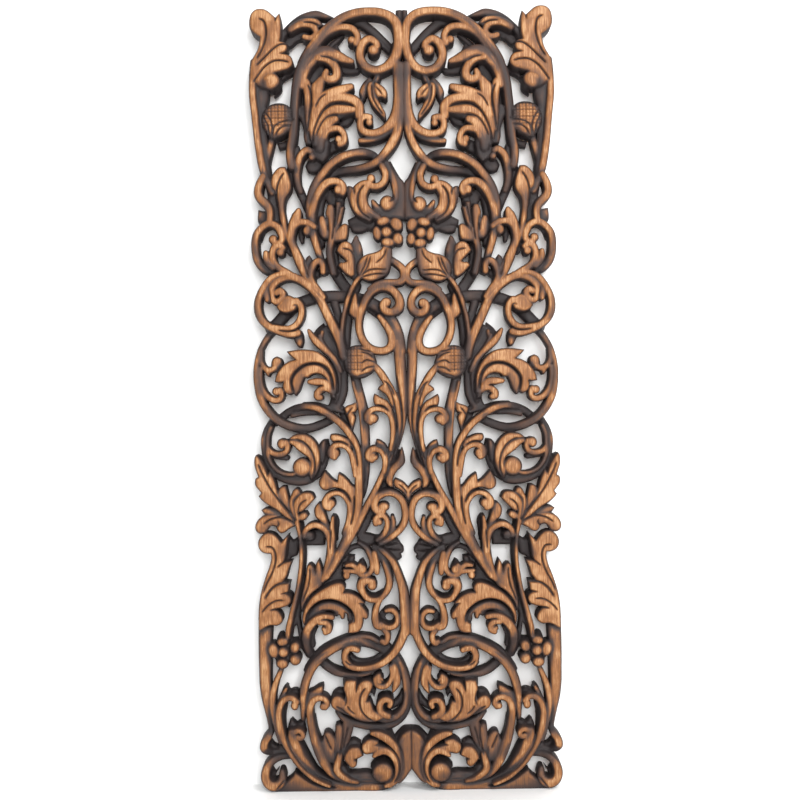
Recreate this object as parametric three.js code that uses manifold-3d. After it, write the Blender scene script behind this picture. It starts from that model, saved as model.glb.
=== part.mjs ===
// Carved wall panel: one openwork board of hardwood, its scrolls, leaves, buds and rosettes cut from
// the solid. Millimetres, +Z up. The carved face looks along -Y and the flat back lies in the plane
// y = 0. The origin is on the back, at the top of the crown, where the panel is fastened to a wall.
// The right half is laid out piece by piece on a fine grid that holds the height of the carving.
// The borders between heights are then straightened, extruded and mirrored.
import * as THREE from 'three';
import { mergeVertices } from 'three/addons/utils/BufferGeometryUtils.js';
import Module from 'manifold-3d';

// Driving dimensions
const PANEL_HEIGHT = 900;
const HALF_WIDTH = 176;
const MOUNT_HEIGHT = 890; // height of the origin above the bottom edge
const CREST = 25; // full thickness: stems and leaves that lie on top
const GROUND = 12; // low webs and flanks that tie the stems together
const LOW = 15.5; // a piece whose height is below this belongs to the ground
const FLANK = 0.7; // how much wider a stem's foot is than its crest, on each side
const CELL = 0.5; // pitch of the layout grid
const STRAIGHTEN = 1.7; // how far a border may lie from the drawn curve
const NARROWEST = 4; // slits and slivers narrower than this are left to the finer carving
const SMALLEST = 80; // so are openings of fewer mm2
const LEAST_STEP = 300; // and areas of either height of fewer mm2
const BOSS = 2; // how far round bosses stand above the crest
const STAIN = 0x9c6238;

const COLS = Math.round(HALF_WIDTH / CELL);
const ROWS = Math.round(PANEL_HEIGHT / CELL);
const grid = new Uint8Array(COLS * ROWS);
const bosses = [];

// Height of the carving in one cell, and nothing outside the half board.
function cellAt(col, row) {
  return col < 0 || col >= COLS || row < 0 || row >= ROWS ? 0 : grid[row * COLS + col];
}

// Raises every cell inside an outline of [x, z] points to at least this height.
function lay(outline, height) {
  const level = height > LOW ? CREST : GROUND;
  const heights = outline.map((p) => p[1]);
  const first = Math.max(0, Math.floor(Math.min(...heights) / CELL));
  const last = Math.min(ROWS - 1, Math.ceil(Math.max(...heights) / CELL));
  for (let row = first; row <= last; row++) {
    const z = (row + 0.5) * CELL;
    const crossings = [];
    outline.forEach(([bx, bz], i) => {
      const [ax, az] = outline.at(i - 1);
      if (az > z !== bz > z) crossings.push(ax + ((z - az) / (bz - az)) * (bx - ax));
    });
    crossings.sort((a, b) => a - b);
    for (let i = 0; i + 1 < crossings.length; i += 2) {
      const from = Math.max(0, Math.ceil(crossings[i] / CELL - 0.5));
      const to = Math.min(COLS - 1, Math.floor(crossings[i + 1] / CELL - 0.5));
      for (let col = from; col <= to; col++) {
        const at = row * COLS + col;
        grid[at] = Math.max(grid[at], level);
      }
    }
  }
}

// Pairs [x, z] from a flat list.
function pairs(list) {
  const out = [];
  for (let i = 0; i < list.length; i += 2) out.push([list[i], list[i + 1]]);
  return out;
}

// Value of a short list spread evenly along 0..1.
function along(list, t) {
  const at = t * (list.length - 1);
  const low = Math.min(Math.floor(at), Math.max(list.length - 2, 0));
  const high = Math.min(low + 1, list.length - 1);
  return THREE.MathUtils.lerp(list[low], list[high], at - low);
}

// An oval of carving, turned by a tilt in degrees.
function oval(x, z, acrossRadius, upRadius, tilt) {
  const turn = THREE.MathUtils.degToRad(tilt);
  const curve = new THREE.EllipseCurve(x, z, acrossRadius, upRadius, 0, 2 * Math.PI, false, turn);
  return curve.getPoints(24).slice(0, -1).map((p) => [p.x, p.y]);
}

// A stem follows a smooth curve; its width and height change evenly along it.
function stem(points, widths, heights = [CREST]) {
  const curve = new THREE.SplineCurve(pairs(points).map(([x, z]) => new THREE.Vector2(x, z)));
  const steps = 8 * points.length;
  let before = null;
  for (let i = 0; i <= steps; i++) {
    const centre = curve.getPoint(i / steps);
    const tangent = curve.getTangent(i / steps);
    const half = along(widths, i / steps) / 2 + FLANK;
    const rail = [
      [centre.x - tangent.y * half, centre.y + tangent.x * half],
      [centre.x + tangent.y * half, centre.y - tangent.x * half],
    ];
    const height = along(heights, i / steps);
    if (before) lay([before[0], rail[0], rail[1], before[1]], height);
    lay(oval(centre.x, centre.y, 0.9 * half, 0.9 * half, 0), height);
    before = rail;
  }
}

// A leaf is its outline.
function leaf(points, height) {
  lay(pairs(points), height);
}

// A round or oval boss. The large ones stand a little above the crest.
function ball(x, z, acrossRadius, upRadius, tilt, height) {
  lay(oval(x, z, acrossRadius, upRadius, tilt), height);
  if (acrossRadius > 7) bosses.push([x, z, acrossRadius - 1, upRadius - 1, tilt]);
}

// Crown: rim scroll, inner scrolls and the shoulder band
stem([126,718, 127,725, 126,735, 122,755, 121,780, 121,795, 118,818, 110,841, 96,862, 80,879,
  60,891, 38,895.5, 18,893, 7,884, 3.8,870, 4,855, 8,841, 16,830.5, 28,827, 40,832, 46,844,
  43,857, 35,863.5, 27,859, 25.5,855], [8.6,10.6,10.1,9.6,9.6,9.6,9.1,9.1,6.6]);
ball(30, 850.5, 7, 6.6, 0, 24);
stem([9.8,851, 22,865, 34,877, 45,886, 58,890], [8], [10]);
leaf([0,883.7, 6.1,885.8, 6.1,899.9, 0,901.9], 14);
stem([98,855, 85,870, 70,877.5, 55,876.5, 48,867, 50,858], [8.1,7.6,7.1,6.1], [24]);
ball(55.1, 862.7, 4.8, 4.8, 0, 23);
stem([55,837.5, 65,841, 75,846, 85,849.5, 95,846, 103,838, 110,825, 113,810],
  [4.6,10.6,13.6,14.1,13.6,10.6,7.6], [24]);
leaf([66.3,847.9, 72.4,858.9, 79.4,853.9, 76.4,847.9], 19);
stem([94,842, 84,840, 77,835, 73,828.5, 72.5,821.5, 76,817.5, 82,817, 86,821, 84.5,826],
  [6.6,7.6,8.6,9.1,9.6,9.6,8.6,7.6,5.6]);
leaf([70.4,888.4, 85.5,896, 95.6,899.5, 108.6,897, 118.7,891.9, 128.7,883.4, 136.8,873.3,
  140.8,860.3, 134.8,859.2, 130.8,870.3, 122.7,879.4, 110.7,886.4, 95.6,890.4, 80.5,889.4], 18);
leaf([87.1,880.7, 95.2,888.2, 110.2,889.2, 120.2,885.2, 128.2,879.7, 124.2,874.7, 115.2,879.7,
  105.2,880.7, 97.2,877.7], 23);
stem([125,876, 115,881, 106,881.5, 99,879, 95.5,873, 97,868.5, 102,865.5, 109,867],
  [6.6,6.6,6.6,5.6], [24]);

// Corner finial
leaf([137.5,894.5, 142,889.5, 146,893, 152,898, 158,900, 165,899, 170,894, 172,885, 171,877,
  167,872, 160,867, 161,858, 164,850, 168,843, 171,835, 171,820, 164,812, 157,807, 148,806.5,
  141,809, 138.5,815, 140,821, 144,825, 135,827.5, 128,829.5, 123.5,834, 123,839, 126,844.5,
  133,848, 130,851, 129,855, 131,860, 138,862, 136,870, 136,885], 25);
ball(147.5, 815.5, 9, 9, 0, 26);
stem([167,838, 169,820, 169.5,800, 167.5,780, 165.5,760, 163.7,742.3, 160.7,722.4, 157.3,708.5,
  152.9,697.6, 149,688.8], [8.6,7.1,7.1,7.1,7.6,7.6,6.6], [24,24,24,23,21]);
stem([160.8,823.8, 160.8,801.7, 162.9,781.7, 161.4,751.7, 158,723.6, 155.1,706.8],
  [16.6,17.6,14.6,13.6,11.6,9.6], [23,23,22,21,20]);

// Thistle bud under the shoulder
leaf([124,771, 124,779, 127,785, 133,789, 141,790, 149,788, 155,783, 158.5,775, 158,765, 154,757,
  148,750, 140,751, 131,756, 126,763], 27);
stem([148.1,753.2, 150.7,741.3, 153.8,729.4, 155.9,716.5, 155.9,706.4, 152.9,697.4], [6.1],
  [20,18,18]);

// Pair of flutes and the big acanthus leaf inside the upper loop
leaf([83,820, 88,823, 92,821, 97,816, 101.5,811, 102.5,800, 102,784, 92,783, 89,800, 87,812], 24);
leaf([103,814, 106,818.5, 110,816.5, 111.5,810, 110.5,798, 110,785, 109,770, 107.5,757, 100,757,
  101.5,785, 102.5,802], 24);
leaf([87.8,837.5, 97.9,839, 107.8,830.3, 113.4,815.9, 116.8,801.5, 120.2,784.3, 110.1,787.1,
  109.7,810.2, 100.4,815.9, 88.2,815.9], 10);
leaf([99.8,879.3, 109.9,880.7, 121.4,875, 134.2,866.3, 141.3,854.8, 126.9,859.1, 118.4,866.3,
  108.3,869.2], 10);
leaf([107.5,788.3, 113.5,788.8, 118.5,782.3, 115,771.3, 112,761.2, 111.5,751.2, 109.5,743.2,
  102.4,743.2, 104.4,771.3], 20);
leaf([52.7,782.9, 54.6,797.9, 62.2,802.9, 76.7,797.9, 89.1,787.9, 93.1,807.9, 104.4,807.9,
  107.1,787.9, 106.3,767.9, 102.3,745.3, 94.6,735.3, 84.6,735.3, 82.3,745.3, 87.4,755.3,
  78.7,764.1, 71.3,771.6, 58.9,776.6], 21.5);
stem([56.5,808, 66,805, 76,802, 88,796, 96,786, 100,775], [6.6,10.6,11.6,11.6,9.6,7.6]);
stem([47.5,775, 47.5,785, 53,792, 62,795, 74,796, 84,793.5, 92,785, 97,775, 100,762, 100,750],
  [9.6,11.6,10.6,11.1,11.1,9.6,7.6]);
stem([55,782, 66,782, 77,781, 86,775, 93,765, 97,753, 98,744], [7.6,11.6,11.1,9.6,7.6]);
stem([75,771, 82,767, 88,758, 92,748, 93,738], [7.6,10.1,10.6,9.6]);
leaf([84.3,748.9, 100.3,748.9, 101.3,735.9, 97.3,726.9, 90.3,722.4, 85.3,727.9, 83.3,737.9], 21);
stem([88,750, 85,757, 78,760, 71,760, 66,755, 64.5,749, 66,744, 70,742], [6.6]);
ball(71.5, 748, 4.2, 4.6, 0, 24);
ball(102.3, 728.7, 4.2, 4.2, 0, 22);

// Hanging sprig
stem([23.6,827.2, 27.1,817.2, 31.1,811.1], [6.1], [21]);
ball(22.5, 803, 8, 9.4, 10, 25);
leaf([31.1,814.6, 36.1,812.6, 38.1,805.6, 36.1,795.5, 31.1,785.5, 24.1,777.5, 17.5,769.5,
  17,776.5, 21.5,785.5, 26.1,794.5, 28.1,803.6], 23);
leaf([31.2,816.4, 35.2,820.5, 42.2,813.4, 47.2,802.4, 44.2,791.3, 40.2,797.4, 37.2,807.4,
  33.2,812.4], 20);

// Middle pair of stems, their curls and the lower side of the upper lens
stem([4.1,833, 4.1,812, 4.1,796, 5.5,782, 9,771, 14,763, 21,757.5, 30,754.5, 38,755, 44,758,
  46.5,764, 45.5,770, 41,773.5, 35.5,772.5], [10,10,9.1,8.1,7.1,6.6]);
ball(35.8, 766.8, 4.4, 4.4, 0, 24);
stem([13,758.7, 20.1,752.2, 30.1,748.7, 40.1,747.2, 46.6,746.7], [5.6,6.1,6.1,5.6,4.6], [22]);
stem([3,795, 3,775, 5,762, 8,751, 13,740, 20,730, 29,721.5, 40.2,716.9, 52.4,714.7, 62.6,714.3,
  74.9,712.4, 89.1,705.9, 97.2,698.9], [6.6,8.1,8.6,8.6,8.6,8.6], [25,25,25,24,17,11,10]);
stem([26.3,725.8, 33.3,732.8, 42.1,734.7, 52.1,734.3, 64,731, 74,725.5, 83,717.5, 91,708, 98,699,
  103.2,688.4, 106.3,675.5, 106.9,662.7, 106.4,650.8], [7.6,8.6,8.6,8.6,7.6,6.6],
  [12,22,25,25,24,22,20]);
stem([22,717, 18.5,708, 20,699, 26,694, 33,693.5, 39,697], [6.6,7.1,7.1,6.6]);
ball(35, 702.5, 5, 5.2, 0, 24);
stem([17.1,720.6, 13,709.6, 10,698.6, 8.5,688.6, 8.8,679.5, 12,671.5], [5.1], [22]);
leaf([0,698, 5.1,706, 13.1,723.1, 17.1,719.1, 11.1,701, 10.6,685.9, 14.1,672.9, 26.1,668.9,
  33.2,661.8, 25.1,656.8, 12.1,657.3, 0,657.8], 20);
ball(17, 674, 8.6, 9.2, 20, 24);
stem([14.1,662.2, 22.1,663.7, 28.6,668.5, 33.1,676.4], [5.6,8.6,9.1,3.6], [18,22,23]);
stem([28,658.5, 36,663, 43,670, 45.5,680, 44,688, 38,696], [5.6,8.6,10.6,11.1,10.6,7.6]);
stem([38,656.5, 47,662, 53,670, 54.5,680, 52,689, 45,695.5, 38,697], [5.6,7.6,9.1,9.6,8.6,6.6]);
leaf([53.1,662.3, 59.1,671.3, 62.6,683.4, 61.6,694.4, 57.1,693.4, 53.1,687.4, 53.1,675.4,
  50.1,664.3], 23);
leaf([27.3,646.9, 34.4,643.8, 42.5,647.4, 52.6,650.4, 61.7,649.9, 62.7,656.9, 50.5,662, 34.4,659,
  28.3,656.9], 13);

// Upper rosette
ball(17.2, 642.2, 13.5, 13.5, 0, 17);
ball(18.5, 641, 6.4, 6.4, 0, 25);
ball(8.3, 650.5, 6.4, 8.3, -15, 24);
ball(22, 653.5, 8.2, 5.6, -15, 24);
ball(29.2, 639.5, 5, 8.4, -10, 24);
ball(17.5, 629, 7.6, 6, 5, 24);
ball(7, 634, 5.4, 7.2, 0, 24);

// Hook scroll over the tulip bud
stem([89.4,597.6, 93.4,608.6, 96.8,618.6, 99.8,628.5, 102.3,638.5, 103.7,650.4, 103.7,662.4,
  101.1,675.3, 97,685, 91,693.5, 84,699, 77,700, 70,697.5, 66.5,692, 68,686.5],
  [6.1,7.1,8.1,8.6,8.6,8.6,7.6,6.6], [20,22,25,25]);
ball(73, 690, 4.8, 5.6, 0, 25);
stem([87,696.5, 92,686.4, 95,674.3, 96.1,662.2, 97.1,647, 95,629.8], [7.6,8.6,8.6,8.6], [12]);
stem([101,648, 107,652, 113,653.5, 119,653, 124,649, 127,642, 128,634, 126,626],
  [5.6,6.6,7.6,8.1,8.1]);
ball(109.5, 643.8, 4.7, 5.8, 10, 24);
stem([118.5,667, 121,660, 125,652, 128,643, 129,633], [4.1,10.6,9.6,6.6,5.6]);
stem([128,634, 124,622, 120,612, 116,603, 111,593, 105,584, 98,576, 92,567],
  [5.6,9.1,10.6,10.6,8.6,6.1,4.6]);
leaf([128,703, 133,717, 140,716.5, 146,711, 149.5,704, 149,694, 145.5,690, 144,680, 141.5,668,
  140,655, 137.5,645, 134.5,634, 131,627, 128.5,632, 131.5,645, 133.5,658, 135,670, 133.5,681,
  129,688, 127,694], 24);
stem([153.4,702.2, 149.9,688.1, 148.4,672, 145.4,658, 140.4,642.9, 134.4,630.8, 130.4,619.7],
  [8.6,9.6,9.6,9.6,8.6,6.6,4.6], [17,15]);
stem([127.2,716.3, 122.2,702.3, 118.2,692.3, 114.2,682.3, 110.2,669.2],
  [11.6,13.6,13.6,10.6,5.6], [14,12]);
stem([104,735, 108,736.5, 113,733, 117,727, 119.2,718.5, 120.4,708.9, 119.7,699.3, 116.9,690.7],
  [5.6,7.1,7.6,7.6,6.6], [24,24,24,20,16]);
leaf([117.5,742.1, 121.5,739.1, 124.5,731.1, 122.5,721.1, 118,729.1], 20);

// Outer s band and spiral ring
stem([159,706, 163,698, 165,689, 163,682, 158,677, 153.5,671, 151.5,663, 152.5,654],
  [6.6,7.6,8.6,9.1,8.6,7.1,5.6]);
leaf([153.9,666.2, 165.5,668.7, 166,656.1, 161.9,648.1, 154.9,651.1], 18);
stem([147,629.5, 141,630, 138.5,634.5, 139.5,641, 143,648, 150,652, 157,651, 164,646.5,
  169.5,640, 171.5,632, 171.5,622, 169.9,612.3, 165.6,605, 158.8,600.2, 150,598.9, 140.2,599.2],
  [6.6,7.1,7.6,7.1,7.1,7.1,7.6,8.6,9.6,8.6], [24,25,25,25,24,20,15]);
stem([161.7,650, 166.8,642, 168.8,631.9, 168.8,619.7, 164.8,608.6], [6.6,9.6,10.6,7.6], [12]);
ball(148.3, 634, 5.4, 5.4, 0, 24);
stem([137.5,624, 141.5,627, 147,625, 149.5,619, 149.5,612, 146.5,605.5, 141,600.5, 134,596.5,
  127,592], [6.1,6.6,6.8,6.6,6.6]);
ball(140.5, 619, 4.8, 4.8, 0, 24);
stem([157,618.5, 157,612, 154,606.5, 149,602], [4.6,5.8,5.8,5.6]);
stem([152.4,618.4, 152.4,610.4, 148.4,603.4], [4.6,5.1,5.6], [22]);

// Tulip bud
stem([80.1,595.2, 83.1,608.3, 84.6,618.3, 83.6,626.3, 81.6,633.3, 80.1,645.3], [6.4], [23]);
stem([75.8,599.5, 78.9,613.7, 79.9,626.8, 77.9,634.9], [7.6], [12]);
leaf([70.2,676.7, 75.8,676.7, 77.8,660.7, 79.8,645.6, 80.8,634.6, 76.3,640.6, 71.2,652.6,
  68.2,663.7, 66.2,671.7, 70.2,670.7], 21);
leaf([77.6,668.3, 80.1,673.9, 85.1,673.4, 87.7,664.3, 86.6,655.3, 84.6,647.3, 84.1,640.3,
  82.1,633.3, 79.6,640.3, 78.1,655.3], 23);
leaf([86.3,654.6, 90.3,661.2, 94.8,660.7, 97.3,651.6, 95.8,642.1, 91.8,635.6, 85.3,633.6,
  82.3,639.6, 84.8,648.6], 21);
leaf([62.2,649.5, 62.7,640.5, 64.7,632.9, 70.2,631.4, 78.2,630.9, 80.7,637.4, 76.2,643.5,
  71.2,648.5, 66.2,651.5], 22);
stem([70.7,687, 72.7,673.9], [9.6], [14]);

// Bell bud and its side leaf
leaf([13,622, 18,623.5, 22,624.5, 26,620, 33,617, 40,615.5, 46,612.5, 50,608, 52.8,602, 52.3,595,
  49,590, 44,586.5, 38,585, 30,586.5, 22,590, 17,595, 14.5,603, 13,612], 26);
leaf([56,592, 55,604, 56,615, 57.5,625, 62,630, 68,630.5, 73,626.5, 76,620, 71,615, 67,611,
  64.5,608, 67,607, 72,606.5, 74.5,603, 71,599, 66,594, 60,590], 24);
leaf([46.5,614.4, 47.5,626.5, 53,638.6, 57.6,630.6, 60.6,621.5, 57.6,601.3, 58.6,588.2,
  50.5,587.2, 50.5,599.3], 20);
stem([53.2,634.7, 56.3,627.7, 57.8,621.7], [4.1,4.6,3.6], [20]);
stem([92,596, 92.5,604, 96,608.5, 101,606.5, 105,600, 107,591, 104,583], [5.6,6.1,6.6,7.1,6.6]);
leaf([104.3,600.4, 103.8,609.4, 107.3,615.4, 110.8,612.4, 113.3,604.4, 113.3,592.3, 107.3,586.3],
  22);
leaf([89,598.5, 93,601.5, 98.1,599.5, 105.1,593.5, 104.1,582.4, 99.1,577.3, 101.1,589.4,
  95,593.5], 12);

// Right-hand ring with curled leaves
stem([70,499, 73,512, 77,523, 82,534, 87,545, 92,556, 97.5,567.5, 104,576, 112,583, 121,588.5,
  131,591.5], [8.6,9.1,9.6,9.6,9.1,9.1,8.6,8.1]);
stem([124,592.5, 138,594.5, 149,591.5, 158,584.5, 165,574, 168.8,563, 168.8,552, 165.5,543,
  158,535.5, 148,530.5, 138,526.5, 130,525, 122,526.5],
  [4.6,5.6,6.6,6.6,7.6,8.6,8.6,8.6,8.6,8.1,8.1]);
stem([159.7,579.3, 164.8,567.2, 164.8,553.1, 160.7,544], [7.6], [12]);
stem([126,590.5, 138,589, 146,585, 151.5,578, 152,571, 150,565, 145,562.3, 139.5,566.5,
  138.5,571.5, 141.5,575, 145.5,573], [6.6,6.6,7.6,7.6,6.6,7.1,7.1,7.1,6.6], [24]);
stem([148.2,589.2, 155.8,580.2, 157.8,572.2, 156.8,564.7], [4.6,7.6,7.6,4.6], [23]);
leaf([118,563, 126,567, 132,569.5, 137,567.5, 142,562, 146,557, 142.5,552, 136,549.5, 130,550.5,
  125,552.5, 123,556, 118,557], 25);
stem([123,563.5, 118.5,558, 117.3,550, 119.3,542, 124,535.5, 131,531.8, 139,531.5, 150,533],
  [6.6,6.6,6.6,6.6,6.1,6.1,6.1]);
leaf([123.5,530.3, 118,527.3, 116.5,518.3, 118.5,510.2, 122,510.7, 125.5,516.3, 128.5,523.3], 20);
stem([7,506, 9,523, 16,541, 29,555, 46,564, 65,568, 85,569, 106,566.5, 121,561, 134,552,
  149,538.5, 162,523], [12,12.5,12,12,12,12], [24,22,17,14,13,13,13,13,13]);
stem([59.8,570.4, 70.9,584.6, 78,595.7, 85.1,607.9], [11.6], [10]);

// Middle link and the open c scroll
stem([13,609, 7,604.5, 3,600, 1.6,594, 2.6,588, 7,584.3, 14,583.3, 23,583.3, 31,581, 39,575.5],
  [6.1,6.6,7.1,7.1,6.6,5.6,4.6], [24]);
stem([18.7,558, 18,561.5, 21.5,561.5, 24,557, 22.3,552, 18,549.3, 12.5,549.8, 8,553.5, 6,560,
  7.7,567.5, 12.5,573.8, 19,577.5, 26,578, 33,575.3, 39.5,570, 44.5,562, 48,553, 50.5,545,
  52,537, 51.5,529, 49,520, 44.5,512.5, 38.5,507.3, 31,504.8, 23.5,504.8, 17.5,507.8, 14.7,513.5,
  15,521, 18,529.1, 23,537.1, 28.1,544.1],
  [5.1,6.6,8.1,8.6,8.6,8.1,8.6,8.1,7.6,7.6,8.1,8.1,8.1,8.6,7.6,5.1], [24,25,25,25,25,25,25,23]);
leaf([51,556, 53,566, 55,572, 57,570, 60.5,560, 63,549.5, 60,545, 56,541, 53.5,535, 50,545], 24);
stem([24.4,546.1, 33.5,553.2, 47.6,563.3], [12.6], [10]);
leaf([1.1,508.4, 4.1,522.5, 8.1,534.6, 13.1,541.7, 22.2,549.7, 30.3,549.7, 26.2,542.7,
  19.2,530.6, 15.2,520.5, 12.1,511.4], 16);
stem([49,590, 54,584, 59,575.5, 63,566, 66,556, 68.5,546, 70,536, 71,526, 70.5,517, 69,507],
  [4.6,5.4,5.6,5.6,5.6,5.6,5.1], [24]);
stem([52.6,581.2, 57.6,571.1, 61.7,559, 64.7,545.9, 66.7,530.8, 67.7,512.6],
  [6.6,8.6,9.6,9.6,9.6,8.6], [13]);

// Middle stems
stem([8,515, 7,500, 6,482, 5,462, 4.8,445, 5.2,430, 7.5,414.9, 11.1,399.8, 15.1,386.7,
  18.6,376.6], [9,10.5,10.5,10,9,7.5,6.5,5.5,4.5], [24,24,23,22,20,18]);
stem([35,488, 28,479, 21.5,468.5, 15.5,457.5, 11.5,446, 9.8,433, 9.8,419.9, 11.6,406.9,
  14.6,393.8], [6,8,7.5,7,6.5,5,4.5,4], [24,24,24,22,20]);
leaf([22,468.5, 30,463.5, 31.5,460.5, 28,458.5, 21.5,453, 17.5,444, 15,440, 12.5,445, 13.5,455,
  17,463], 24);
leaf([17,440.5, 22,447.5, 28,451, 35.5,455.5, 37,450.5, 36,444, 34.5,441.5, 27,440.5, 22,436,
  19,430, 18,420, 18,408, 12.5,408, 13,425, 14.5,434], 24);
stem([17.5,392, 15.5,405, 15.3,417, 17,427, 21,433.5, 27,437, 34,438.3, 40,436.5, 44,431.5,
  44,426, 41,422.8], [5,5.5,5,4,4.5,5.5,6.5,6.5,6]);
ball(38, 427, 6.5, 6, 0, 25);
stem([16,399.9, 18.4,387.9, 20.4,376.8, 23.6,366.7, 27.6,357.6], [4.5,4,3.2,2.6], [23,22,20]);
leaf([14.3,397.4, 20.3,397.4, 24.4,379.2, 30.4,358.9, 36.5,343.8, 30.4,340.7, 22.4,344.8,
  20.3,358.9, 13.2,377.2], 10);

// Tall stem with its small leaf
stem([58.5,478.2, 55.3,463.1, 51.2,448, 48.2,435, 47.2,419.9, 46.7,399.8, 46.7,379.7, 47.3,361.5,
  49.4,344.3, 51.5,337], [9,10,9.5,9,8,8,7,6,4,3], [16,20,21,21,20,17,14]);
stem([60.2,469.1, 57,456, 54,444, 52,431.9, 50.9,417.9, 50.2,399.8, 49.9,384.8, 50.2,369.8,
  50.7,355.7], [2.5,3.2,3.2,3.2,2.5], [21]);
leaf([56.1,446.5, 61.1,444, 67.1,442, 70.6,439, 68.6,433, 66.1,426, 64.1,418, 62.1,411.9,
  60.1,420, 58.1,428, 60.1,433, 57.1,436, 56.1,440], 23);
leaf([62.7,409.6, 64.7,424.8, 70.8,439.9, 74.8,442.9, 77.9,437.9, 72.8,423.7, 66.8,413.6], 12);

// Hatched bud in the middle
leaf([32.6,490, 35.2,500, 40.8,507.5, 50.4,511.2, 60.9,510, 67.8,503.7, 69.9,493, 67,482.5,
  59.9,475.2, 49.9,473.9, 41.4,477.5, 35.5,482.5], 26);

// Acanthus leaf in the big loop
leaf([71.7,510.5, 68.2,500.4, 67.1,480.3, 67.1,460.1, 69.7,450, 74.2,440.9, 78.7,433.9,
  84.8,436.9, 89.8,441.9, 86.8,448, 86.3,456.1, 88.8,470.2, 84.8,490.4, 78.7,505.5], 14);
stem([80.6,447, 77.5,462.1, 76.9,476.1, 79.3,488.1, 85.3,499.1, 93.2,508.1, 101.2,516.1,
  106.1,522.6, 109.5,529], [4,5,5.5,6,6,7,8,6,2.5], [16,20,23,24]);
leaf([88.8,511.5, 91.9,522.6, 92.9,537.8, 98.9,533.2, 103,528.7, 105,522.6, 98.9,512.5,
  92.9,503.5], 14);
stem([94.4,527.3, 95.9,518.3, 93.4,510.2, 87.4,502.2], [2.5,3,3,2.5], [20]);
leaf([79,457, 80,475, 84,488, 90,497, 98,503.5, 108,506.5, 120,507, 135,505, 131,500.5,
  125,495.5, 131,494.5, 137.5,491, 143,485.5, 147.5,478.5, 149.5,470.5, 144,469.5, 139.5,470.5,
  140.8,465, 138,458.5, 133,455.5, 128.5,458, 131,468, 131,474, 127,481.5, 121,487, 113,491,
  104,492, 96,490.5, 89,486, 84.5,478, 82,468, 82,456], 25);
leaf([81,456, 83,476, 88,489, 96,497, 106,501, 118,500, 128,495, 136,486, 140,474, 137,464,
  131,461, 131,470, 126,480, 118,487, 108,491, 98,490, 90,485, 86,476, 84,462], 22);
leaf([80.3,450, 82.4,468.1, 85.4,478.1, 90.4,486.1, 98.4,490.7, 106.4,491.2, 114.5,489.7,
  121.5,485.6, 128.5,478.6, 131.5,470.1, 130.5,462.1, 126.5,454.5, 122,460, 119,468.1, 116,475.1,
  111.5,475.1, 107.5,478.1, 101.4,479.6, 94.4,477.1, 89.4,470.1, 86.9,462.1, 85.9,452], 23);
stem([86,462, 93,468.5, 101,470, 110,470], [6,8.5,8.5,4], [24]);
stem([83,458, 90,462.5, 96,461.5, 101,457.5, 101.5,453, 98,452], [6,8,7,6.5,6], [24]);

// Loop with the lens below it
stem([66,411, 71,417.5, 78,424.5, 88,432, 97,437.5, 106,441, 116.3,442, 126.9,439.9, 135.3,435.9,
  142.5,430.3, 151.6,423.7], [7,7,7,7,6.5,6.5,7,8,8], [25,25,25,25,24,21,14,12,12]);
stem([72.6,434.9, 82.7,437.9, 93.8,441.4, 104.9,444.5, 117,445], [3,4,4,3.5,3], [15]);
stem([85,426.8, 96.1,421.7, 108,417.5, 118.8,416.1, 130.4,418.2, 142,423, 152,430.5, 160,440,
  166,451, 169.5,463, 171,478, 170.9,492.1, 169.1,505.2, 165.9,516.3, 160.2,526.5, 153.4,531.7],
  [8,9,9,9,8.5,8,8,7,5.5,5,4.5,5,6,7], [11,12,16,22,25,25,25,24,22,20,17,14]);
stem([158.3,524.6, 162.3,510.5, 163.4,498.3, 162.7,490.2], [8,8,7,5], [15,15,18,20]);
stem([164.7,506.2, 165.6,496.2, 163.5,489.6, 159.4,485.4, 154.3,484.1, 149.2,486.6],
  [3,4.5,5,5.5,5.5,5], [20,22,23]);
leaf([140.9,491.1, 142.4,497.1, 146.9,499.6, 151.4,497.1, 153.4,490.6, 152.4,484.1, 147.9,481.6,
  143.4,486.1], 22);
leaf([149.4,483.6, 153.9,481.1, 156.9,476.6, 159.9,479.6, 162.9,485.1, 155.4,488.1], 22);
stem([166.4,486.1, 167.3,472, 163.8,460, 157.2,452.5, 150,449.3, 144.3,451, 142.5,457,
  144,461.5], [4,7,7,6.5,6.5,6.5,6,5], [22,24,25]);
ball(148, 459.5, 4.8, 5, 0, 24);
stem([161.7,472.2, 159.7,461.1, 153.6,455.1], [5], [12]);

// Long stem beside the leaf scrolls
stem([66,411, 60,401, 56.5,389, 55.3,373, 55.3,356, 56,338, 58.5,322, 63,308, 69,294, 75.5,281,
  82,268.5, 87.5,258, 94,246], [7,7,7.5,8,8.5,9,9,9,9,8.5,8,7,4.5]);
leaf([64,402, 72,406.5, 80,409.5, 86.5,409.5, 87.5,405, 84,400.5, 78,400.5, 71,397.5, 66,393,
  62,396], 24);
stem([59.5,362, 61.5,377, 64,387.5, 69,394.3, 76,397.3, 82.5,396, 86.8,391, 86.5,386, 83,383.3],
  [4,5.5,5.2,4.8,5.5,6.5,7,7,6]);
ball(81.5, 387.5, 4.6, 5.6, 0, 24);
stem([26.5,366, 24.8,377, 26.3,385.5, 31,391, 38,392, 43.3,388, 43.8,382.5, 40,379.5],
  [4.5,5.5,6.5,7,7.5,7,7,6]);
ball(38, 383, 5.6, 5, 0, 25);
leaf([21.1,390.9, 24.1,396.9, 30.1,401.9, 34.1,402.9, 35.6,397.4, 32.1,394.4, 27.1,391.4,
  24.6,384.8, 23.1,377.8, 20.1,381.8], 22);
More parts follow.
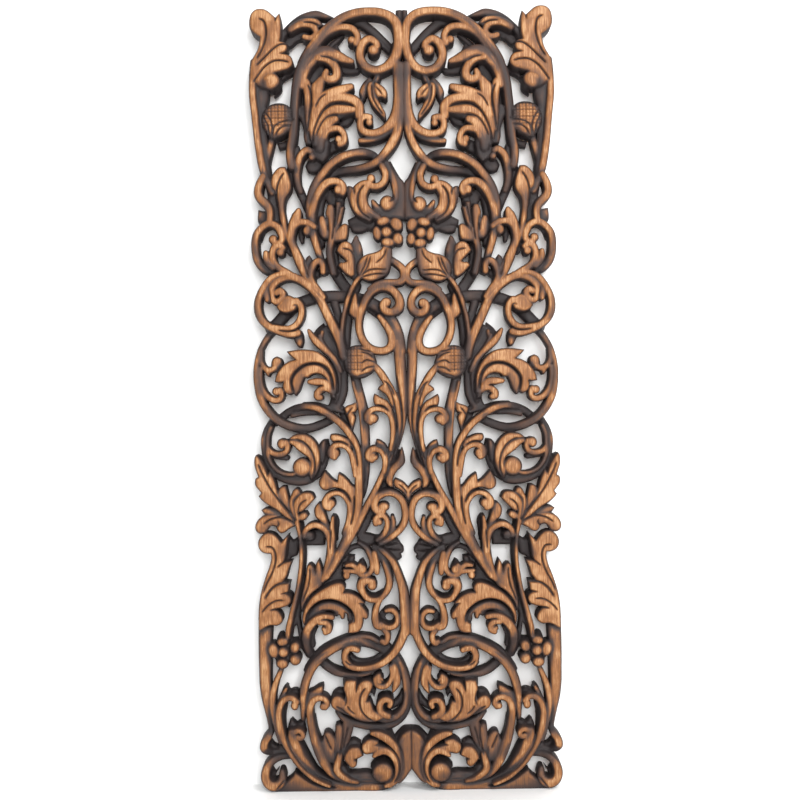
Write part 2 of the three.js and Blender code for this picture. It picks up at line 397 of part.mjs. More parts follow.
stem([26.5,368, 30,359.5, 34,350.5, 38.5,341.5, 43.5,332.5, 48.5,323.5, 53.5,313.5, 58.5,303.5,
  63.5,293.5, 69,284, 75,274.5, 82,264, 89,253.5, 96,244],
  [4.5,5,5.5,6,6.5,6.5,6.5,6,5.5,5,5,6,6,4], [24]);

// Bird-like leaves beside the middle
leaf([6.1,394.4, 4.2,387.5, 3.2,378.8, 6.3,372.8, 11.3,367.7, 14.9,361.7, 16.7,354.8, 15.7,347.2,
  20.7,348.8, 24.3,354.8, 24.1,361.7, 21.5,367.7, 16.9,373.2, 12.4,377.9, 9.7,382.5, 8.4,388.7],
  23);
leaf([6.6,391, 12.3,389.8, 17.9,380.6, 21.3,372.6, 16.6,369.1, 12.1,373.7, 7.5,378.3], 11);
leaf([-1.6,331.1, -1.4,345.6, 1.4,350.2, 6.1,354.8, 13.5,358, 15.5,354.8, 14.3,348.8, 8.7,345.1,
  4.1,340.5, 1.7,334.5], 23);
leaf([15.3,343.9, 20.3,350.9, 26.4,360, 33.5,350.9, 38.5,339.8, 32.4,343.9, 24.4,344.9], 11);

// Scrolls beside the middle opening
stem([32,283.5, 22,288.5, 13,296, 6.5,304.5, 3.7,313, 3.5,322, 5.7,331, 10.5,337.7, 17.5,341.3,
  25.5,341.3, 32.5,338, 37.3,332, 38,325.5, 34.5,320.8, 29,320],
  [4,5.5,6.5,7,7.3,7.3,7.3,7.3,8,7]);
ball(27.5, 325.8, 6.8, 5.4, 0, 24);
stem([36,287.5, 28.5,293.5, 24.3,302, 24,309.5, 27.5,315, 33,315.3, 37.5,311.3, 37,306.5],
  [3,5,5.5,5,5.2,5.5,5.5]);
ball(33.2, 308.5, 4.6, 4.4, 0, 24);
stem([17.8,313.8, 17,304.8, 19,296.8, 24.6,290.1, 32.2,286.4], [3,5.5,5.5,4,3], [23,23,20]);
leaf([15.2,289.4, 20.3,284.3, 30.4,280.3, 44.5,280.3, 58.7,282.3, 58.7,292.9, 46.6,293.9,
  36.5,291.4, 26.3,294.4, 18.3,300.5], 12);
leaf([13.2,288.4, 9.2,282.3, 6.1,277.8, 6.6,273.2, 9.7,270.7, 8.2,266.7, 11.2,263.6, 16.2,262.6,
  24.3,268.2, 34.4,275.2, 44.5,282.3, 30.4,284.3, 20.3,285.3], 12);
leaf([60,348, 64,351, 68,356.5, 73,361.5, 78.5,365, 79.5,360, 80,354.5, 85,357.5, 89.5,362,
  94.5,367.5, 98,362, 101,356, 100.5,350.5, 97,346.5, 91.5,345.5, 86,347.5, 80,347, 74,343.5,
  69,337.5, 66,330, 65,322, 64,310, 60,322, 59.5,336], 24);
stem([72,296, 68,307, 66.3,318, 67,328, 71,336, 77,341.3, 84,342, 90.5,339, 94.5,333, 94,327.5,
  90,325], [8,7.5,6.5,5,4.2,4.2,4.8,6,7,7,6]);
ball(88, 330, 5.6, 5.8, 0, 24);

// Loop with the large ball and spiral
leaf([90.8,403.6, 96.9,402.6, 100.9,396.5, 103,379.4, 109,361.2, 125.1,355.2, 141.3,357.2,
  152.4,361.2, 147.3,356.2, 135.2,352.7, 123.1,351.2, 112,352.7, 103,358.2, 95.9,367.3,
  91.4,377.4, 88.8,389.5], 14);
leaf([92.9,402.8, 96.4,401.8, 100.1,396.8, 100.9,387.8, 97.4,375.7, 93.4,384.7], 20);
leaf([134.5,405, 128,409.5, 118,410.5, 110,407, 104,400.5, 100.5,392, 99.5,382, 101,372,
  105,363.5, 110,358, 112,366, 109,380, 114,394, 124,402.5], 25);
leaf([134,404, 125,403.5, 116,399, 110,391, 107,380, 107,368, 110,359.5, 112.5,363, 111,374,
  113,382.5, 119,387.5, 125,392, 130,397, 135,400], 24);
ball(120.5, 372, 10.6, 11, 0, 25);
stem([105,362.3, 113.8,357.9, 124.7,357, 137.8,359, 148.9,363.5, 157.8,371.6, 163.7,381.7,
  166.2,393.9, 166.4,404.9, 163.2,415.9, 157.2,424.3, 150.6,430.8],
  [8,10,12,11,9,8,6.5,5,4.5,4.5,5,6], [14,17,18,18,18,19,20,22,22,20,16,12]);
stem([124.5,371, 126.5,366.5, 133,364, 142,365.3, 150,369.5, 157,377, 160.8,387, 161,398,
  160,409, 156,418], [2.5,3,3,3,3.4,3.4,3], [24]);
stem([159.5,396, 156,390.3, 150,387.5, 144,387.3, 139,390, 137,395.5, 138.5,401],
  [3,5,5.5,5.8,6,6,6], [24]);
ball(143, 399.3, 5.6, 6.3, 0, 24);
stem([138.2,382.7, 145.7,383.2, 154.8,384.7], [4.5,3.5,3], [19]);
stem([155.7,417.7, 157.7,404.5, 156.7,392.4], [6,7,5], [12]);
stem([153.5,383.4, 157.5,376.3, 151.5,370.3], [8,8,6], [13]);

// Palmette leaf on its tall stem
leaf([106.5,336, 109,341.5, 114,343.5, 121,342.5, 127,337.5, 131,330, 131.5,318, 131,308,
  127,311, 127.5,320, 122,321.5, 117,325, 112,330], 24);
leaf([114.7,316.3, 117.2,320.6, 121.2,320.6, 126.2,317.8, 130.2,311.8, 124.2,310.8, 119.2,312.3],
  23);
leaf([121.9,341.7, 125.4,347.2, 129.4,347.2, 132.9,341.7, 135.5,333.6, 136,325.6, 134.9,318.6,
  131.9,309.6, 130.9,321.6, 130.9,332.6, 127.4,338.2], 21);
leaf([139.7,350.5, 144.7,350, 148.2,346.5, 149.7,339.5, 147.7,332.5, 141.7,325.4, 133.7,311.4,
  135.7,325.4, 136.7,337.5], 19);
leaf([132,307, 138,320, 144,331, 148.5,342, 151,352, 153.5,360, 157.5,368, 160,363, 163.5,373,
  168,381.5, 172.5,387, 174.5,383, 174.5,374, 172,366, 170.5,361.5, 174,359, 174,352, 170.5,347,
  167.5,343.5, 169,341, 170.5,339.5, 167,335, 161,330, 155,326.5, 148,321.5, 140,313], 24);
leaf([145.5,319.6, 156.5,325.6, 163.5,325.6, 168.1,323.1, 163.5,317.6, 155.5,314.6, 146.5,314.1],
  21);
leaf([131.2,305.8, 142.2,314.8, 150.2,317.3, 160.3,317.8, 167.3,315.8, 172.8,310.8, 175.3,303.8,
  173.3,298.3, 168.3,296.3, 163.3,298.3, 160.3,302.8, 156.8,305.3, 152.3,304.3, 149.7,299.3,
  146.2,296.8, 142.2,298.3, 138.2,301.8], 23);
leaf([151.6,341.9, 153.6,357.1, 160.7,371.2, 166.8,383.3, 171.8,386.4, 166.8,376.3, 160.7,363.1,
  155.7,349], 12);
stem([131,309, 129.4,299.9, 128.1,289.8, 127.2,274.8, 127.7,259.7, 129.2,244.7, 131.2,229.7,
  134.7,213.6, 137.7,199.6, 140,187.6, 140.7,176.6], [4,3.2,3,3,3.2,3.5,4.5,5,5,4], [24,23,23]);
stem([128.3,309.7, 125,290.5, 124.2,268.3, 125.8,248.1, 127.8,229.9, 130.3,212.8, 132.3,198.7,
  136.9,185.5, 138.9,172.4], [7,8,8,8,9,9,7,4,4], [13]);

// Leaves at the crossing
stem([86,314, 87.3,303, 87.5,292, 88.7,280, 90,268, 92.5,258, 96.5,248, 99,242],
  [2.5,4.5,7,9,9.5,9,6,4], [24]);
stem([89.5,275, 90.5,288, 94,297.5, 99.7,303.3, 107,305.8, 114,303.3, 118.5,298, 119,292.5],
  [6,6,6,6.3,6,5,4]);
ball(113.2, 292.8, 5, 5.2, 0, 23);
leaf([97.2,282.1, 96.2,295.2, 105.3,299.3, 117.5,295.2, 120.5,282.1], 10);
leaf([100.2,330.8, 103.2,330.3, 107.2,323.3, 105.7,314.8, 101.2,309.8, 96.2,303.8, 91.2,294.8,
  90.2,302.8, 93.2,312.8, 95.7,321.8, 97.2,327.8], 23);
leaf([80.8,298.6, 79.8,308.7, 82.9,315.8, 86.9,316.8, 88.9,310.7, 86.9,298.6, 85.9,286.5,
  81.8,286.5], 13);
leaf([98.7,239.7, 99.2,249.7, 100.7,257.7, 103.2,265.2, 105.7,261.7, 107.9,253.7, 109.2,257.2,
  112.7,260.7, 116.2,259.2, 117.7,249.7, 119.7,239.7, 122.7,227.7, 124.7,215.6, 123.7,205.6,
  120.2,215.6, 114.2,224.1, 107.2,230.7, 102.2,234.2], 23);
leaf([72.9,269, 81,264, 89.1,251.9, 98.2,238.7, 105.2,230.6, 115.3,222.5, 123.4,210.4,
  121.4,202.3, 109.3,219.5, 93.1,230.6, 81,236.7, 72.9,239.7, 76.9,249.8, 75.9,259.9, 64.8,258.9,
  62.3,268.5], 11);

// Side scrolls above the lower ring
stem([5,183, 5.2,200, 5.7,215, 7,230, 10.3,242, 14,253, 18,262, 23.6,269.2, 30.6,275.4,
  39.3,280.1], [10,11,11,10,8.5,7.5,6.5,5.5,5,4], [25,25,25,25,24,22,18]);
stem([40.3,278.1, 33.2,270.6, 27.6,261.2, 24.1,251.3, 22.4,242.4, 23.3,233.5, 27.6,225.6,
  34.1,219.9, 41.1,218.3, 48.1,220.6, 52.5,226.5, 55.5,233.5, 53.5,239.3, 47.5,241, 41.5,239.8],
  [3,6,8,8.3,7.8,7,6,5.6,5.6,6,6,9,10,7,6], [18,22,24,25]);
ball(42.3, 235.5, 5.8, 5.8, 0, 24);
stem([30.4,225.7, 38.5,221.7, 45.5,222.2, 50.6,226.7], [4], [12]);
stem([57.3,284.4, 49.2,278.9, 44.7,271.5, 42.1,263.6, 42.1,256.1, 45.1,249.7, 50.6,246.9,
  56.1,248.8, 58.1,254.3, 56,259], [2.5,4,5.5,6,5.5,5.5,6,6,5.5,4], [20,23,24]);
ball(53, 254.3, 5, 5.4, 0, 24);
leaf([49.4,257.8, 52.9,264.8, 57.4,261.8, 58.4,256.8, 53.4,256.8], 17);
stem([39.6,272.7, 37.6,262.7, 36.8,254.7, 36.8,250.2], [5,6.5,6,5], [23]);
stem([60.1,255.7, 65.1,259, 72.1,258.4], [5.5,4.8,2.5], [23]);
stem([58.6,251.2, 66.1,252, 74.1,252.7], [6,4,3], [23]);
ball(71.7, 247.3, 4.4, 5, 0, 22);
leaf([63,268.7, 68.5,267.2, 70.6,260.7, 65.5,259.2, 63,262.2], 16);
stem([44.5,266.4, 47.5,273.5, 53.5,279, 61.6,279, 68.7,275, 74.7,268.4], [4], [14]);
stem([31,221, 36,214.5, 39,206, 39.5,197, 38,190, 34,187.5], [2.5,5,6.8,8.3,8,6], [24]);
stem([27.1,206.1, 20.5,206.9, 15.3,202.6, 13.7,196.1, 16,189.6, 22,186.6, 28.1,187.6,
  33.1,191.1], [3.5,5,5.2,5.2,5.5,5,5], [23]);
stem([31.1,184.4, 26.1,179.9, 25.8,173.4, 28.8,169.3, 32.1,170.8], [3,6,6,6,5], [22]);

// Acanthus leaf over the lower lens
leaf([51,215, 57,221.5, 64,226, 71,228, 75.5,227.5, 73.5,233, 77,238.5, 84,239, 92,236, 101,231,
  109,225.5, 115.5,218.5, 120.5,209, 123,198, 121,190, 118.5,201, 113,210.5, 106,216.5, 98,219.5,
  90,219.8, 81,217.5, 73,213, 67,207, 65,201, 66.5,194, 70.5,192, 70.3,186, 71,181.5, 65,181.3,
  59,182.8, 55,187.5, 53.3,194, 53.5,198.5, 50.5,196.8, 47.5,199, 48,203.5, 52,209.5,
  55.5,213.5], 25);
leaf([64.3,196.8, 67.4,203.8, 73.4,210.4, 81.4,214.9, 90.5,217.2, 99.5,216.4, 107.5,212.9,
  113.6,207.4, 119.1,197.8, 119.6,190.8, 112.6,196.8, 104.5,202.3, 96.5,205.9, 88.5,204.9,
  84.4,199.3, 80.9,201.3, 78.4,196.3, 75.4,196.8, 74.4,203.8, 71.9,201.8, 71.4,194.8,
  68.4,190.8], 19);
stem([89,199.5, 98,200, 106,197.5, 113,192, 118,184, 119.5,173.5, 118.2,163, 114.1,154.2],
  [5,7.5,9,9,9,9,8,6], [25,25,25,25,24,19,13]);
stem([103,193.5, 96.5,193.7, 92.3,189.5, 92.8,184.5, 97,182.3], [5,6,5.5,5.5,5]);
ball(97.5, 186.5, 4, 4.2, 0, 24);
stem([109.2,185.3, 113.2,175.2, 112.2,165.1], [4], [12]);
stem([130.3,205.7, 128.3,190.6, 126.3,177.5, 123.7,165.3, 117.2,154.2], [5,5,5,6,7], [13]);

// Leaf column at the edge
leaf([137.5,295, 142,290.5, 146,286, 149.5,291, 155,296, 161.5,297.5, 167.5,294.5, 171.8,288,
  171.8,281, 168.5,276, 163,273.7, 158,273.5, 157.5,268, 159.5,259, 163,250, 166.5,240, 170,228,
  172.3,214, 173.3,198, 173.3,185, 166,188, 160,191, 152,191, 146.5,195, 146.5,201, 150,206.5,
  153,209, 146,211.5, 139.5,213.8, 136,218.5, 137,224, 141,227, 138.5,230.5, 138,236,
  136.5,240.3, 145,241, 140,248, 137.5,256, 134,264.5, 139,264, 143.5,263.5, 141,272, 139.7,284],
  24);
leaf([127.5,290.3, 133.5,286.7, 135.6,288.8, 139.1,293.8, 142.6,284.2, 143.7,270, 147.7,262,
  139.6,263.5, 135.6,267, 128.5,271.1], 11);
leaf([132.4,263.1, 138.5,265.1, 145.6,260.1, 142.5,250, 147.6,240.9, 149.6,237.9, 140.5,237.9,
  136,248], 12);
leaf([134.4,223.7, 138.5,228.3, 142.5,227.8, 142.5,211.6, 138.5,209.6], 12);
leaf([144.5,197.5, 146.6,205.5, 150.6,208.6, 153.6,203.5, 151.6,187.3, 146.6,191.4], 12);
stem([165.7,195, 166.6,179.1, 167.1,159.3, 167.1,139.3, 167.1,124.2, 166.2,109.1, 164.6,96.7,
  163.2,84.2, 162.1,73.7, 162.1,64.6], [15,14,13,12.5,12,10.5,8.5,5.5,4,4],
  [20,21,22,22,22,21,19,17,17]);

// Lower flower
ball(145.5, 157.7, 14, 14, 0, 17);
ball(145.3, 160.3, 6.3, 6.3, 0, 25);
ball(146.3, 172, 6.7, 5.2, 0, 24);
ball(156.8, 162, 6.3, 9, -12, 24);
ball(147, 147, 7.3, 6, 5, 24);
ball(132, 151.3, 6.7, 6.6, 0, 24);
ball(132.3, 165.3, 5.9, 7.2, 20, 24);
leaf([142.3,173.6, 147.3,180.7, 151.4,179.2, 153.9,170.6, 147.3,167.6], 14);
leaf([125.9,168.2, 129.4,173.7, 140.5,172.7, 141.5,165.1, 129.4,164.1], 12);
stem([147.9,141.3, 151.4,133.3, 155.4,123.3, 158.3,112.3, 159.1,101.3, 157.8,90.3, 155.8,79.3,
  153.8,68.4, 150.7,57.4], [4,5,6,6.5,6.5,6,5.5,4,3], [22,23]);
stem([145.6,137.8, 149.6,127.7, 152.6,116.6, 154.6,105.5], [4,5,5,4], [12]);

// Lower ring with its inner hook
stem([5.3,190, 6.3,183.5, 8.7,176, 12.7,167, 18,158.7, 25,151.3, 33,145.8, 42,142.2, 52,140.5,
  62,140.8, 70,144, 74.3,149.7, 75,156.5, 71.5,162.3, 65.5,163.5, 60.5,161.8],
  [10,9,8.7,8.5,8,7.5,7,6.5,5.7,5.7,6.5,7,7,7,6.5,6]);
stem([64.2,140.8, 72.2,142.6, 77.2,147.3], [4,4,2.5], [22]);
stem([27.1,148.3, 34.1,142.7, 42.1,138, 50.2,134.1, 60.3,131.9, 72.4,131.8, 82.6,133.6,
  90.8,137.2, 99,143.1, 104.1,149], [2,2.6,3.2,4.5,5.5,6.5,7.5,9,9,9], [22,22,22,20,18,16,13,12]);
stem([45.5,136.1, 60.6,133.9, 76.8,135.1, 88.9,139.1], [4], [13]);
stem([30.4,157.3, 38.4,163.5, 47.4,168.1, 58.3,170.8, 69.2,170.7, 79.1,167.6, 89,163, 98,157,
  107,149, 114,140, 119,129.5, 122.3,118, 124.1,105.7, 124.3,94.1, 124.2,82],
  [7,9.5,11,11,10,9,9,9,9,9,9,8.5,6.5,5,4], [13,14,17,20,22,24,25,25,25,25,25,24,22,18]);
stem([36.3,169.5, 45.4,174.9, 57.5,176.4, 70.6,174.9, 82.6,170.8, 93.7,165.3, 103.8,158.8,
  112.9,149.4, 120.9,138.8], [3.5,4,4,4,4,5,5,4,3], [16]);
stem([33.4,154, 40.5,147.9, 48.6,144.9, 56.7,144.4, 63.7,146.9, 68.8,153], [4,5,6,6,5,3], [12]);
leaf([22.3,163.3, 28.3,169.4, 36.4,171.4, 40.5,165.3, 34.4,155.3, 28.3,152.2, 20.3,159.3], 13);

// Lower middle rings and their leaves
stem([17.2,150.2, 11.2,142.1, 6.6,131, 4.4,118.9, 4.1,106.8, 5.4,94.7, 9.9,85.1, 16.7,77.5,
  25.8,73, 36.4,71, 48.5,72, 60.6,74.5, 70.7,77.5, 78.8,82.6, 84.9,89.6],
  [11,9,9,8.5,8.5,8.5,8.5,8,8,7.5,7.5,7.5,7,6,4], [19, 19, 18, 17, 17, 17]);
stem([12.1,145.8, 8.6,133.8, 6.6,120.7, 5.5,108.8, 7,98.4, 11.4,89.4, 18.4,83.2, 27.6,80.8,
  38.1,82.1], [2.5,3.2,3.8,4.2,4.8,5.5,6.5,6.5,5], [20,20,21,21,22]);
leaf([20.6,149.3, 15.1,142.3, 12,132.3, 11.5,123.2, 14.1,118.2, 18.1,113.2, 21.6,110.7,
  21.6,117.2, 20.6,124.2, 21.1,132.3, 22.6,141.3], 22);
stem([23.1,142.3, 21.4,132.3, 23.8,124.4, 28.1,119.9, 34.1,119, 39.1,122.3, 40,127.7,
  36.3,131.7], [2.5,3.5,4.5,5.5,6,6,6,5], [22,24]);
ball(35.3, 126.8, 4.4, 4.6, 0, 24);
stem([24.5,97, 23.2,101.5, 28,104.3, 33,102.5, 36,97, 35.5,91, 32,87.5, 26,85],
  [5,5.5,6,6.5,7,7.5,7,6], [24]);
leaf([38.4,103.8, 34.4,107.8, 24.3,108.8, 20.3,104.8, 22.3,97.7, 30.4,92.7, 38.4,94.7], 13);
leaf([44,123.5, 47,126.5, 53,127, 58.5,124, 61.8,118.5, 62.5,127, 68,127.7, 75,126.5, 77,118,
  75,110.5, 76,104, 79,107.5, 84,109.7, 89,108, 91.5,103, 90.5,97, 85,92.5, 79,90, 71,86.5,
  63,82.5, 56,80, 47,79, 39,80, 32,83.5, 38,88.5, 43,93, 45,99, 47,103.5, 51,102.5, 49,108,
  46,114.5, 43.8,119], 25);
leaf([40.5,126, 50.5,129, 64.7,129, 77.8,128, 77.8,120.9, 62.7,117.9, 60.6,114.9, 44.5,108.8,
  42.5,104.8, 40.5,112.9, 44.5,118.9], 13);
leaf([76.7,101, 77.7,113.6, 83.8,114.1, 89.3,110.6, 92.9,103], 14);

// Bottom: twisted leaf, small leaves and the heart-shaped middle
leaf([66.5,76.7, 69.5,61.6, 74.5,47.5, 78.5,38.4, 79.5,27.4, 78.5,17.3, 84.6,17.3, 89.1,21.3,
  91.1,29.4, 89.6,37.4, 88.1,47.5, 88.1,59.6, 87.1,73.7, 82.6,75.7, 79.5,72.6, 77.5,79.7,
  71.5,81.7], 17);
stem([82.7,41, 85.2,32.2, 86.1,25.3, 82.6,19.8, 76.1,15.3, 69.2,12, 63.2,10.6],
  [5,7.5,8,6.5,5,4,2.5], [22,23,23,21]);
leaf([87.5,56.9, 90.5,62.9, 95.6,66.9, 100.1,65.4, 102.1,59.4, 105.1,54.8, 106.1,47.8,
  104.1,40.8, 99.1,34.7, 91.5,31.2, 87.5,31.7, 87.5,43.8, 86.5,51.8], 18);
leaf([55.6,40.9, 57.6,46.4, 60.1,49.9, 64.6,50.9, 70.6,49.4, 75.6,43.4, 77.6,37.4, 74.1,32.3,
  70.1,28.1, 66.6,27.6, 63.6,30.3, 63.1,34.3, 66.1,36.4, 61.1,38.2], 23);
leaf([58.6,52.6, 66.6,56.6, 71.7,53.6, 77.7,41.5, 79.8,34.4, 68.7,42.5, 59.6,43.5], 14);
leaf([0,70.5, 4,69.5, 9,66, 13,60.5, 15.5,55.5, 13,50, 11,44, 10.5,35, 11,25, 14,17, 19,10,
  14,9.5, 8,15, 3,22, 0,27], 24);
leaf([0,70.5, 8.2,69.4, 14.2,64.4, 19.3,58.3, 25.3,68.4, 36.4,70.5, 47.5,68.4, 46.5,62.4,
  30.4,54.3, 20.3,46.2, 14.2,48.2, 8.2,62.4, 0,66.4], 13);
stem([45.5,66.5, 37,64.5, 28,59.8, 21,53.3, 16,45.3, 13.3,36, 12.7,27, 14.5,19, 19,11.5, 26,7],
  [3,8,9,8,6.5,5,4,3.5,3.5,4]);
leaf([38,58, 46,60, 52,57.8, 57,52.5, 56.5,47, 53,43, 46,43.7, 41,44.5, 35,48, 30,51, 38,54], 24);
stem([43.5,41, 37,45.3, 30,46.5, 23,42.5, 18.5,35, 17,26.5, 18.5,18, 23,11, 30,7],
  [2.5,7,8,7,5.5,4.2,3.5,3.5,4]);
ball(33, 21.5, 12.5, 11.5, 0, 24);
stem([21.3,21.7, 24.8,29.8, 32.4,33.8, 40.5,31.8, 45.5,25.7], [5], [12]);
stem([22.1,7.3, 32.2,4.6, 44.2,3.7, 58.3,3.3, 75.5,4.6, 92.6,8.6, 107.5,16, 118.4,27.3,
  126.2,39.3, 132.1,51.6, 136.5,62, 137,68], [4,7,9,9,8,8,9,10,10.5,11,10,8],
  [20,20,18,18,22,24,24]);
stem([42.5,10.9, 52.6,12.9, 64.7,13.4, 74.8,15.9, 78.8,24], [12,14,12,9,8], [17]);
stem([62.3,9.8, 76.3,11.9, 89.3,17.5, 98.3,26.6, 105.3,38.8, 110.3,52.9, 113.8,67.1, 115.8,81.2,
  116.2,93.3, 112.7,102.7, 106.2,106.7, 99.4,105.6, 96.1,100.3, 98.5,96],
  [3,4,5.5,6.5,7,7.3,7.3,7.3,7,6.5,6,6,5], [20,22,24]);
ball(101, 97.3, 3.8, 4, 0, 24);
stem([95,23.7, 102.1,38.8, 107.2,54, 111.2,68.1, 113.2,82.3], [8,8,7,5,4], [18]);
stem([114.3,21.3, 122.4,35.5, 128.5,49.6], [10,11,9], [18]);
stem([136.5,67.5, 130,70, 125.5,67.8, 124.5,63.5, 127.5,61.3, 130,63], [6,4.5,4.7,4.5,4], [24]);
leaf([122.6,67.7, 124.1,76.3, 129.2,76.8, 132.2,74.8, 135.2,77.3, 137.8,80.3, 140.8,76.8,
  142.8,68.7, 137.2,64.7, 129.2,65.7], 14);
stem([95,7.5, 109,14, 121,23.5, 131,34.5, 139,46.5, 145.5,58.5, 149.5,70, 151.5,82, 151.5,93,
  148,102.3, 142,107.3, 135.5,107.3, 131.3,103], [3,4,5,6,7,7,7,6.5,6,6,6,6,6]);
ball(133.3, 99, 4.6, 5.6, 0, 24);
stem([145.6,96.4, 148.1,84.3, 148.1,70.2, 145.6,60.1], [4,5,5,4], [12]);
stem([142.9,118.2, 147.4,109.2, 151.4,100.2, 152.9,90.2], [2,4.8,4.8,3], [22]);
leaf([139.3,112.1, 143.8,120.2, 148.3,114.1, 147.3,107.1, 143.3,105], 14);
leaf([101.1,120.5, 106.4,119, 112.4,115, 117.9,112.4, 120.9,104.9, 122.9,96.9, 121.9,91.9,
  117.4,96.9, 113.4,102.9, 108.4,107.4, 102.3,110.4, 100.8,115], 21);
leaf([122.2,108.8, 132.3,110.8, 131.3,96.7, 130.8,75.5, 123.2,75.5, 121.2,91.7], 13);
leaf([129.2,112.1, 132.2,114.6, 138.3,113.6, 142.3,109.1, 135.2,104, 129.2,104], 14);
leaf([20.2,5.6, 30.2,1.5, 45.3,-1, 70.4,-2, 100.6,-2.5, 130.8,-2.5, 155.9,-2.2, 158.9,0,
  150.9,6.6, 143.8,11.6, 136.8,17.6, 134.8,21.7, 126.7,17.6, 116.7,11.6, 104.6,7.1, 92.6,4.6,
  70.4,5.6, 45.3,7.6, 28.2,6.6], 18);

// Corner curls
stem([142.4,33.1, 153.3,32.7, 160.7,31.4, 166.6,26.3, 168.3,17.3, 164.8,9.8, 157.8,7.1,
  151.4,10.3, 149.1,16.3, 149.4,22.7], [6,6.5,7.5,8.5,9.5,10,11,9.5,8,5],
  [13,15,20,23,23,23,23,22,20,18]);
leaf([153.9,24, 158.9,14.9, 160,7.9, 165,9.9, 167,19, 163,26.1, 160.5,23, 157.9,19], 10);
leaf([136.2,17.3, 138.3,23.3, 142.3,17.8, 146.3,10.2, 141.3,9.2], 14);
stem([160.9,69.9, 163.8,63.9, 168.3,57.4, 169.3,50.4, 166.3,43.1, 160.6,38.2, 153.6,38.3],
  [4,7,8,8.5,7.5,6,5], [18,23,23,23,19,13,12]);
leaf([153.4,48.8, 158.9,50.9, 162.5,55.4, 166,57.4, 168.1,47.3, 166,41.2, 160,37.2, 151.9,39.2],
  10);
leaf([135.5,30.8, 142.5,33.3, 151.6,33.8, 154.6,41.9, 152.6,50, 147.6,47.9, 141.5,39.9], 12);

// A mask of cells grown or shrunk by half of the narrowest width.
function grown(mask) {
  const reach = Math.round(NARROWEST / 2 / CELL);
  const out = new Uint8Array(mask.length);
  for (let row = 0; row < ROWS; row++) {
    for (let col = 0; col < COLS; col++) {
      if (!mask[row * COLS + col]) continue;
      for (let r = Math.max(0, row - reach); r <= Math.min(ROWS - 1, row + reach); r++) {
        const span = Math.floor(Math.sqrt(reach * reach + 1 - (r - row) ** 2));
        out.fill(1, r * COLS + Math.max(0, col - span), r * COLS + Math.min(COLS - 1, col + span) + 1);
      }
    }
  }
  return out;
}
const flipped = (mask) => mask.map((v) => 1 - v);
const shrunk = (mask) => flipped(grown(flipped(mask)));
const withoutSlits = (mask) => shrunk(grown(mask));
const withoutSlivers = (mask) => grown(shrunk(mask));

// Leaves out what is too narrow: slits in the board, slivers of it, then strips of either height.
function clearNarrow() {
  const board = withoutSlivers(withoutSlits(grid.map((v) => (v > 0 ? 1 : 0))));
  const low = withoutSlivers(board.map((v, i) => (v && grid[i] <= GROUND ? 1 : 0)));
  const high = withoutSlivers(board.map((v, i) => (v && !low[i] ? 1 : 0)));
  board.forEach((v, i) => { grid[i] = v && (high[i] ? CREST : GROUND); });
}

// Areas of one height that are too small to cut take the height of the cells beside them.
function mergeSpecks() {
  const seen = new Uint8Array(grid.length);
  for (let start = 0; start < grid.length; start++) {
    if (seen[start]) continue;
    const value = grid[start];
    const area = [start];
    const beside = new Map();
    seen[start] = 1;
    for (let i = 0; i < area.length; i++) {
      const col = area[i] % COLS;
      const row = (area[i] - col) / COLS;
      for (const [c, r] of [[col - 1, row], [col + 1, row], [col, row - 1], [col, row + 1]]) {
        if (c < 0 || c >= COLS || r < 0 || r >= ROWS) continue;
        const next = r * COLS + c;
        if (grid[next] !== value) beside.set(grid[next], (beside.get(grid[next]) || 0) + 1);
        if (grid[next] !== value || seen[next]) continue;
        seen[next] = 1;
        area.push(next);
      }
    }
    if (area.length * CELL * CELL >= (value ? LEAST_STEP : SMALLEST) || !beside.size) continue;
    const commonest = [...beside].sort((a, b) => b[1] - a[1])[0][0];
    area.forEach((at) => { grid[at] = commonest; });
  }
}

// The four cells round a grid corner: below left, below right, above left, above right.
function cellsRound(col, row) {
  return [cellAt(col - 1, row - 1), cellAt(col, row - 1), cellAt(col - 1, row), cellAt(col, row)];
}

// Cells that meet only at a corner are filled in, so that no two walls share one edge.
function closeCorners() {
  let changed = true;
  while (changed) {
    changed = false;
    for (let row = 1; row < ROWS; row++) {
      for (let col = 1; col < COLS; col++) {
        const [a, b, c, d] = cellsRound(col, row);
        if (!(a === d && b !== a && c !== a) && !(b === c && a !== b && d !== b)) continue;
        const highest = Math.max(a, b, c, d);
        for (const at of [-COLS - 1, -COLS, -1, 0]) grid[row * COLS + col + at] = highest;
        changed = true;
      }
    }
  }
}

// Grid corners are numbered; a corner is a junction where more than two borders meet.
const WIDE = COLS + 1;
const cornerPoint = (n) => [(n % WIDE) * CELL, Math.floor(n / WIDE) * CELL];
function isJunction(n) {
  const [a, b, c, d] = cellsRound(n % WIDE, Math.floor(n / WIDE));
  return (a !== b) + (b !== d) + (d !== c) + (c !== a) > 2;
}

// Closed walks of corners round every area of one height, with the area on the left.
function loopsOf(value) {
  const next = new Map();
  for (let row = 0; row < ROWS; row++) {
    for (let col = 0; col < COLS; col++) {
      if (grid[row * COLS + col] !== value) continue;
      const n = row * WIDE + col;
      if (cellAt(col, row - 1) !== value) next.set(n, n + 1);
      if (cellAt(col + 1, row) !== value) next.set(n + 1, n + 1 + WIDE);
      if (cellAt(col, row + 1) !== value) next.set(n + 1 + WIDE, n + WIDE);
      if (cellAt(col - 1, row) !== value) next.set(n + WIDE, n);
    }
  }
  const loops = [];
  while (next.size) {
    const loop = [];
    let at = next.keys().next().value;
    while (next.has(at)) {
      const to = next.get(at);
      next.delete(at);
      loop.push(at);
      at = to;
    }
    loops.push(loop);
  }
  return loops;
}

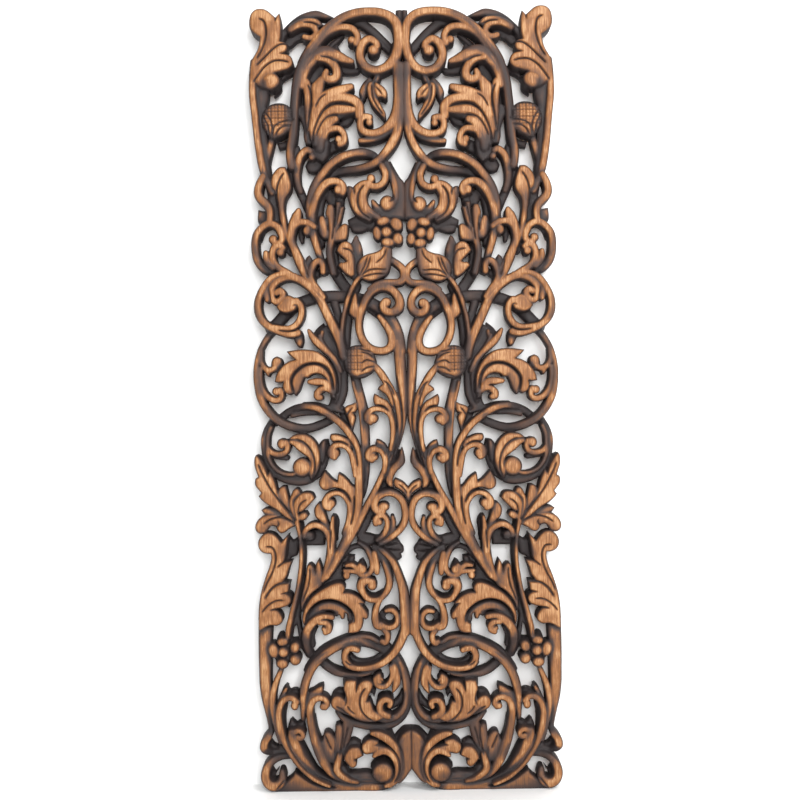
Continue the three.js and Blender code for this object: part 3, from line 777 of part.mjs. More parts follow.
// The corners of a border that matter: the rest lie near the straight lines between them.
function straighten(walk) {
  const [ax, az] = cornerPoint(walk[0]);
  const [bx, bz] = cornerPoint(walk.at(-1));
  const chord = Math.hypot(bx - ax, bz - az);
  let farthest = 0;
  let most = STRAIGHTEN;
  for (let i = 1; i < walk.length - 1; i++) {
    const [x, z] = cornerPoint(walk[i]);
    const off = chord < CELL
      ? Math.hypot(x - ax, z - az)
      : Math.abs((bx - ax) * (z - az) - (bz - az) * (x - ax)) / chord;
    if (off > most) [farthest, most] = [i, off];
  }
  if (!farthest) return [walk[0], walk.at(-1)];
  const head = straighten(walk.slice(0, farthest + 1));
  return [...head.slice(0, -1), ...straighten(walk.slice(farthest))];
}

// A border gives the same corners whichever of its two areas asks for it.
function straightenBorder(walk) {
  const closed = walk[0] === walk.at(-1);
  const turned = closed ? walk[1] > walk.at(-2) : walk[0] > walk.at(-1);
  const kept = straighten(turned ? [...walk].reverse() : walk);
  return turned ? kept.reverse() : kept;
}

function straightenLoop(loop) {
  let start = loop.findIndex(isJunction);
  if (start < 0) start = loop.indexOf(loop.reduce((least, n) => Math.min(least, n), Infinity));
  const walk = [...loop.slice(start), ...loop.slice(0, start), loop[start]];
  const kept = [];
  let from = 0;
  for (let i = 1; i < walk.length; i++) {
    if (i < walk.length - 1 && !isJunction(walk[i])) continue;
    kept.push(...straightenBorder(walk.slice(from, i + 1)).slice(0, -1));
    from = i;
  }
  return kept.map(cornerPoint);
}

// Twice the area inside a loop of points: negative round an opening.
function turnOf(points) {
  return points.reduce((sum, [x, z], i) => sum + points.at(i - 1)[0] * z - x * points.at(i - 1)[1], 0);
}

function isInside(n, loop) {
  const [x, z] = cornerPoint(n).map((v) => v + 0.1 * CELL);
  return loop.reduce((inside, m, i) => {
    const [[ax, az], [bx, bz]] = [cornerPoint(loop.at(i - 1)), cornerPoint(m)];
    return az > z !== bz > z && x < ax + ((z - az) / (bz - az)) * (bx - ax) ? !inside : inside;
  }, false);
}

const wasm = await Module();
wasm.setup();

// A closed three.js geometry as a solid that can be joined and cut.
function toSolid(geometry) {
  geometry.deleteAttribute('normal');
  geometry.deleteAttribute('uv');
  const merged = mergeVertices(geometry, 1e-4);
  return new wasm.Manifold(new wasm.Mesh({
    numProp: 3,
    vertProperties: merged.attributes.position.array,
    triVerts: new Uint32Array(merged.index.array),
  }));
}

// A border extruded from one distance in front of the back plane to another.
function extruded(points, side, from, to) {
  const shape = new THREE.Shape(points.map(([x, z]) => new THREE.Vector2(side * x, z - MOUNT_HEIGHT)));
  const board = new THREE.ExtrudeGeometry(shape, { depth: to - from, bevelEnabled: false });
  return toSolid(board.rotateX(Math.PI / 2).translate(0, -from, 0));
}

clearNarrow();
mergeSpecks();
closeCorners();

const solids = [];
for (const height of [GROUND, CREST]) {
  const loops = loopsOf(height).map((corners) => ({ corners, points: straightenLoop(corners) }));
  const outer = loops.filter(({ points }) => turnOf(points) > 0);
  const inner = loops.filter(({ points }) => turnOf(points) < 0);
  for (const side of [-1, 1]) {
    for (const area of outer) {
      const openings = inner
        .filter((hole) => isInside(hole.corners[0], area.corners))
        .map((hole) => extruded(hole.points, side, -1, height + 1));
      const board = extruded(area.points, side, 0, height);
      solids.push(board.subtract(wasm.Manifold.union(openings)));
    }
  }
}

// Low domes on the buttons of the scrolls, the petals and the flower hearts.
for (const [x, z, acrossRadius, upRadius, tilt] of bosses) {
  for (const side of [-1, 1]) {
    const dome = new THREE.SphereGeometry(1, 6, 3);
    dome.scale(acrossRadius, 4 + BOSS, upRadius);
    dome.rotateY(-side * THREE.MathUtils.degToRad(tilt));
    solids.push(toSolid(dome.translate(side * x, 4 - CREST, z - MOUNT_HEIGHT)));
  }
}

// One board: the pieces of both halves are joined into a single solid, without the thin slivers
// that straightened borders can leave beside it.
const pieces = wasm.Manifold.union(solids).decompose();
const joined = pieces.sort((a, b) => b.volume() - a.volume())[0].getMesh();
const geometry = new THREE.BufferGeometry();
geometry.setAttribute('position', new THREE.BufferAttribute(joined.vertProperties, 3));
geometry.setIndex(new THREE.BufferAttribute(joined.triVerts, 1));
geometry.computeVertexNormals();

const panel = new THREE.Mesh(
  geometry,
  new THREE.MeshStandardMaterial({ color: STAIN, roughness: 0.55, metalness: 0, flatShading: true }),
);
panel.name = 'carved_panel';

const part = new THREE.Group();
part.add(panel);
export default part;
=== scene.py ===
# %% [markdown]
# # A carved wall panel
# This lesson builds an openwork wall panel that a carver cuts from one hardwood board: mirrored
# scrolls, leaves, buds and flowers, stained almost black and then rubbed back until the crests
# show warm brown. The solid model of the board is loaded first and fixes every size. The carving
# is then laid out as a relief: a fine grid holds the height of the wood at each point, every stem
# and leaf raises its own patch of the grid, and the grid becomes one closed mesh.

# %% Load the board
import bpy
import math
import numpy as np
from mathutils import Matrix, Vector


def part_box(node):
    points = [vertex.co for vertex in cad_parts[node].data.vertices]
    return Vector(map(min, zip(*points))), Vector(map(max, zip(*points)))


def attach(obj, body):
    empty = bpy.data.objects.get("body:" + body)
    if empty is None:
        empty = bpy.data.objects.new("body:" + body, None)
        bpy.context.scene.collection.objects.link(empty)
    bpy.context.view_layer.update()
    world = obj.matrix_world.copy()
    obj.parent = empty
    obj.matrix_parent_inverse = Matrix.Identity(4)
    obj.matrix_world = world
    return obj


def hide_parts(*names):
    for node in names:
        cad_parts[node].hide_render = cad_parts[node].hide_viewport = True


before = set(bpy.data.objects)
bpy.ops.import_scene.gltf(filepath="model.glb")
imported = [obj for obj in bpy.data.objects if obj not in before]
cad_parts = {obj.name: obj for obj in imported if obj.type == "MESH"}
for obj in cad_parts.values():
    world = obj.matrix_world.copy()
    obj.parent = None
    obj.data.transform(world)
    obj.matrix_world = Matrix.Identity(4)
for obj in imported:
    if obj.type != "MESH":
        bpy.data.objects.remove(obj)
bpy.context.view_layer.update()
board_low, board_high = (np.array(corner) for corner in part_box("carved_panel"))
print("board", np.round((board_high - board_low) * 1000, 1), "mm")

# %% [markdown]
# The two halves of the board mirror each other, so only the right half is laid out. Places are
# millimetres: across from the centre line, then up from the bottom edge. Heights are millimetres
# in front of the flat back. A pitch of 0.6 mm is finer than the narrowest knife cut.

# %% The grid of the right half
MM = 0.001
PITCH = 0.6
MARGIN = 3.0  # how far beyond its outline a piece is still worked out
SPARE = 2  # rows of the grid below the foot, above the top and beyond the side
HALF_WIDTH = board_high[0] / MM
TALL = (board_high[2] - board_low[2]) / MM
COLUMNS = round(HALF_WIDTH / PITCH) + SPARE + 1
ROWS = round(TALL / PITCH) + 2 * SPARE + 1
across = np.arange(COLUMNS) * PITCH
upward = (np.arange(ROWS) - SPARE) * PITCH
inside = np.full((ROWS, COLUMNS), -9.0)  # distance inside the nearest outline, below 0 in openings
height = np.zeros((ROWS, COLUMNS))
rim = np.zeros((ROWS, COLUMNS))  # height of the nearest piece, read just outside its edge
groove = np.zeros((ROWS, COLUMNS))  # depth of the knife cuts
rubbed_and_unshaded = np.ones((ROWS, COLUMNS))  # how far the abrasive paper reached, 0 to 1, and lower where shade is painted
print("grid", COLUMNS, "by", ROWS)


def patch(points, reach):
    """The part of the grid around some points, and the places of its nodes."""
    (x0, z0), (x1, z1) = points.min(0) - reach, points.max(0) + reach
    left, right = np.clip([int(x0 / PITCH), int(x1 / PITCH) + 2], 0, COLUMNS)
    low, high = np.clip([int(z0 / PITCH) + SPARE, int(z1 / PITCH) + SPARE + 2], 0, ROWS)
    where = np.s_[low:high, left:right]
    return where, across[None, left:right], upward[low:high, None]


# %% [markdown]
# Every piece gives two things at each node: how far inside its outline the node lies, and how
# high its surface is there. The highest piece wins, which is what makes one stem pass over
# another. Beyond its outline a piece falls away as a steep wall, so that its edge stays clean
# where it crosses a lower one.

# %% Lay one piece
STEEP = 7  # fall of a wall for each millimetre outside the outline
POWER = 2.8  # how square a rounded shoulder is; 2 would be a quarter circle
laid = []  # height of each piece since the last report


def lay(where, edge, top):
    wall = np.where(edge > 0, top, np.where(edge > -MARGIN, top + STEEP * edge, 0))
    height[where] = np.maximum(height[where], wall)
    nearer = edge > inside[where]
    rim[where] = np.where(nearer, top, rim[where])
    inside[where] = np.maximum(inside[where], edge)
    laid.append(np.where(edge > 0, top, 0).max(initial=0))


def tell(name):
    """Prints what a step has laid, and how much of the half is wood by now."""
    wood_share = 100 * (inside > 0).mean()
    print(f"{name}: {len(laid)} pieces up to {max(laid):.1f} mm high, wood on {wood_share:.0f}%")
    laid.clear()


def rounded(ratio):
    """Fall of a rounded shoulder: 0 on the crest, where ratio is 0, and 1 at its foot."""
    return 1 - np.sqrt(1 - np.clip(ratio, 0, 0.99) ** POWER)


# %% [markdown]
# A stem is a smooth curve with a width and a height that change along it. A gouge leaves it
# rounded, so the shoulders fall by about half of its width. The curve is a row of round prints of
# the gouge, and each node of the grid keeps the print in which it lies deepest.

# %% Stems
CREST = 25
SHOULDER = 4.6  # most that a stem's shoulders fall
THIN_FALL = 0.95  # a thin stem's shoulders fall this part of its half width
FLANK = 0.7  # how much wider the wood is than the bright crest, on each side
FAR = 99.0  # farther than any piece reaches


def pairs(flat):
    """A flat list of places as rows of two."""
    return np.array(flat, float).reshape(-1, 2)


def smooth_line(points, step=0.7):
    """Points about one step apart on a smooth curve through all the given points."""
    ends = np.vstack([points[:1], points, points[-1:]])
    length = np.hypot(*np.diff(points, axis=0).T).sum()
    t = np.linspace(0, len(points) - 1, max(4, round(length / step)))
    k = np.minimum(t.astype(int), len(points) - 2)
    f = (t - k)[:, None]
    before, here, there, after = (ends[k + i] for i in range(4))
    go, come = (there - before) / 2, (after - here) / 2
    line = (2 * (here - there) + go + come) * f**3 + (3 * (there - here) - 2 * go - come) * f**2
    return line + go * f + here, t / (len(points) - 1)


def spread(values, t):
    """A short list of values spread evenly along a curve."""
    return np.interp(t, np.linspace(0, 1, len(values)), values) if len(values) > 1 else values[0] + 0 * t


def stem(points, widths, heights=(CREST,)):
    """Lays a stem along some points. Widths and heights are spread evenly along it."""
    line, t = smooth_line(pairs(points))
    halves, tops = spread(widths, t) / 2 + FLANK, spread(heights, t)
    reach = halves.max() + MARGIN
    where, x, z = patch(line, reach)
    edge = np.full((z.size, x.size), -FAR)
    half, top = np.ones_like(edge), np.zeros_like(edge)
    for (cx, cz), r, h in zip(line, halves, tops):
        near_x = slice(*np.searchsorted(x[0], [cx - reach, cx + reach]))
        near_z = slice(*np.searchsorted(z[:, 0], [cz - reach, cz + reach]))
        near = (near_z, near_x)
        deep = r - np.hypot(x[:, near_x] - cx, z[near_z] - cz)
        better = deep > edge[near]
        edge[near] = np.where(better, deep, edge[near])
        half[near] = np.where(better, r, half[near])
        top[near] = np.where(better, h, top[near])
    fall = np.minimum(half * THIN_FALL, SHOULDER)
    lay(where, edge, top - fall * rounded(1 - edge / half))


# %% [markdown]
# A leaf, a petal or a low web of wood is an outline. Its curves are smoothed, but points where it
# turns sharply stay sharp, because they are leaf tips and notches. The surface is pillowed: it
# falls towards the edge over a few millimetres.

# %% Leaves
SHARP = math.radians(58)
PILLOW = 5.5  # width of the rounded border of a leaf
LEAF_FALL = 4


def smooth_outline(points, step=1.2):
    """A closed curve through all the points that keeps their sharp corners."""
    ahead = np.roll(points, -1, 0) - points
    behind = np.roll(ahead, 1, 0)
    turn = np.arctan2(behind[:, 0] * ahead[:, 1] - behind[:, 1] * ahead[:, 0], (behind * ahead).sum(1))
    way = np.roll(points, -1, 0) - np.roll(points, 1, 0)
    way /= np.maximum(np.hypot(*way.T), 1e-6)[:, None]
    soft = np.abs(turn) < SHARP
    out = []
    for i, start in enumerate(points):
        j = (i + 1) % len(points)
        length = np.hypot(*ahead[i])
        t = np.linspace(0, 1, max(2, math.ceil(length / step) + 1))[:-1, None]
        go = way[i] * length if soft[i] else ahead[i]
        come = way[j] * length if soft[j] else ahead[i]
        out.append(
            (2 * t**3 - 3 * t**2 + 1) * start + (t**3 - 2 * t**2 + t) * go
            + (3 * t**2 - 2 * t**3) * points[j] + (t**3 - t**2) * come
        )
    return np.vstack(out)


def outline_edge(outline, x, z):
    """Distance inside a closed outline, below 0 outside it."""
    nearest = np.full((z.size, x.size), FAR**2)
    odd = np.zeros((z.size, x.size), bool)
    for (ax, az), (bx, bz) in zip(outline, np.roll(outline, -1, 0)):
        dx, dz = bx - ax, bz - az
        t = np.clip(((x - ax) * dx + (z - az) * dz) / max(dx * dx + dz * dz, 1e-9), 0, 1)
        nearest = np.minimum(nearest, (x - ax - t * dx) ** 2 + (z - az - t * dz) ** 2)
        if az != bz:
            odd ^= ((az > z) != (bz > z)) & (x < ax + (z - az) / (bz - az) * dx)
    return np.where(odd, 1, -1) * np.sqrt(nearest)


def leaf(points, top, pillow=PILLOW, fall=LEAF_FALL):
    """Lays a leaf, and gives back its part of the grid for cuts that follow it."""
    outline = smooth_outline(pairs(points))
    where, x, z = patch(outline, MARGIN)
    edge = outline_edge(outline, x, z) + FLANK / 2
    lay(where, edge, top - fall * rounded(1 - edge / pillow))
    return where, x, z, edge


# %% [markdown]
# The buttons in the eyes of the scrolls, the petals and the flower hearts are round or oval
# domes. A disc is the low ground that carries them. A ring is a disc with a hole.

# %% Buttons, discs and rings
DOME = 0.78  # fall of a dome at its foot, as a part of its radius
DOME_FALL = 4.6  # and at most this
DOME_RISE = 0.8  # how far a dome stands over the height given for it


def oval_edge(x, z, cx, cz, across_radius, up_radius, tilt):
    turn = math.radians(tilt)
    u = (x - cx) * math.cos(turn) + (z - cz) * math.sin(turn)
    v = (z - cz) * math.cos(turn) - (x - cx) * math.sin(turn)
    ratio = np.hypot(u / across_radius, v / up_radius)
    return (1 - ratio) * min(across_radius, up_radius), ratio


def ball(cx, cz, across_radius, up_radius, tilt, top):
    where, x, z = patch(np.array([[cx, cz]]), max(across_radius, up_radius) + MARGIN)
    edge, ratio = oval_edge(x, z, cx, cz, across_radius, up_radius, tilt)
    fall = min(DOME * min(across_radius, up_radius), DOME_FALL)
    lay(where, edge, top + DOME_RISE - fall * rounded(ratio))


def disc(cx, cz, radius, top):
    where, x, z = patch(np.array([[cx, cz]]), radius + MARGIN)
    lay(where, radius - np.hypot(x - cx, z - cz), top + 0 * x * z)


def ring(cx, cz, radius, hole, top):
    where, x, z = patch(np.array([[cx, cz]]), radius + MARGIN)
    away = np.hypot(x - cx, z - cz)
    lay(where, np.minimum(radius - away, away - hole), top + 0 * away)


# %% [markdown]
# A knife cut is a V about 2 mm wide and 3 mm deep that fades out at both ends. The wood beside it
# rolls down into it, which makes each lobe of a leaf swell.

# %% Knife cuts
CUT_DEPTH = 3.2
CUT_SIDE = 0.55  # from the middle of a cut to its edge, as a part of its width
CUT_STEP = 0.5
CUT_END = 0.35  # part of the depth that is left at the ends
CUT_FADE = 5  # length over which a cut would run in from nothing
ROLL = 0.7  # how far the wood beside a cut is rolled down
ROLL_WIDTH = 3.4


def cut(points, width):
    line, t = smooth_line(pairs(points), CUT_STEP)
    where, x, z = patch(line, ROLL_WIDTH + PITCH)
    away = np.full((z.size, x.size), FAR)
    place = np.zeros_like(away)
    for (cx, cz), at in zip(line, t):
        d = np.hypot(x - cx, z - cz)
        place = np.where(d < away, at, place)
        away = np.minimum(away, d)
    length = CUT_STEP * len(line)
    fade = np.clip(CUT_END + np.minimum(place, 1 - place) * length / CUT_FADE, 0, 1)
    deep = CUT_DEPTH * np.clip(1 - away / (CUT_SIDE * width), 0, 1)
    rolled = ROLL * np.clip(1 - away / ROLL_WIDTH, 0, 1) ** 2
    groove[where] = np.maximum(groove[where], fade * (deep + rolled))


# %% [markdown]
# A thistle bud is a high dome with two sets of shallow cuts that cross, 3.9 mm apart. A real bud
# has finer ones. Its dome is a leaf with a border so wide that no flat is left.

# %% Buds
BUD_PILLOW = 11  # width of the rounded border
BUD_FALL = 7
BUD_RIM = 0.8  # border without crossed cuts
HATCH = 3.9  # from one crossed cut to the next
HATCH_BANK = 0.66  # part of that distance which stays uncut
HATCH_DEPTH = 2.2


def bud(points, top, hatched):
    """Lays a bud. Its crossed cuts keep to the box hatched: left, right, low, high."""
    where, x, z, edge = leaf(points, top, BUD_PILLOW, BUD_FALL)
    x0, x1, z0, z1 = hatched
    slots = 0
    for place in (x, z):
        slot = np.abs(place / HATCH % 1 - 0.5) * 2  # 1 in the middle of a cut
        slots = np.maximum(slots, np.clip((slot - HATCH_BANK) / (1 - HATCH_BANK), 0, 1))
    shown = (x > x0) & (x < x1) & (z > z0) & (z < z1) & (edge > BUD_RIM)
    groove[where] = np.maximum(groove[where], np.where(shown, HATCH_DEPTH * slots, 0))


# %% [markdown]
# Abrasive paper does not reach the foot of a leaf or a place under a high stem, so soft patches of
# stain stay there. The same patches also paint the shade that high stems, crossings and walls cast.

# %% Patches of stain and painted shade
SHADE_STEP = 1.5


def shade(points, reach, amount):
    """Darkens a soft line, reach wide on each side, by a share, amount: kept stain and painted shade."""
    line, _ = smooth_line(pairs(points), SHADE_STEP)
    where, x, z = patch(line, reach)
    away = np.full((z.size, x.size), 1.0)
    for cx, cz in line:
        away = np.minimum(away, np.hypot(x - cx, z - cz) / reach)
    rubbed_and_unshaded[where] *= 1 - amount * (1 - away**2) ** 2

# %% [markdown]
# The crown is one long stem. It rises at the side, runs over the top and rolls up into a button
# beside the centre line. A carver sets out this line first, because the small scrolls inside it are
# placed against it. It is laid as one curve that grows thinner towards the eye of the scroll, as a
# gouge cut does. Behind it a lower band of wood forms the shoulder.

# %% Crown
stem([126,718, 127,725, 127.2,735, 123.8,755, 122.3,780, 121,795, 118,818, 110,841, 96,862, 80,879,
     60,891, 38,895.5, 18,893, 7,884, 3.8,870, 4,855, 8,841, 16,830.5, 28,827, 40,832, 46,844, 43,857,
     35,863.5, 27,859, 25.5,855], [8,8.8,8.8,9.2,9.6,9.6,9.1,9.1,6.6])
ball(30, 850.5, 7, 6.6, 0, 24)
stem([9,852, 21,866.5, 33,878.5, 44,886.5, 58,890], [9.5], [10])
leaf([0,883.7, 6.1,885.8, 6.1,899.9, 0,901.9], 14)
stem([98,855, 85,870, 70,877.5, 55,876.5, 48,867, 50,858], [8.1,7.6,7.1,6.1], [24])
ball(55.1, 862.7, 4.8, 4.8, 0, 23)
stem([55,837.5, 65,841, 75,846, 85,849.5, 95,846, 103,838, 110,825, 113,810],
     [4.6,10.6,13.6,14.1,13.6,10.6,7.6], [24])
leaf([66.3,847.9, 72.4,858.9, 79.4,853.9, 76.4,847.9], 19)
leaf([64,872, 74,868, 84,859, 92,850, 82,854, 72,862], 12)
leaf([44,833, 56,834, 70,837, 80,833, 66,827, 50,827], 10)
cut([91,843.5, 82,842, 75,838], 2)
stem([94,842, 84,840, 77,835, 73,828.5, 72.5,821.5, 76,817.5, 82,817, 86,821, 84.5,826],
     [6.6,7.6,8.6,9.1,9.6,9.6,8.6,7.6,5.6])
leaf([70.4,888.4, 85.5,896, 95.6,899.5, 108.6,897, 118.7,891.9, 128.7,883.4, 136.8,873.3, 140.8,860.3,
     134.8,859.2, 130.8,870.3, 122.7,879.4, 110.7,886.4, 95.6,890.4, 80.5,889.4], 18)
leaf([87.1,880.7, 95.2,888.2, 110.2,889.2, 120.2,885.2, 128.2,879.7, 124.2,874.7, 115.2,879.7,
     105.2,880.7, 97.2,877.7], 23)
stem([125,876, 115,881, 106,881.5, 99,879, 95.5,873, 97,868.5, 102,865.5, 109,867], [6.6,6.6,6.6,5.6],
     [24])
cut([92,880, 101,883.5, 110,884], 2)
tell("Crown")

# %% [markdown]
# Each top corner ends in a broad leaf with a rounded knob above and a button below. It is the
# widest flat on the board, so its shape comes mostly from knife cuts that run from the notches down
# to the leaf's foot. The leg under it is laid twice: a wide low stem for the wall of the board and
# a narrow one in front for the bright crest.

# %% Corner finial
leaf([137.5,894.5, 142,889.5, 146,893, 152,898, 158,900, 165,899, 170,894, 172,885, 171,877, 167,872,
     160,867, 161,858, 164,850, 168,843, 171,835, 171,820, 164,812, 157,807, 148,806.5, 141,809,
     138.5,815, 140,821, 144,825, 135,827.5, 128,829.5, 123.5,834, 123,839, 126,844.5, 133,848,
     130,851, 129,855, 131,860, 138,862, 136,870, 136,885], 25)
ball(148.5, 815, 11, 9.6, -20, 26)
leaf([119,836, 121,829, 130,824, 137,818, 138,808, 146,801, 142,815, 135,826, 126,832], 11)
cut([161,888.5, 156,886, 153.5,880, 153,870, 155,860, 159,850, 164,842], 2.4)
cut([142,889.5, 142.5,884], 2)
cut([130,858.5, 137,858, 145,853, 152,846, 160,838, 164,834], 2.4)
cut([131,848, 138,847.5], 2)
cut([127,837, 135,839, 143,839, 150,836, 157,830, 163,822, 168,815], 2.4)
stem([167,838, 169,820, 169.5,800, 167.5,780, 165.5,760, 163.7,742.3, 160.7,722.4, 157.3,708.5,
     152.9,697.6, 149,688.8], [8.6,7.1,7.1,7.1,7.6,7.6,6.6], [24,24,24,23,21])
stem([160.8,823.8, 160.8,801.7, 162.9,781.7, 161.4,751.7, 158,723.6, 155.1,706.8],
     [16.6,17.6,14.6,13.6,11.6,9.6], [21,19.5,19.5,20,20])
tell("Corner finial")

# %% [markdown]
# The bud is the highest thing near the edge: a dome with crossed cuts over its upper part and four
# long cuts that gather at its foot. The crossed cuts are made with a fine V tool, first one way and
# then the other. Its stalk runs lower down, so the bud casts a shadow on it.

# %% Thistle bud under the shoulder
bud([124,771, 124,779, 127,785, 133,789, 141,790, 149,788, 155,783, 158.5,775, 158,765, 154,757,
     148,750, 140,751, 131,756, 126,763], 27, [124,158,762,790])
cut([147,751, 145,762, 139,767, 130,769.5, 122,771], 2)
cut([144,752, 140,759, 134,763, 126,764.5], 2)
cut([149,752, 147,762, 150,772, 155,779], 2)
cut([151,753, 152,763, 155,770, 158,776], 2)
leaf([128,752, 136,748, 143,747, 141,740, 133,742, 127,747], 12)
stem([148.1,753.2, 150.7,741.3, 153.8,729.4, 155.9,716.5, 155.9,706.4, 152.9,697.4], [6.1], [20,18,18])
tell("Thistle bud under the shoulder")

# %% [markdown]
# Four fingers of an acanthus leaf spring from one foot and bend towards the centre. Each finger is
# a stem laid over a leaf-shaped ground, and a cut between two fingers parts them. Two upright
# flutes stand at its outer side, and low wood joins it to the loop. The ground keeps the fingers in
# one body, as on a real board, where thin wood would break along the grain.

# %% Big acanthus leaf in the upper loop
leaf([83,820, 88,823, 92,821, 97,816, 101.5,811, 102.5,800, 102,784, 92,783, 89,800, 87,812], 24)
leaf([103,814, 106,818.5, 110,816.5, 111.5,810, 110.5,798, 110,785, 109,770, 107.5,757, 100,757,
     101.5,785, 102.5,802], 24)
leaf([87.8,837.5, 97.9,839, 107.8,830.3, 113.4,815.9, 116.8,801.5, 120.2,784.3, 110.1,787.1,
     109.7,810.2, 100.4,815.9, 88.2,815.9], 10)
leaf([99.8,879.3, 109.9,880.7, 121.4,875, 134.2,866.3, 141.3,854.8, 126.9,859.1, 118.4,866.3,
     108.3,869.2], 10)
cut([106,811, 103,803, 102,795, 104,780, 107,760], 2)
leaf([107.5,788.3, 113.5,788.8, 118.5,782.3, 115,771.3, 112,761.2, 111.5,751.2, 109.5,743.2,
     102.4,743.2, 104.4,771.3], 20)
leaf([52.7,782.9, 54.6,797.9, 62.2,802.9, 76.7,797.9, 89.1,787.9, 93.1,807.9, 104.4,807.9, 107.1,787.9,
     106.3,767.9, 102.3,745.3, 94.6,735.3, 84.6,735.3, 82.3,745.3, 87.4,755.3, 78.7,764.1, 71.3,771.6,
     58.9,776.6], 21.5)
stem([56.5,808, 66,805, 76,802, 88,796, 96,786, 100,775], [6.6,10.6,11.6,11.6,9.6,7.6])
stem([47.5,775, 47.5,785, 53,792, 62,795, 74,796, 84,793.5, 92,785, 97,775, 100,762, 100,750],
     [9.6,11.6,10.6,11.1,11.1,9.6,7.6])
stem([55,782, 66,782, 77,781, 86,775, 93,765, 97,753, 98,744], [7.6,11.6,11.1,9.6,7.6])
stem([75,771, 82,767, 88,758, 92,748, 93,738], [7.6,10.1,10.6,9.6])
leaf([84.3,748.9, 100.3,748.9, 101.3,735.9, 97.3,726.9, 90.3,722.4, 85.3,727.9, 83.3,737.9], 21)
leaf([92,727, 98,731, 106,728, 111,720, 108,714, 102,712, 96,714, 92,720], 12)
leaf([52,780, 58,780, 66,774, 72,766, 66,765, 58,769], 11)
leaf([65,743, 72,738, 80,734, 87,727, 86,740, 80,749, 72,749], 11)
cut([85,800, 92,795, 97.5,785], 2)
cut([53,785, 60,788.5, 70,790, 80,788, 88,782, 93,774, 97,765, 100,755, 101,745], 2.2)
cut([72,776, 78,776, 85,773, 91,766, 95,758, 97,752], 2.2)
stem([88,750, 85,757, 78,760, 71,760, 66,755, 64.5,749, 66,744, 70,742], [6.6])
ball(71.5, 748, 4.2, 4.6, 0, 24)
ball(102.3, 728.7, 4.2, 4.2, 0, 22)
tell("Big acanthus leaf in the upper loop")

# %% [markdown]
# Under the scroll of the crown hang three small leaves on a short stalk. Two of them have a knife
# cut along the vein. They lie a few millimetres apart in height, which keeps their edges apart
# where they touch.

# %% Hanging sprig
stem([23.6,827.2, 27.1,817.2, 31.1,811.1], [6.1], [21])
leaf([28.5,813, 22,809.5, 16.5,804, 15,797.5, 17,793.5, 22,796, 25.5,795, 28.5,800, 30,807], 25)
cut([29,808, 24.5,803.5, 20.5,798], 1.6)
leaf([31.1,814.6, 36.1,812.6, 38.1,805.6, 36.1,795.5, 31.1,785.5, 24.1,777.5, 17.5,769.5, 17,776.5,
     21.5,785.5, 26.1,794.5, 28.1,803.6], 23)
cut([33,811, 32,797, 27,786, 20,776], 1.8)
leaf([31.2,816.4, 35.2,820.5, 42.2,813.4, 47.2,802.4, 44.2,791.3, 40.2,797.4, 37.2,807.4, 33.2,812.4],
     20)
tell("Hanging sprig")

# %% [markdown]
# A pair of stems runs down the centre. The inner one curls outward, and the other sweeps out under
# it and passes below the big loop, so its height drops from 25 to 10 mm. Where two stems cross, the
# lower one is only cut down near the crossing: the list of heights along the curve says where. A
# fan of three petals and a button grows from the foot of the pair.

# %% Middle pair of stems and the upper lens
stem([4.1,833, 4.1,812, 4.1,796, 5.5,782, 9,771, 14,763, 21,757.5, 30,754.5, 38,755, 44,758, 46.5,764,
     45.5,770, 41,773.5, 35.5,772.5], [10,10,9.1,8.1,7.1,6.6])
ball(35.8, 766.8, 4.4, 4.4, 0, 24)
stem([13,758.7, 20.1,752.2, 30.1,748.7, 40.1,747.2, 46.6,746.7], [5.6,6.1,6.1,5.6,4.6], [22])
stem([3,795, 3,775, 5,762, 8,751, 13,740, 20,730, 29,721.5, 40.2,716.9, 52.4,714.7, 62.6,714.3,
     74.9,712.4, 89.1,705.9, 97.2,698.9], [6.6,8.1,8.6,8.6,8.6,8.6], [25,25,25,24,17,11,10])
stem([26.3,725.8, 33.3,731.2, 42.1,732.9, 52.1,732.5, 64,729.4, 74,724.5, 83,717.5, 91,708, 98,699,
     103.2,688.4, 106.3,675.5, 106.9,662.7, 106.4,650.8], [7.6,8.6,8.6,8.6,7.6,6.6],
     [12,22,25,25,24,22,20])
stem([22,717, 18.5,708, 20,699, 26,694, 33,693.5, 39,697], [6.6,7.1,7.1,6.6])
ball(35, 702.5, 5, 5.2, 0, 24)
stem([17.1,720.6, 13,709.6, 10,698.6, 8.5,688.6, 8.8,679.5, 12,671.5], [5.1], [22])
leaf([0,698, 5.1,706, 13.1,723.1, 17.1,719.1, 11.1,701, 10.6,685.9, 14.1,672.9, 26.1,668.9, 33.2,661.8,
     25.1,656.8, 12.1,657.3, 0,657.8], 20)
ball(17, 674, 8.6, 9.2, 20, 24)
cut([11,684, 11.5,679, 14.5,675.5], 2.4)
cut([25,671, 29,675, 33,678], 1.6)
stem([14.1,662.2, 22.1,663.7, 28.6,668.5, 33.1,676.4], [5.6,8.6,9.1,3.6], [18,22,23])
stem([28,658.5, 36,663, 43,670, 45.5,680, 44,688, 38,696], [5.6,8.6,10.6,11.1,10.6,7.6])
stem([38,656.5, 47,662, 53,670, 54.5,680, 52,689, 45,695.5, 38,697], [5.6,7.6,9.1,9.6,8.6,6.6])
leaf([53.1,662.3, 59.1,671.3, 62.6,683.4, 61.6,694.4, 57.1,693.4, 53.1,687.4, 53.1,675.4, 50.1,664.3],
     23)
cut([43,695, 48,689, 50.5,681, 50.5,672, 46,663, 36,656], 2)
cut([55,692, 54,684], 2)
leaf([27.3,646.9, 34.4,643.8, 42.5,647.4, 52.6,650.4, 61.7,649.9, 62.7,656.9, 50.5,662, 34.4,659,
     28.3,656.9], 13)
leaf([74,690, 84,692, 88,684, 84,672, 77,674], 12)
leaf([34,648, 43,644, 51,642, 58,644, 60,650, 48,652, 36,652], 12)
tell("Middle pair of stems and the upper lens")

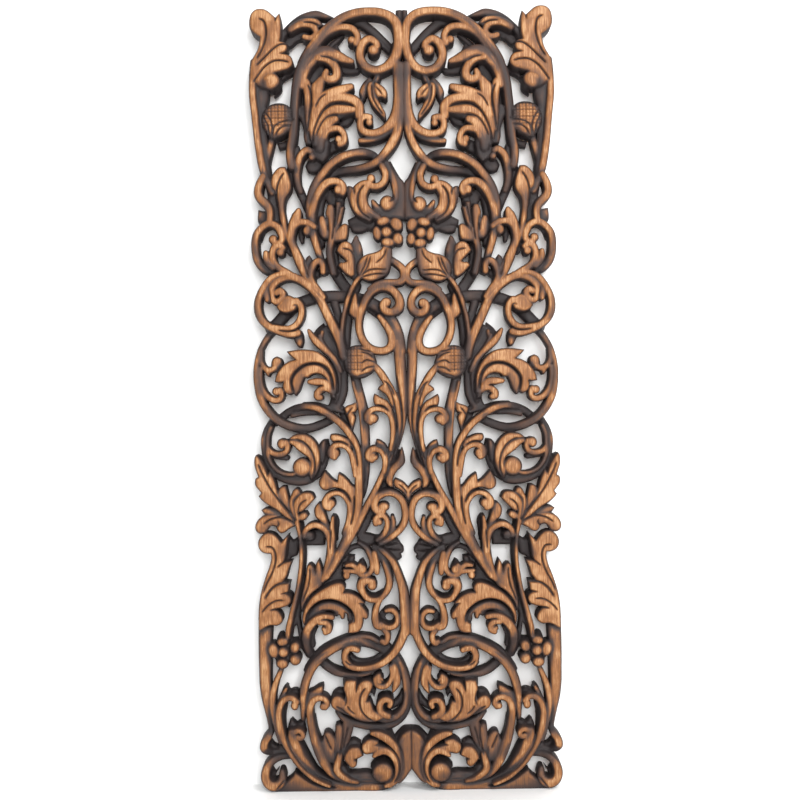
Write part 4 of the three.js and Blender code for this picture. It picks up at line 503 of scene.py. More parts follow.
# %% [markdown]
# The rosette has a round heart and five petals on a lower disc. The petals are short domes, each
# turned to follow the circle, with deep cuts of shadow between them.

# %% Upper rosette
disc(17.2, 642.2, 13.5, 17)
ball(18.5, 641, 6.4, 6.4, 0, 25)
ball(8.3, 650.5, 6.4, 8.3, -15, 24)
ball(22, 653.5, 8.2, 5.6, -15, 24)
ball(29.2, 639.5, 5, 8.4, -10, 24)
ball(17.5, 629, 7.6, 6, 5, 24)
ball(7, 634, 5.4, 7.2, 0, 24)
tell("Upper rosette")

# %% [markdown]
# A tall stem climbs beside the tulip bud and hooks over it into a button. A second branch leaves
# it, meets a small scroll and runs down to the ring at the side. A leaf with one long vein stands
# between the branch and the edge of the board.

# %% Hook scroll over the tulip bud
stem([89.4,597.6, 93.4,608.6, 96.8,618.6, 99.8,628.5, 102.3,638.5, 103.7,650.4, 103.7,662.4,
     101.1,675.3, 97,685, 91,693.5, 84,699, 77,700, 70,697.5, 66.5,692, 68,686.5],
     [6.1,7.1,8.1,8.6,8.6,8.6,7.6,6.6], [20,22,25,25])
ball(73, 690, 4.8, 5.6, 0, 25)
stem([87,696.5, 92,686.4, 95,674.3, 96.1,662.2, 97.1,647, 95,629.8], [7.6,8.6,8.6,8.6], [12])
stem([101,648, 107,652, 113,653.5, 119,653, 124,649, 127,642, 128,634, 126,626], [5.6,6.6,7.6,8.1,8.1])
ball(109.5, 643.8, 4.7, 5.8, 10, 24)
stem([118.5,667, 121,660, 125,652, 128,643, 129,633], [4.1,10.6,9.6,6.6,5.6])
stem([128,634, 124,622, 120,612, 116,603, 111,593, 105,584, 98,576, 92,567],
     [5.6,9.1,10.6,10.6,8.6,6.1,4.6])
cut([114,609, 112,600, 109,591], 1.6)
leaf([128,703, 133,717, 140,716.5, 146,711, 149.5,704, 149,694, 145.5,690, 144,680, 141.5,668, 140,655,
     137.5,645, 134.5,634, 131,627, 128.5,632, 131.5,645, 133.5,658, 135,670, 133.5,681, 129,688,
     127,694], 24)
cut([135,710, 139,704, 142.3,696, 143.8,685, 142.3,674], 2.2)
stem([153.4,702.2, 149.9,688.1, 148.4,672, 145.4,658, 140.4,642.9, 134.4,630.8, 130.4,619.7],
     [8.6,9.6,9.6,9.6,8.6,6.6,4.6], [17,15])
stem([127.2,716.3, 122.2,702.3, 118.2,692.3, 114.2,682.3, 110.2,669.2], [8,9,9,5], [14,12])
stem([104,735, 108,736.5, 113,733, 117,727, 119.2,718.5, 120.4,708.9, 119.7,699.3, 116.9,690.7],
     [5.6,7.1,7.6,7.6,6.6], [24,24,24,20,16])
leaf([117.5,742.1, 121.5,739.1, 124.5,731.1, 122.5,721.1, 118,729.1], 20)
stem([112,650, 117,641, 116.5,633], [6,6,3], [12])
tell("Hook scroll over the tulip bud")

# %% [markdown]
# The edge of the board is an S-shaped band that rolls into an almost closed ring with two small
# scrolls in it. The ring is part of the outline, so it stays wide and strong. A low stem behind it
# gives the thick wall that is seen inside the ring.

# %% Outer band and spiral ring
stem([159,706, 163,698, 165,689, 163,682, 158,677, 153.5,671, 151.5,663, 152.5,654],
     [6.6,7.6,8.6,9.1,8.6,7.1,5.6])
leaf([153.9,666.2, 165.5,668.7, 166,656.1, 161.9,648.1, 154.9,651.1], 18)
stem([147,629.5, 141,630, 138.5,634.5, 139.5,641, 143,648, 150,652, 156.6,651, 162.3,646.5, 167.3,640,
     169.3,632, 169.3,622, 167.7,612.3, 163.7,605, 158.1,600.2, 150,598.9, 140.2,599.2],
     [6.6,7.1,7.6,7.1,7.1,7.1,7.6,8.6,9.6,8.6], [24,25,25,25,24,20,15])
stem([158.5,650, 163,643, 165,635], [4,5,3], [12])
ball(148.3, 634, 5.4, 5.4, 0, 24)
cut([142,638, 142.7,635, 145,633.5], 1.8)
stem([137.5,624, 141.5,627, 147,625, 149.5,619, 149.5,612, 146.5,605.5, 141,600.5, 134,596.5, 127,592],
     [6.1,6.6,6.8,6.6,6.6])
ball(140.5, 619, 4.8, 4.8, 0, 24)
stem([157,618.5, 157,612, 154,606.5, 149,602], [4.6,5.8,5.8,5.6])
stem([152.4,618.4, 152.4,610.4, 148.4,603.4], [4.6,5.1,5.6], [22])
tell("Outer band and spiral ring")

# %% [markdown]
# Four petals of different height make the bud, and a thin stalk carries it. The middle petal stands
# 1 to 2 mm over the others. Fine cuts mark where they part.

# %% Tulip bud
stem([80.1,595.2, 83.1,608.3, 84.6,618.3, 83.6,626.3, 81.6,633.3, 80.1,645.3], [6.4], [23])
stem([75.8,599.5, 78.9,613.7, 79.9,626.8, 77.9,634.9], [7.6], [12])
leaf([70.2,676.7, 75.8,676.7, 77.8,660.7, 79.8,645.6, 80.8,634.6, 76.3,640.6, 71.2,652.6, 68.2,663.7,
     66.2,671.7, 70.2,670.7], 21)
leaf([77.6,668.3, 80.1,673.9, 85.1,673.4, 87.7,664.3, 86.6,655.3, 84.6,647.3, 84.1,640.3, 82.1,633.3,
     79.6,640.3, 78.1,655.3], 23)
leaf([86.3,654.6, 90.3,661.2, 94.8,660.7, 97.3,651.6, 95.8,642.1, 91.8,635.6, 85.3,633.6, 82.3,639.6,
     84.8,648.6], 21)
leaf([62.2,649.5, 62.7,640.5, 64.7,632.9, 70.2,631.4, 78.2,630.9, 80.7,637.4, 76.2,643.5, 71.2,648.5,
     66.2,651.5], 22)
cut([77,674, 77,660, 79,646, 81,633], 1.8)
cut([71.5,672, 73.5,662, 76,650], 1.4)
cut([86,661, 85,651, 86,644], 1.4)
stem([70.7,687, 72.7,673.9], [9.6], [14])
tell("Tulip bud")

# %% [markdown]
# The bell-shaped bud lies on its side under the rosette. Its swelling comes from a leaf outline
# with a wide rounded border. Three cuts run across it and two longer ones follow its lower rim. The
# side leaf has two deep notches and a lower leaf behind it.

# %% Bell bud and its side leaf
leaf([13,622, 18,623.5, 22,624.5, 26,620, 33,617, 40,615.5, 46,612.5, 50,608, 52.8,602, 52.3,595,
     49,590, 44,586.5, 38,585, 30,586.5, 22,590, 17,595, 14.5,603, 13,612], 26)
cut([19,622, 21,615, 25,610, 31,605.5], 1.6)
cut([37,613, 39,606, 42,599, 47,592], 1.6)
cut([40.5,613, 43,605, 46,598, 49.5,592], 1.6)
cut([19,597.5, 30,598.3, 38,597.5, 43,595, 48,591], 1.8)
cut([20,592.3, 30,593, 40,591.3, 47,589.5], 1.8)
leaf([56,592, 55,604, 56,615, 57.5,625, 62,630, 68,630.5, 73,626.5, 76,620, 71,615, 67,611, 64.5,608,
     67,607, 72,606.5, 74.5,603, 71,599, 66,594, 60,590], 24)
cut([56,614, 60,620, 65,622, 69.5,622.5], 1.8)
leaf([46.5,614.4, 47.5,626.5, 53,638.6, 57.6,630.6, 60.6,621.5, 57.6,601.3, 58.6,588.2, 50.5,587.2,
     50.5,599.3], 20)
stem([53.2,634.7, 56.3,627.7, 57.8,621.7], [4.1,4.6,3.6], [20])
stem([92,596, 92.5,604, 96,608.5, 101,606.5, 105,600, 107,591, 104,583], [5.6,6.1,6.6,7.1,6.6])
leaf([104.3,600.4, 103.8,609.4, 107.3,615.4, 110.8,612.4, 113.3,604.4, 113.3,592.3, 107.3,586.3], 22)
leaf([89,598.5, 93,601.5, 98.1,599.5, 105.1,593.5, 104.1,582.4, 99.1,577.3, 101.1,589.4, 95,593.5], 12)
tell("Bell bud and its side leaf")

# %% [markdown]
# The main branch fans out into a ring at the side. Inside it hang a curled leaf and a small fruit,
# and the ring ends in a hook below them. Behind the branch lies a long arch that is cut 10 mm
# lower. It is laid as one stem whose height falls from 24 to 13 mm, because on the board it is one
# sweep that dives under everything it meets.

# %% Side ring with curled leaves
stem([70,499, 73,512, 77,523, 82,534, 87,545, 92,556, 97.5,567.5, 104,576, 112,583, 121,588.5,
     131,591.5], [8.6,9.1,9.6,9.6,9.1,9.1,8.6,8.1])
stem([124,592.5, 138,594.5, 149,591.5, 156.9,584.5, 163.4,574, 167.2,563, 167.2,552, 163.9,543,
     156.9,535.5, 148,530.5, 138,526.5, 130,525, 122,526.5],
     [3.8,4.8,5.8,5.8,6.8,7.8,7.8,7.8,7.8,7.3,7.3])
stem([157,581, 161,573], [6,4], [12])
stem([126,590.5, 138,589, 146,585, 151.5,578, 152,571, 150,565, 145,562.3, 139.5,566.5, 138.5,571.5,
     141.5,575, 145.5,573], [6.6,6.6,7.6,7.6,6.6,7.1,7.1,7.1,6.6], [24])
stem([148.2,589.2, 155.8,580.2, 157.8,572.2, 156.8,564.7], [4.6,7.6,7.6,4.6], [23])
cut([154.5,578, 154,571, 152.5,563.5], 1.8)
leaf([118,563, 126,567, 132,569.5, 137,567.5, 142,562, 146,557, 142.5,552, 136,549.5, 130,550.5,
     125,552.5, 123,556, 118,557], 25)
cut([122,557, 124.5,558.5, 127,557.5], 1.8)
stem([123,563.5, 118.5,558, 117.3,550, 119.3,542, 124,535.5, 131,531.8, 139,531.5, 150,533],
     [6.6,6.6,6.6,6.6,6.1,6.1,6.1])
cut([123,529.5, 134,528.3, 144,529.5], 2)
leaf([123.5,530.3, 118,527.3, 116.5,518.3, 118.5,510.2, 122,510.7, 125.5,516.3, 128.5,523.3], 20)
stem([7,506, 9,523, 16,541, 29,555, 46,564, 65,568, 85,569, 106,566.5, 121,561, 134,552, 147,538.5,
     154,531.5], [12,12.5,12,12,12,12], [24,22,17,14,13,13,13,13,13])
stem([59.8,570.4, 70.9,584.6, 78,595.7, 85.1,607.9], [11.6], [10])
stem([80,560, 76.5,548, 73,533, 70,516, 69,502], [9,8,7,6,5], [12])
tell("Side ring with curled leaves")

# %% [markdown]
# A short link ties the two halves together at the centre line, and an open C scroll hangs from it.
# A pointed leaf fills the gap beside the scroll. The low webs behind it are what is left of the
# full thickness after the openings were sawn.

# %% Middle link and the open scroll
stem([13,609, 7,604.5, 3,600, 1.6,594, 2.6,588, 7,584.3, 14,583.3, 23,583.3, 31,581, 39,575.5],
     [6.1,6.6,7.1,7.1,6.6,5.6,4.6], [24])
stem([18.7,558, 18,561.5, 21.5,561.5, 24,557, 22.3,552, 18,549.3, 12.5,549.8, 8,553.5, 6,560,
     7.7,567.5, 12.5,573.8, 19,577.5, 26,578, 33,575.3, 39.5,570, 44.5,562, 48,553, 50.5,545, 52,537,
     51.5,529, 49,520, 44.5,512.5, 38.5,507.3, 31,504.8, 23.5,504.8, 17.5,507.8, 14.7,513.5, 15,521,
     18,529.1, 23,537.1, 28.1,544.1],
     [5.1,6.6,8.1,8.6,8.6,8.1,8.6,8.1,7.6,7.6,8.1,8.1,8.1,8.6,7.6,5.1], [24,25,25,25,25,25,25,23])
leaf([51,556, 53,566, 55,572, 57,570, 60.5,560, 63,549.5, 60,545, 56,541, 53.5,535, 50,545], 24)
cut([51,569, 53,559], 2.2)
stem([24.4,546.1, 33.5,553.2, 47.6,563.3], [12.6], [10])
leaf([1.1,508.4, 4.1,522.5, 8.1,534.6, 13.1,541.7, 22.2,549.7, 30.3,549.7, 26.2,542.7, 19.2,530.6,
     15.2,520.5, 12.1,511.4], 16)
stem([49.8,590, 54.8,584, 59.8,575.5, 63.8,566, 66.8,556, 69.3,546, 70.8,536, 71.8,526, 71.3,517,
     69.8,507], [3.6,3.6,3.4,3.2,3], [24])
stem([52.6,581.2, 57.6,571.1, 61.7,559, 64.7,545.9, 66.7,530.8, 67.7,512.6], [6.6,8.6,9.6,9.6,9.6,8.6],
     [13])
tell("Middle link and the open scroll")

# %% [markdown]
# Two stems run side by side down the middle and get thinner all the way. Two small leaves and one
# scroll branch off. A knife cut keeps each stem apart from its neighbour, since they touch for most
# of their length.

# %% Middle stems
stem([8,515, 7,500, 6,482, 5,462, 4.8,445, 5.2,430, 7.5,414.9, 11.1,399.8, 15.1,386.7, 18.6,376.6],
     [9,10.5,10.5,10,9,7.5,6.5,5.5,4.5], [24,24,23,22,20,18])
stem([35,488, 28,479, 21.5,468.5, 15.5,457.5, 11.5,446, 9.8,433, 9.8,419.9, 11.6,406.9, 14.6,393.8],
     [6,8,7.5,7,6.5,5,4.5,4], [24,24,24,22,20])
leaf([22,468.5, 30,463.5, 31.5,460.5, 28,458.5, 21.5,453, 17.5,444, 15,440, 12.5,445, 13.5,455,
     17,463], 24)
cut([25,470.5, 19,466, 15,459, 13.5,454], 1.8)
leaf([17,440.5, 22,447.5, 28,451, 35.5,455.5, 37,450.5, 36,444, 34.5,441.5, 27,440.5, 22,436, 19,430,
     18,420, 18,408, 12.5,408, 13,425, 14.5,434], 24)
stem([17.5,392, 15.5,405, 15.3,417, 17,427, 21,433.5, 27,437, 34,438.3, 40,436.5, 44,431.5, 44,426,
     41,422.8], [5,5.5,5,4,4.5,5.5,6.5,6.5,6])
ball(38, 427, 6.5, 6, 0, 25)
cut([20,435, 25,440, 30,441.8, 35,442], 1.8)
stem([16,399.9, 18.4,387.9, 20.4,376.8, 23.6,366.7, 27.6,357.6], [4.5,4,3.2,2.6], [23,22,20])
leaf([14.3,397.4, 20.3,397.4, 24.4,379.2, 30.4,358.9, 36.5,343.8, 30.4,340.7, 22.4,344.8, 20.3,358.9,
     13.2,377.2], 10)
cut([11,475, 8.7,458.9, 6.2,440.5, 5.5,424.4, 6.9,410.6, 10.9,394.4, 16.9,377.9], 2.2)
cut([21.7,469.3, 15.8,454.3, 12.6,438.2, 11.5,424.4, 12.2,410.6, 15.2,394.4, 19.2,380.6], 1.6)
tell("Middle stems")

# %% [markdown]
# The stalk of the hatched bud is long and almost straight. A second, narrower stem on its right
# side gives it a ridge, and a small leaf with two cuts grows halfway up.

# %% Tall stem with its small leaf
stem([58.5,478.2, 55.3,463.1, 51.2,448, 48.2,435, 47.2,419.9, 46.7,399.8, 46.7,379.7, 47.3,361.5,
     49.4,344.3, 51.5,337], [9,10,9.5,9,8,8,7,6,4,3], [16,20,21,21,20,17,14])
stem([60.2,469.1, 57,456, 54,444, 52,431.9, 50.9,417.9, 50.2,399.8, 49.9,384.8, 50.2,369.8,
     50.7,355.7], [2.5,3.2,3.2,3.2,2.5], [21])
leaf([56.1,446.5, 61.1,444, 67.1,442, 70.6,439, 68.6,433, 66.1,426, 64.1,418, 62.1,411.9, 60.1,420,
     58.1,428, 60.1,433, 57.1,436, 56.1,440], 23)
cut([61,440.5, 65,435.5, 68.5,430.5], 1.8)
cut([57,434.3, 62,434], 2)
leaf([62.7,409.6, 64.7,424.8, 70.8,439.9, 74.8,442.9, 77.9,437.9, 72.8,423.7, 66.8,413.6], 12)
tell("Tall stem with its small leaf")

# %% [markdown]
# The second thistle bud is turned on its side: crossed cuts cover the half that faces out, and five
# cuts run from them to the calyx. It stands 1 mm over the highest stems.

# %% Hatched bud
bud([32.6,490, 35.2,500, 40.8,507.5, 50.4,511.2, 60.9,510, 67.8,503.7, 69.9,493, 67,482.5, 59.9,475.2,
     49.9,473.9, 41.4,477.5, 35.5,482.5], 26, [48.5,75,481,511])
cut([35.7,496.7, 42.8,501.7, 50.8,503.5], 1.8)
cut([34.6,491.7, 43.9,494.2, 49.6,490.5], 1.8)
cut([35.6,486.7, 43.8,485.5, 50.5,480.5], 1.8)
cut([39,504.2, 46.6,505.5, 52.9,508], 1.8)
cut([40,479.2, 46.2,478, 53.7,475.9], 1.8)
tell("Hatched bud")

# %% [markdown]
# This is the largest leaf of the panel. Its outer lobe bends over the top and ends in three tips,
# an inner lobe lies a little lower, and two small curls fill the hollow. The lobes are overlapping
# outlines of slightly different height. The cuts between them are among the widest, because here
# the carver turns the gouge instead of drawing a line.

# %% Acanthus leaf in the big loop
leaf([71.7,510.5, 68.2,500.4, 67.1,480.3, 67.1,460.1, 69.7,450, 74.2,440.9, 78.7,433.9, 84.8,436.9,
     89.8,441.9, 86.8,448, 86.3,456.1, 88.8,470.2, 84.8,490.4, 78.7,505.5], 14)
stem([80.6,447, 77.5,462.1, 76.9,476.1, 79.3,488.1, 85.3,499.1, 93.2,508.1, 101.2,516.1, 106.1,522.6,
     109.5,529], [4,5,5.5,6,6,7,8,6,2.5], [16,20,23,24])
leaf([88.8,511.5, 91.9,522.6, 92.9,537.8, 98.9,533.2, 103,528.7, 105,522.6, 98.9,512.5, 92.9,503.5], 14)
leaf([88.7,535, 95.6,532.6, 101.3,527, 96.7,516.5, 85.2,505, 77.2,496, 72.5,479.6, 70.2,493.5,
     73.7,505, 80.6,516.5, 85.2,525.7], 17)
stem([98,523, 93,513, 86,503, 79,494, 74,482], [2.5,3,3.5,3.5,3], [21])
stem([94.4,527.3, 95.9,518.3, 93.4,510.2, 87.4,502.2], [2.5,3,3,2.5], [20])
leaf([79,457, 80,475, 84,488, 90,497, 98,503.5, 108,506.5, 120,507, 135,505, 131,500.5, 125,495.5,
     131,494.5, 137.5,491, 143,485.5, 147.5,478.5, 149.5,470.5, 144,469.5, 139.5,470.5, 140.8,465,
     138,458.5, 133,455.5, 128.5,458, 131,468, 131,474, 127,481.5, 121,487, 113,491, 104,492, 96,490.5,
     89,486, 84.5,478, 82,468, 82,456], 25)
leaf([81,456, 83,476, 88,489, 96,497, 106,501, 118,500, 128,495, 136,486, 140,474, 137,464, 131,461,
     131,470, 126,480, 118,487, 108,491, 98,490, 90,485, 86,476, 84,462], 22)
leaf([80.3,450, 82.4,468.1, 85.4,478.1, 90.4,486.1, 98.4,490.7, 106.4,491.2, 114.5,489.7, 121.5,485.6,
     128.5,478.6, 131.5,470.1, 130.5,462.1, 126.5,454.5, 122,460, 119,468.1, 116,475.1, 111.5,475.1,
     107.5,478.1, 101.4,479.6, 94.4,477.1, 89.4,470.1, 86.9,462.1, 85.9,452], 23)
cut([84,461, 84,467, 86,477, 90.5,484.5, 97,489.3, 104,491, 112,490.3, 120,486.5, 127,480, 130.8,473,
     130.3,464, 129,459], 2.4)
cut([77.8,456, 78,470, 80,481, 85,491.5, 91,498.5, 98,504.5], 2)
stem([86,462, 93,468.5, 101,470, 110,470], [6,8.5,8.5,4], [24])
stem([83,458, 90,462.5, 96,461.5, 101,457.5, 101.5,453, 98,452], [6,8,7,6.5,6], [24])
cut([94,465.3, 98.5,465.3, 104,463], 2)
cut([91,458.5, 96,459.3], 1.8)
tell("Acanthus leaf in the big loop")

# %% [markdown]
# Two stems cross twice and leave a lens-shaped opening between them. One of them goes on as the big
# loop at the edge of the board and ends in two small scrolls inside it. Each is 10 mm or more lower
# where it passes under the other, so they seem woven.

# %% Big loop and the lens below it
stem([66,411, 71,417.5, 78,424.5, 88,432, 97,437.5, 106,441, 116.3,442, 126.9,439.9, 135.3,435.9,
     142.5,430.3, 151.6,423.7], [7,7,7,7,6.5,6.5,7,8,8], [25,25,25,25,24,21,14,12,12])
stem([72.6,434.9, 82.7,437.9, 93.8,441.4, 104.9,444.5, 117,445], [3,4,4,3.5,3], [15])
stem([88,432, 98,435.5, 108,436.3, 120,435.3, 131,431.5], [4,8,9,8,4], [14])
stem([85,426.8, 96.1,421.7, 108,417.5, 118.8,416.1, 130.4,418.2, 142,423, 152,430.5, 160,440, 166,451,
     169.5,463, 171,478, 170.1,492.1, 166.9,505.2, 161.6,516.3, 154.4,526.5, 148.1,531.7],
     [8,9,9,9,8.5,8,8,7,5.5,5,4.5,5,6,7], [11,12,16,22,25,25,25,24,22,20,17,14])
stem([164.7,506.2, 165.6,496.2, 163.5,489.6, 159.4,485.4, 154.3,484.1, 149.2,486.6],
     [3,4.5,5,5.5,5.5,5], [20,22,23])
leaf([140.9,491.1, 142.4,497.1, 146.9,499.6, 151.4,497.1, 153.4,490.6, 152.4,484.1, 147.9,481.6,
     143.4,486.1], 22)
leaf([149.4,483.6, 153.9,481.1, 156.9,476.6, 159.9,479.6, 162.9,485.1, 155.4,488.1], 22)
stem([166.4,486.1, 167.3,472, 163.8,460, 157.2,452.5, 150,449.3, 144.3,451, 142.5,457, 144,461.5],
     [4,7,7,6.5,6.5,6.5,6,5], [22,24,25])
ball(148, 459.5, 4.8, 5, 0, 24)
cut([144.5,456, 146,453.8, 149,453.3], 1.6)
tell("Big loop and the lens below it")

# %% [markdown]
# The long stem keeps nearly one width from top to bottom and leans outward at the foot. A leaf and
# a scroll branch to the right, and another pair to the left. A cut splits its upper part into two
# strands.

# %% Long stem and its scrolls
stem([66,411, 60,401, 56.5,389, 55.3,373, 55.3,356, 56,338, 58.5,322, 63,308, 69,294, 75.5,281,
     82,268.5, 87.5,258, 94,246], [7,7,7.5,8,8.5,9,9,9,9,8.5,8,7,4.5])
cut([65,402, 60.5,394, 57.8,384, 56.5,372], 2)
leaf([64,402, 72,406.5, 80,409.5, 86.5,409.5, 87.5,405, 84,400.5, 78,400.5, 71,397.5, 66,393, 62,396],
     24)
cut([67,396.5, 73,400, 79,401, 84.5,400], 1.8)
stem([59.5,362, 61.5,377, 64,387.5, 69,394.3, 76,397.3, 82.5,396, 86.8,391, 86.5,386, 83,383.3],
     [4,5.5,5.2,4.8,5.5,6.5,7,7,6])
ball(81.5, 387.5, 4.6, 5.6, 0, 24)
stem([26.5,366, 24.8,377, 26.3,385.5, 31,391, 38,392, 43.3,388, 43.8,382.5, 40,379.5],
     [4.5,5.5,6.5,7,7.5,7,7,6])
ball(38, 383, 5.6, 5, 0, 25)
cut([32,382, 32.6,385, 35,385.8, 37.5,384], 1.8)
leaf([21.1,390.9, 24.1,396.9, 30.1,401.9, 34.1,402.9, 35.6,397.4, 32.1,394.4, 27.1,391.4, 24.6,384.8,
     23.1,377.8, 20.1,381.8], 22)
cut([24,384, 26,389.8, 30,393.8, 35,395], 1.8)
stem([26.5,368, 30,359.5, 34,350.5, 38.5,341.5, 43.5,332.5, 48.5,323.5, 53.5,313.5, 58.5,303.5,
     63.5,293.5, 69,284, 75,274.5, 82,264, 89,253.5, 96,244],
     [4.5,5,5.5,6,6.5,6.5,6.5,6,5.5,5,5,6,6,4], [24])
tell("Long stem and its scrolls")

# %% [markdown]
# Near the centre line two slim S-shaped leaves bend like a bird's neck, with low wood behind them.
# They are narrow, so they stay outlines with a small rounded border instead of stems.

# %% Leaves shaped like a bird's neck
leaf([6.1,394.4, 4.2,387.5, 3.2,378.8, 6.3,372.8, 11.3,367.7, 14.9,361.7, 16.7,354.8, 15.7,347.2,
     20.7,348.8, 24.3,354.8, 24.1,361.7, 21.5,367.7, 16.9,373.2, 12.4,377.9, 9.7,382.5, 8.4,388.7], 23)
leaf([6.6,391, 12.3,389.8, 17.9,380.6, 21.3,372.6, 16.6,369.1, 12.1,373.7, 7.5,378.3], 11)
leaf([-1.6,331.1, -1.4,345.6, 1.4,350.2, 6.1,354.8, 13.5,358, 15.5,354.8, 14.3,348.8, 8.7,345.1,
     4.1,340.5, 1.7,334.5], 23)
cut([1.3,341.5, 4.8,347.2, 10.2,351.8], 1.8)
leaf([15.3,343.9, 20.3,350.9, 26.4,360, 33.5,350.9, 38.5,339.8, 32.4,343.9, 24.4,344.9], 11)
tell("Leaves shaped like a bird's neck")

# %% [markdown]
# One scroll rolls up at each side of the diamond-shaped opening in the middle, with a smaller one
# under it. The dark lobed leaves below the opening are cut down to 12 mm. Farther out a notched
# leaf and another scroll lean over the long stem.

# %% Scrolls beside the middle opening
stem([32,283.5, 22,288.5, 13,296, 6.5,304.5, 3.7,313, 3.5,322, 5.7,331, 10.5,337.7, 17.5,341.3,
     25.5,341.3, 32.5,338, 37.3,332, 38,325.5, 34.5,320.8, 29,320], [4,5.5,6.5,7,7.3,7.3,7.3,7.3,8,7])
ball(27.5, 325.8, 6.8, 5.4, 0, 24)
stem([36,287.5, 28.5,293.5, 24.3,302, 24,309.5, 27.5,315, 33,315.3, 37.5,311.3, 37,306.5],
     [3,5,5.5,5,5.2,5.5,5.5])
ball(33.2, 308.5, 4.6, 4.4, 0, 24)
cut([28.5,307, 29.5,310, 31.5,311], 1.6)
stem([17.8,313.8, 17,304.8, 19,296.8, 24.6,290.1, 32.2,286.4], [3,5.5,5.5,4,3], [23,23,20])
leaf([15.2,289.4, 20.3,284.3, 30.4,280.3, 44.5,280.3, 58.7,282.3, 58.7,292.9, 46.6,293.9, 36.5,291.4,
     26.3,294.4, 18.3,300.5], 12)
stem([37,334, 41.5,322, 46,311, 51,301, 56,291], [6,8,8,8,6], [12])
leaf([13.2,288.4, 9.2,282.3, 6.1,277.8, 6.6,273.2, 9.7,270.7, 8.2,266.7, 11.2,263.6, 16.2,262.6,
     24.3,268.2, 34.4,275.2, 44.5,282.3, 30.4,284.3, 20.3,285.3], 12)
cut([11,283.5, 18,281.5, 26,280], 1.8)
cut([9,274.5, 18,274.5, 26,276], 1.8)
leaf([60,348, 64,351, 68,356.5, 73,361.5, 78.5,365, 79.5,360, 80,354.5, 85,357.5, 89.5,362, 94.5,367.5,
     98,362, 101,356, 100.5,350.5, 97,346.5, 91.5,345.5, 86,347.5, 80,347, 74,343.5, 69,337.5, 66,330,
     65,322, 64,310, 60,322, 59.5,336], 24)
cut([65.5,332, 70,341, 77,346, 84,346.8, 92,344], 2.2)
stem([72,296, 68,307, 66.3,318, 67,328, 71,336, 77,341.3, 84,342, 90.5,339, 94.5,333, 94,327.5,
     90,325], [8,7.5,6.5,5,4.2,4.2,4.8,6,7,7,6])
ball(88, 330, 5.6, 5.8, 0, 24)
cut([61,338, 61.3,326, 63.5,314, 65.5,306], 2)
tell("Scrolls beside the middle opening")

# %% [markdown]
# This ring holds a thick curled leaf with a large button at its heart. The leaf is two overlapping
# outlines with one deep cut between them. The ring is 12 mm wide below the button and 4.5 mm at the
# side, like a horn that opens.

# %% Ring with the large button
leaf([90.8,403.6, 96.9,402.6, 100.9,396.5, 103,379.4, 109,361.2, 125.1,355.2, 141.3,357.2, 152.4,361.2,
     147.3,356.2, 135.2,354.5, 123.1,353.2, 112,354.5, 103,358.2, 95.9,367.3, 91.4,377.4, 88.8,389.5],
     14)
leaf([92.9,402.8, 96.4,401.8, 100.1,396.8, 100.9,387.8, 97.4,375.7, 93.4,384.7], 20)
leaf([134.5,405, 128,409.5, 118,410.5, 110,407, 104,400.5, 100.5,392, 99.5,382, 101,372, 105,363.5,
     110,358, 112,366, 109,380, 114,394, 124,402.5], 25)
leaf([134,404, 125,403.5, 116,399, 110,391, 107,380, 107,368, 110,359.5, 112.5,363, 111,374, 113,382.5,
     119,387.5, 125,392, 130,397, 135,400], 24)
cut([126,404.5, 118,401, 111.5,394.5, 107.3,386, 105.5,377, 106,368, 109,360], 2.4)
ball(120.5, 372, 10.6, 11, 0, 25)
stem([105,362.3, 113.8,357.9, 124.7,357, 137.8,359, 148.9,363.5, 156.2,371.6, 161.3,381.7, 163.8,393.9,
     164,404.9, 160.8,415.9, 155.8,424.3, 150.5,430.8], [8,10,12,11,9,8,6.5,5,4.5,4.5,5,6],
     [14,17,18,18,18,19,20,22,22,20,16,12])
stem([124.5,371, 126.5,366.5, 133,364, 142,365.3, 149.7,369.5, 155.8,377, 159.2,387, 159.4,398,
     158.4,409, 154.9,418], [2.5,3,3,3,3.4,3.4,3], [24])
stem([159.5,396, 156,390.3, 150,387.5, 144,387.3, 139,390, 137,395.5, 138.5,401], [3,5,5.5,5.8,6,6,6],
     [24])
ball(143, 399.3, 5.6, 6.3, 0, 24)
cut([139.8,396, 141,392.8, 144,391.8], 1.8)
stem([138.2,382.7, 145.7,383.2, 154.8,384.7], [4.5,3.5,3], [19])
tell("Ring with the large button")

# %% [markdown]
# Seven lobes fan out from one point at the edge of the board. The lobes are laid one after another
# with their heights 1 to 3 mm apart, so that the long middle lobe stays on top. A thin bright stem
# carries them, with a dark wider stem behind it that stands for the wall below its edge.

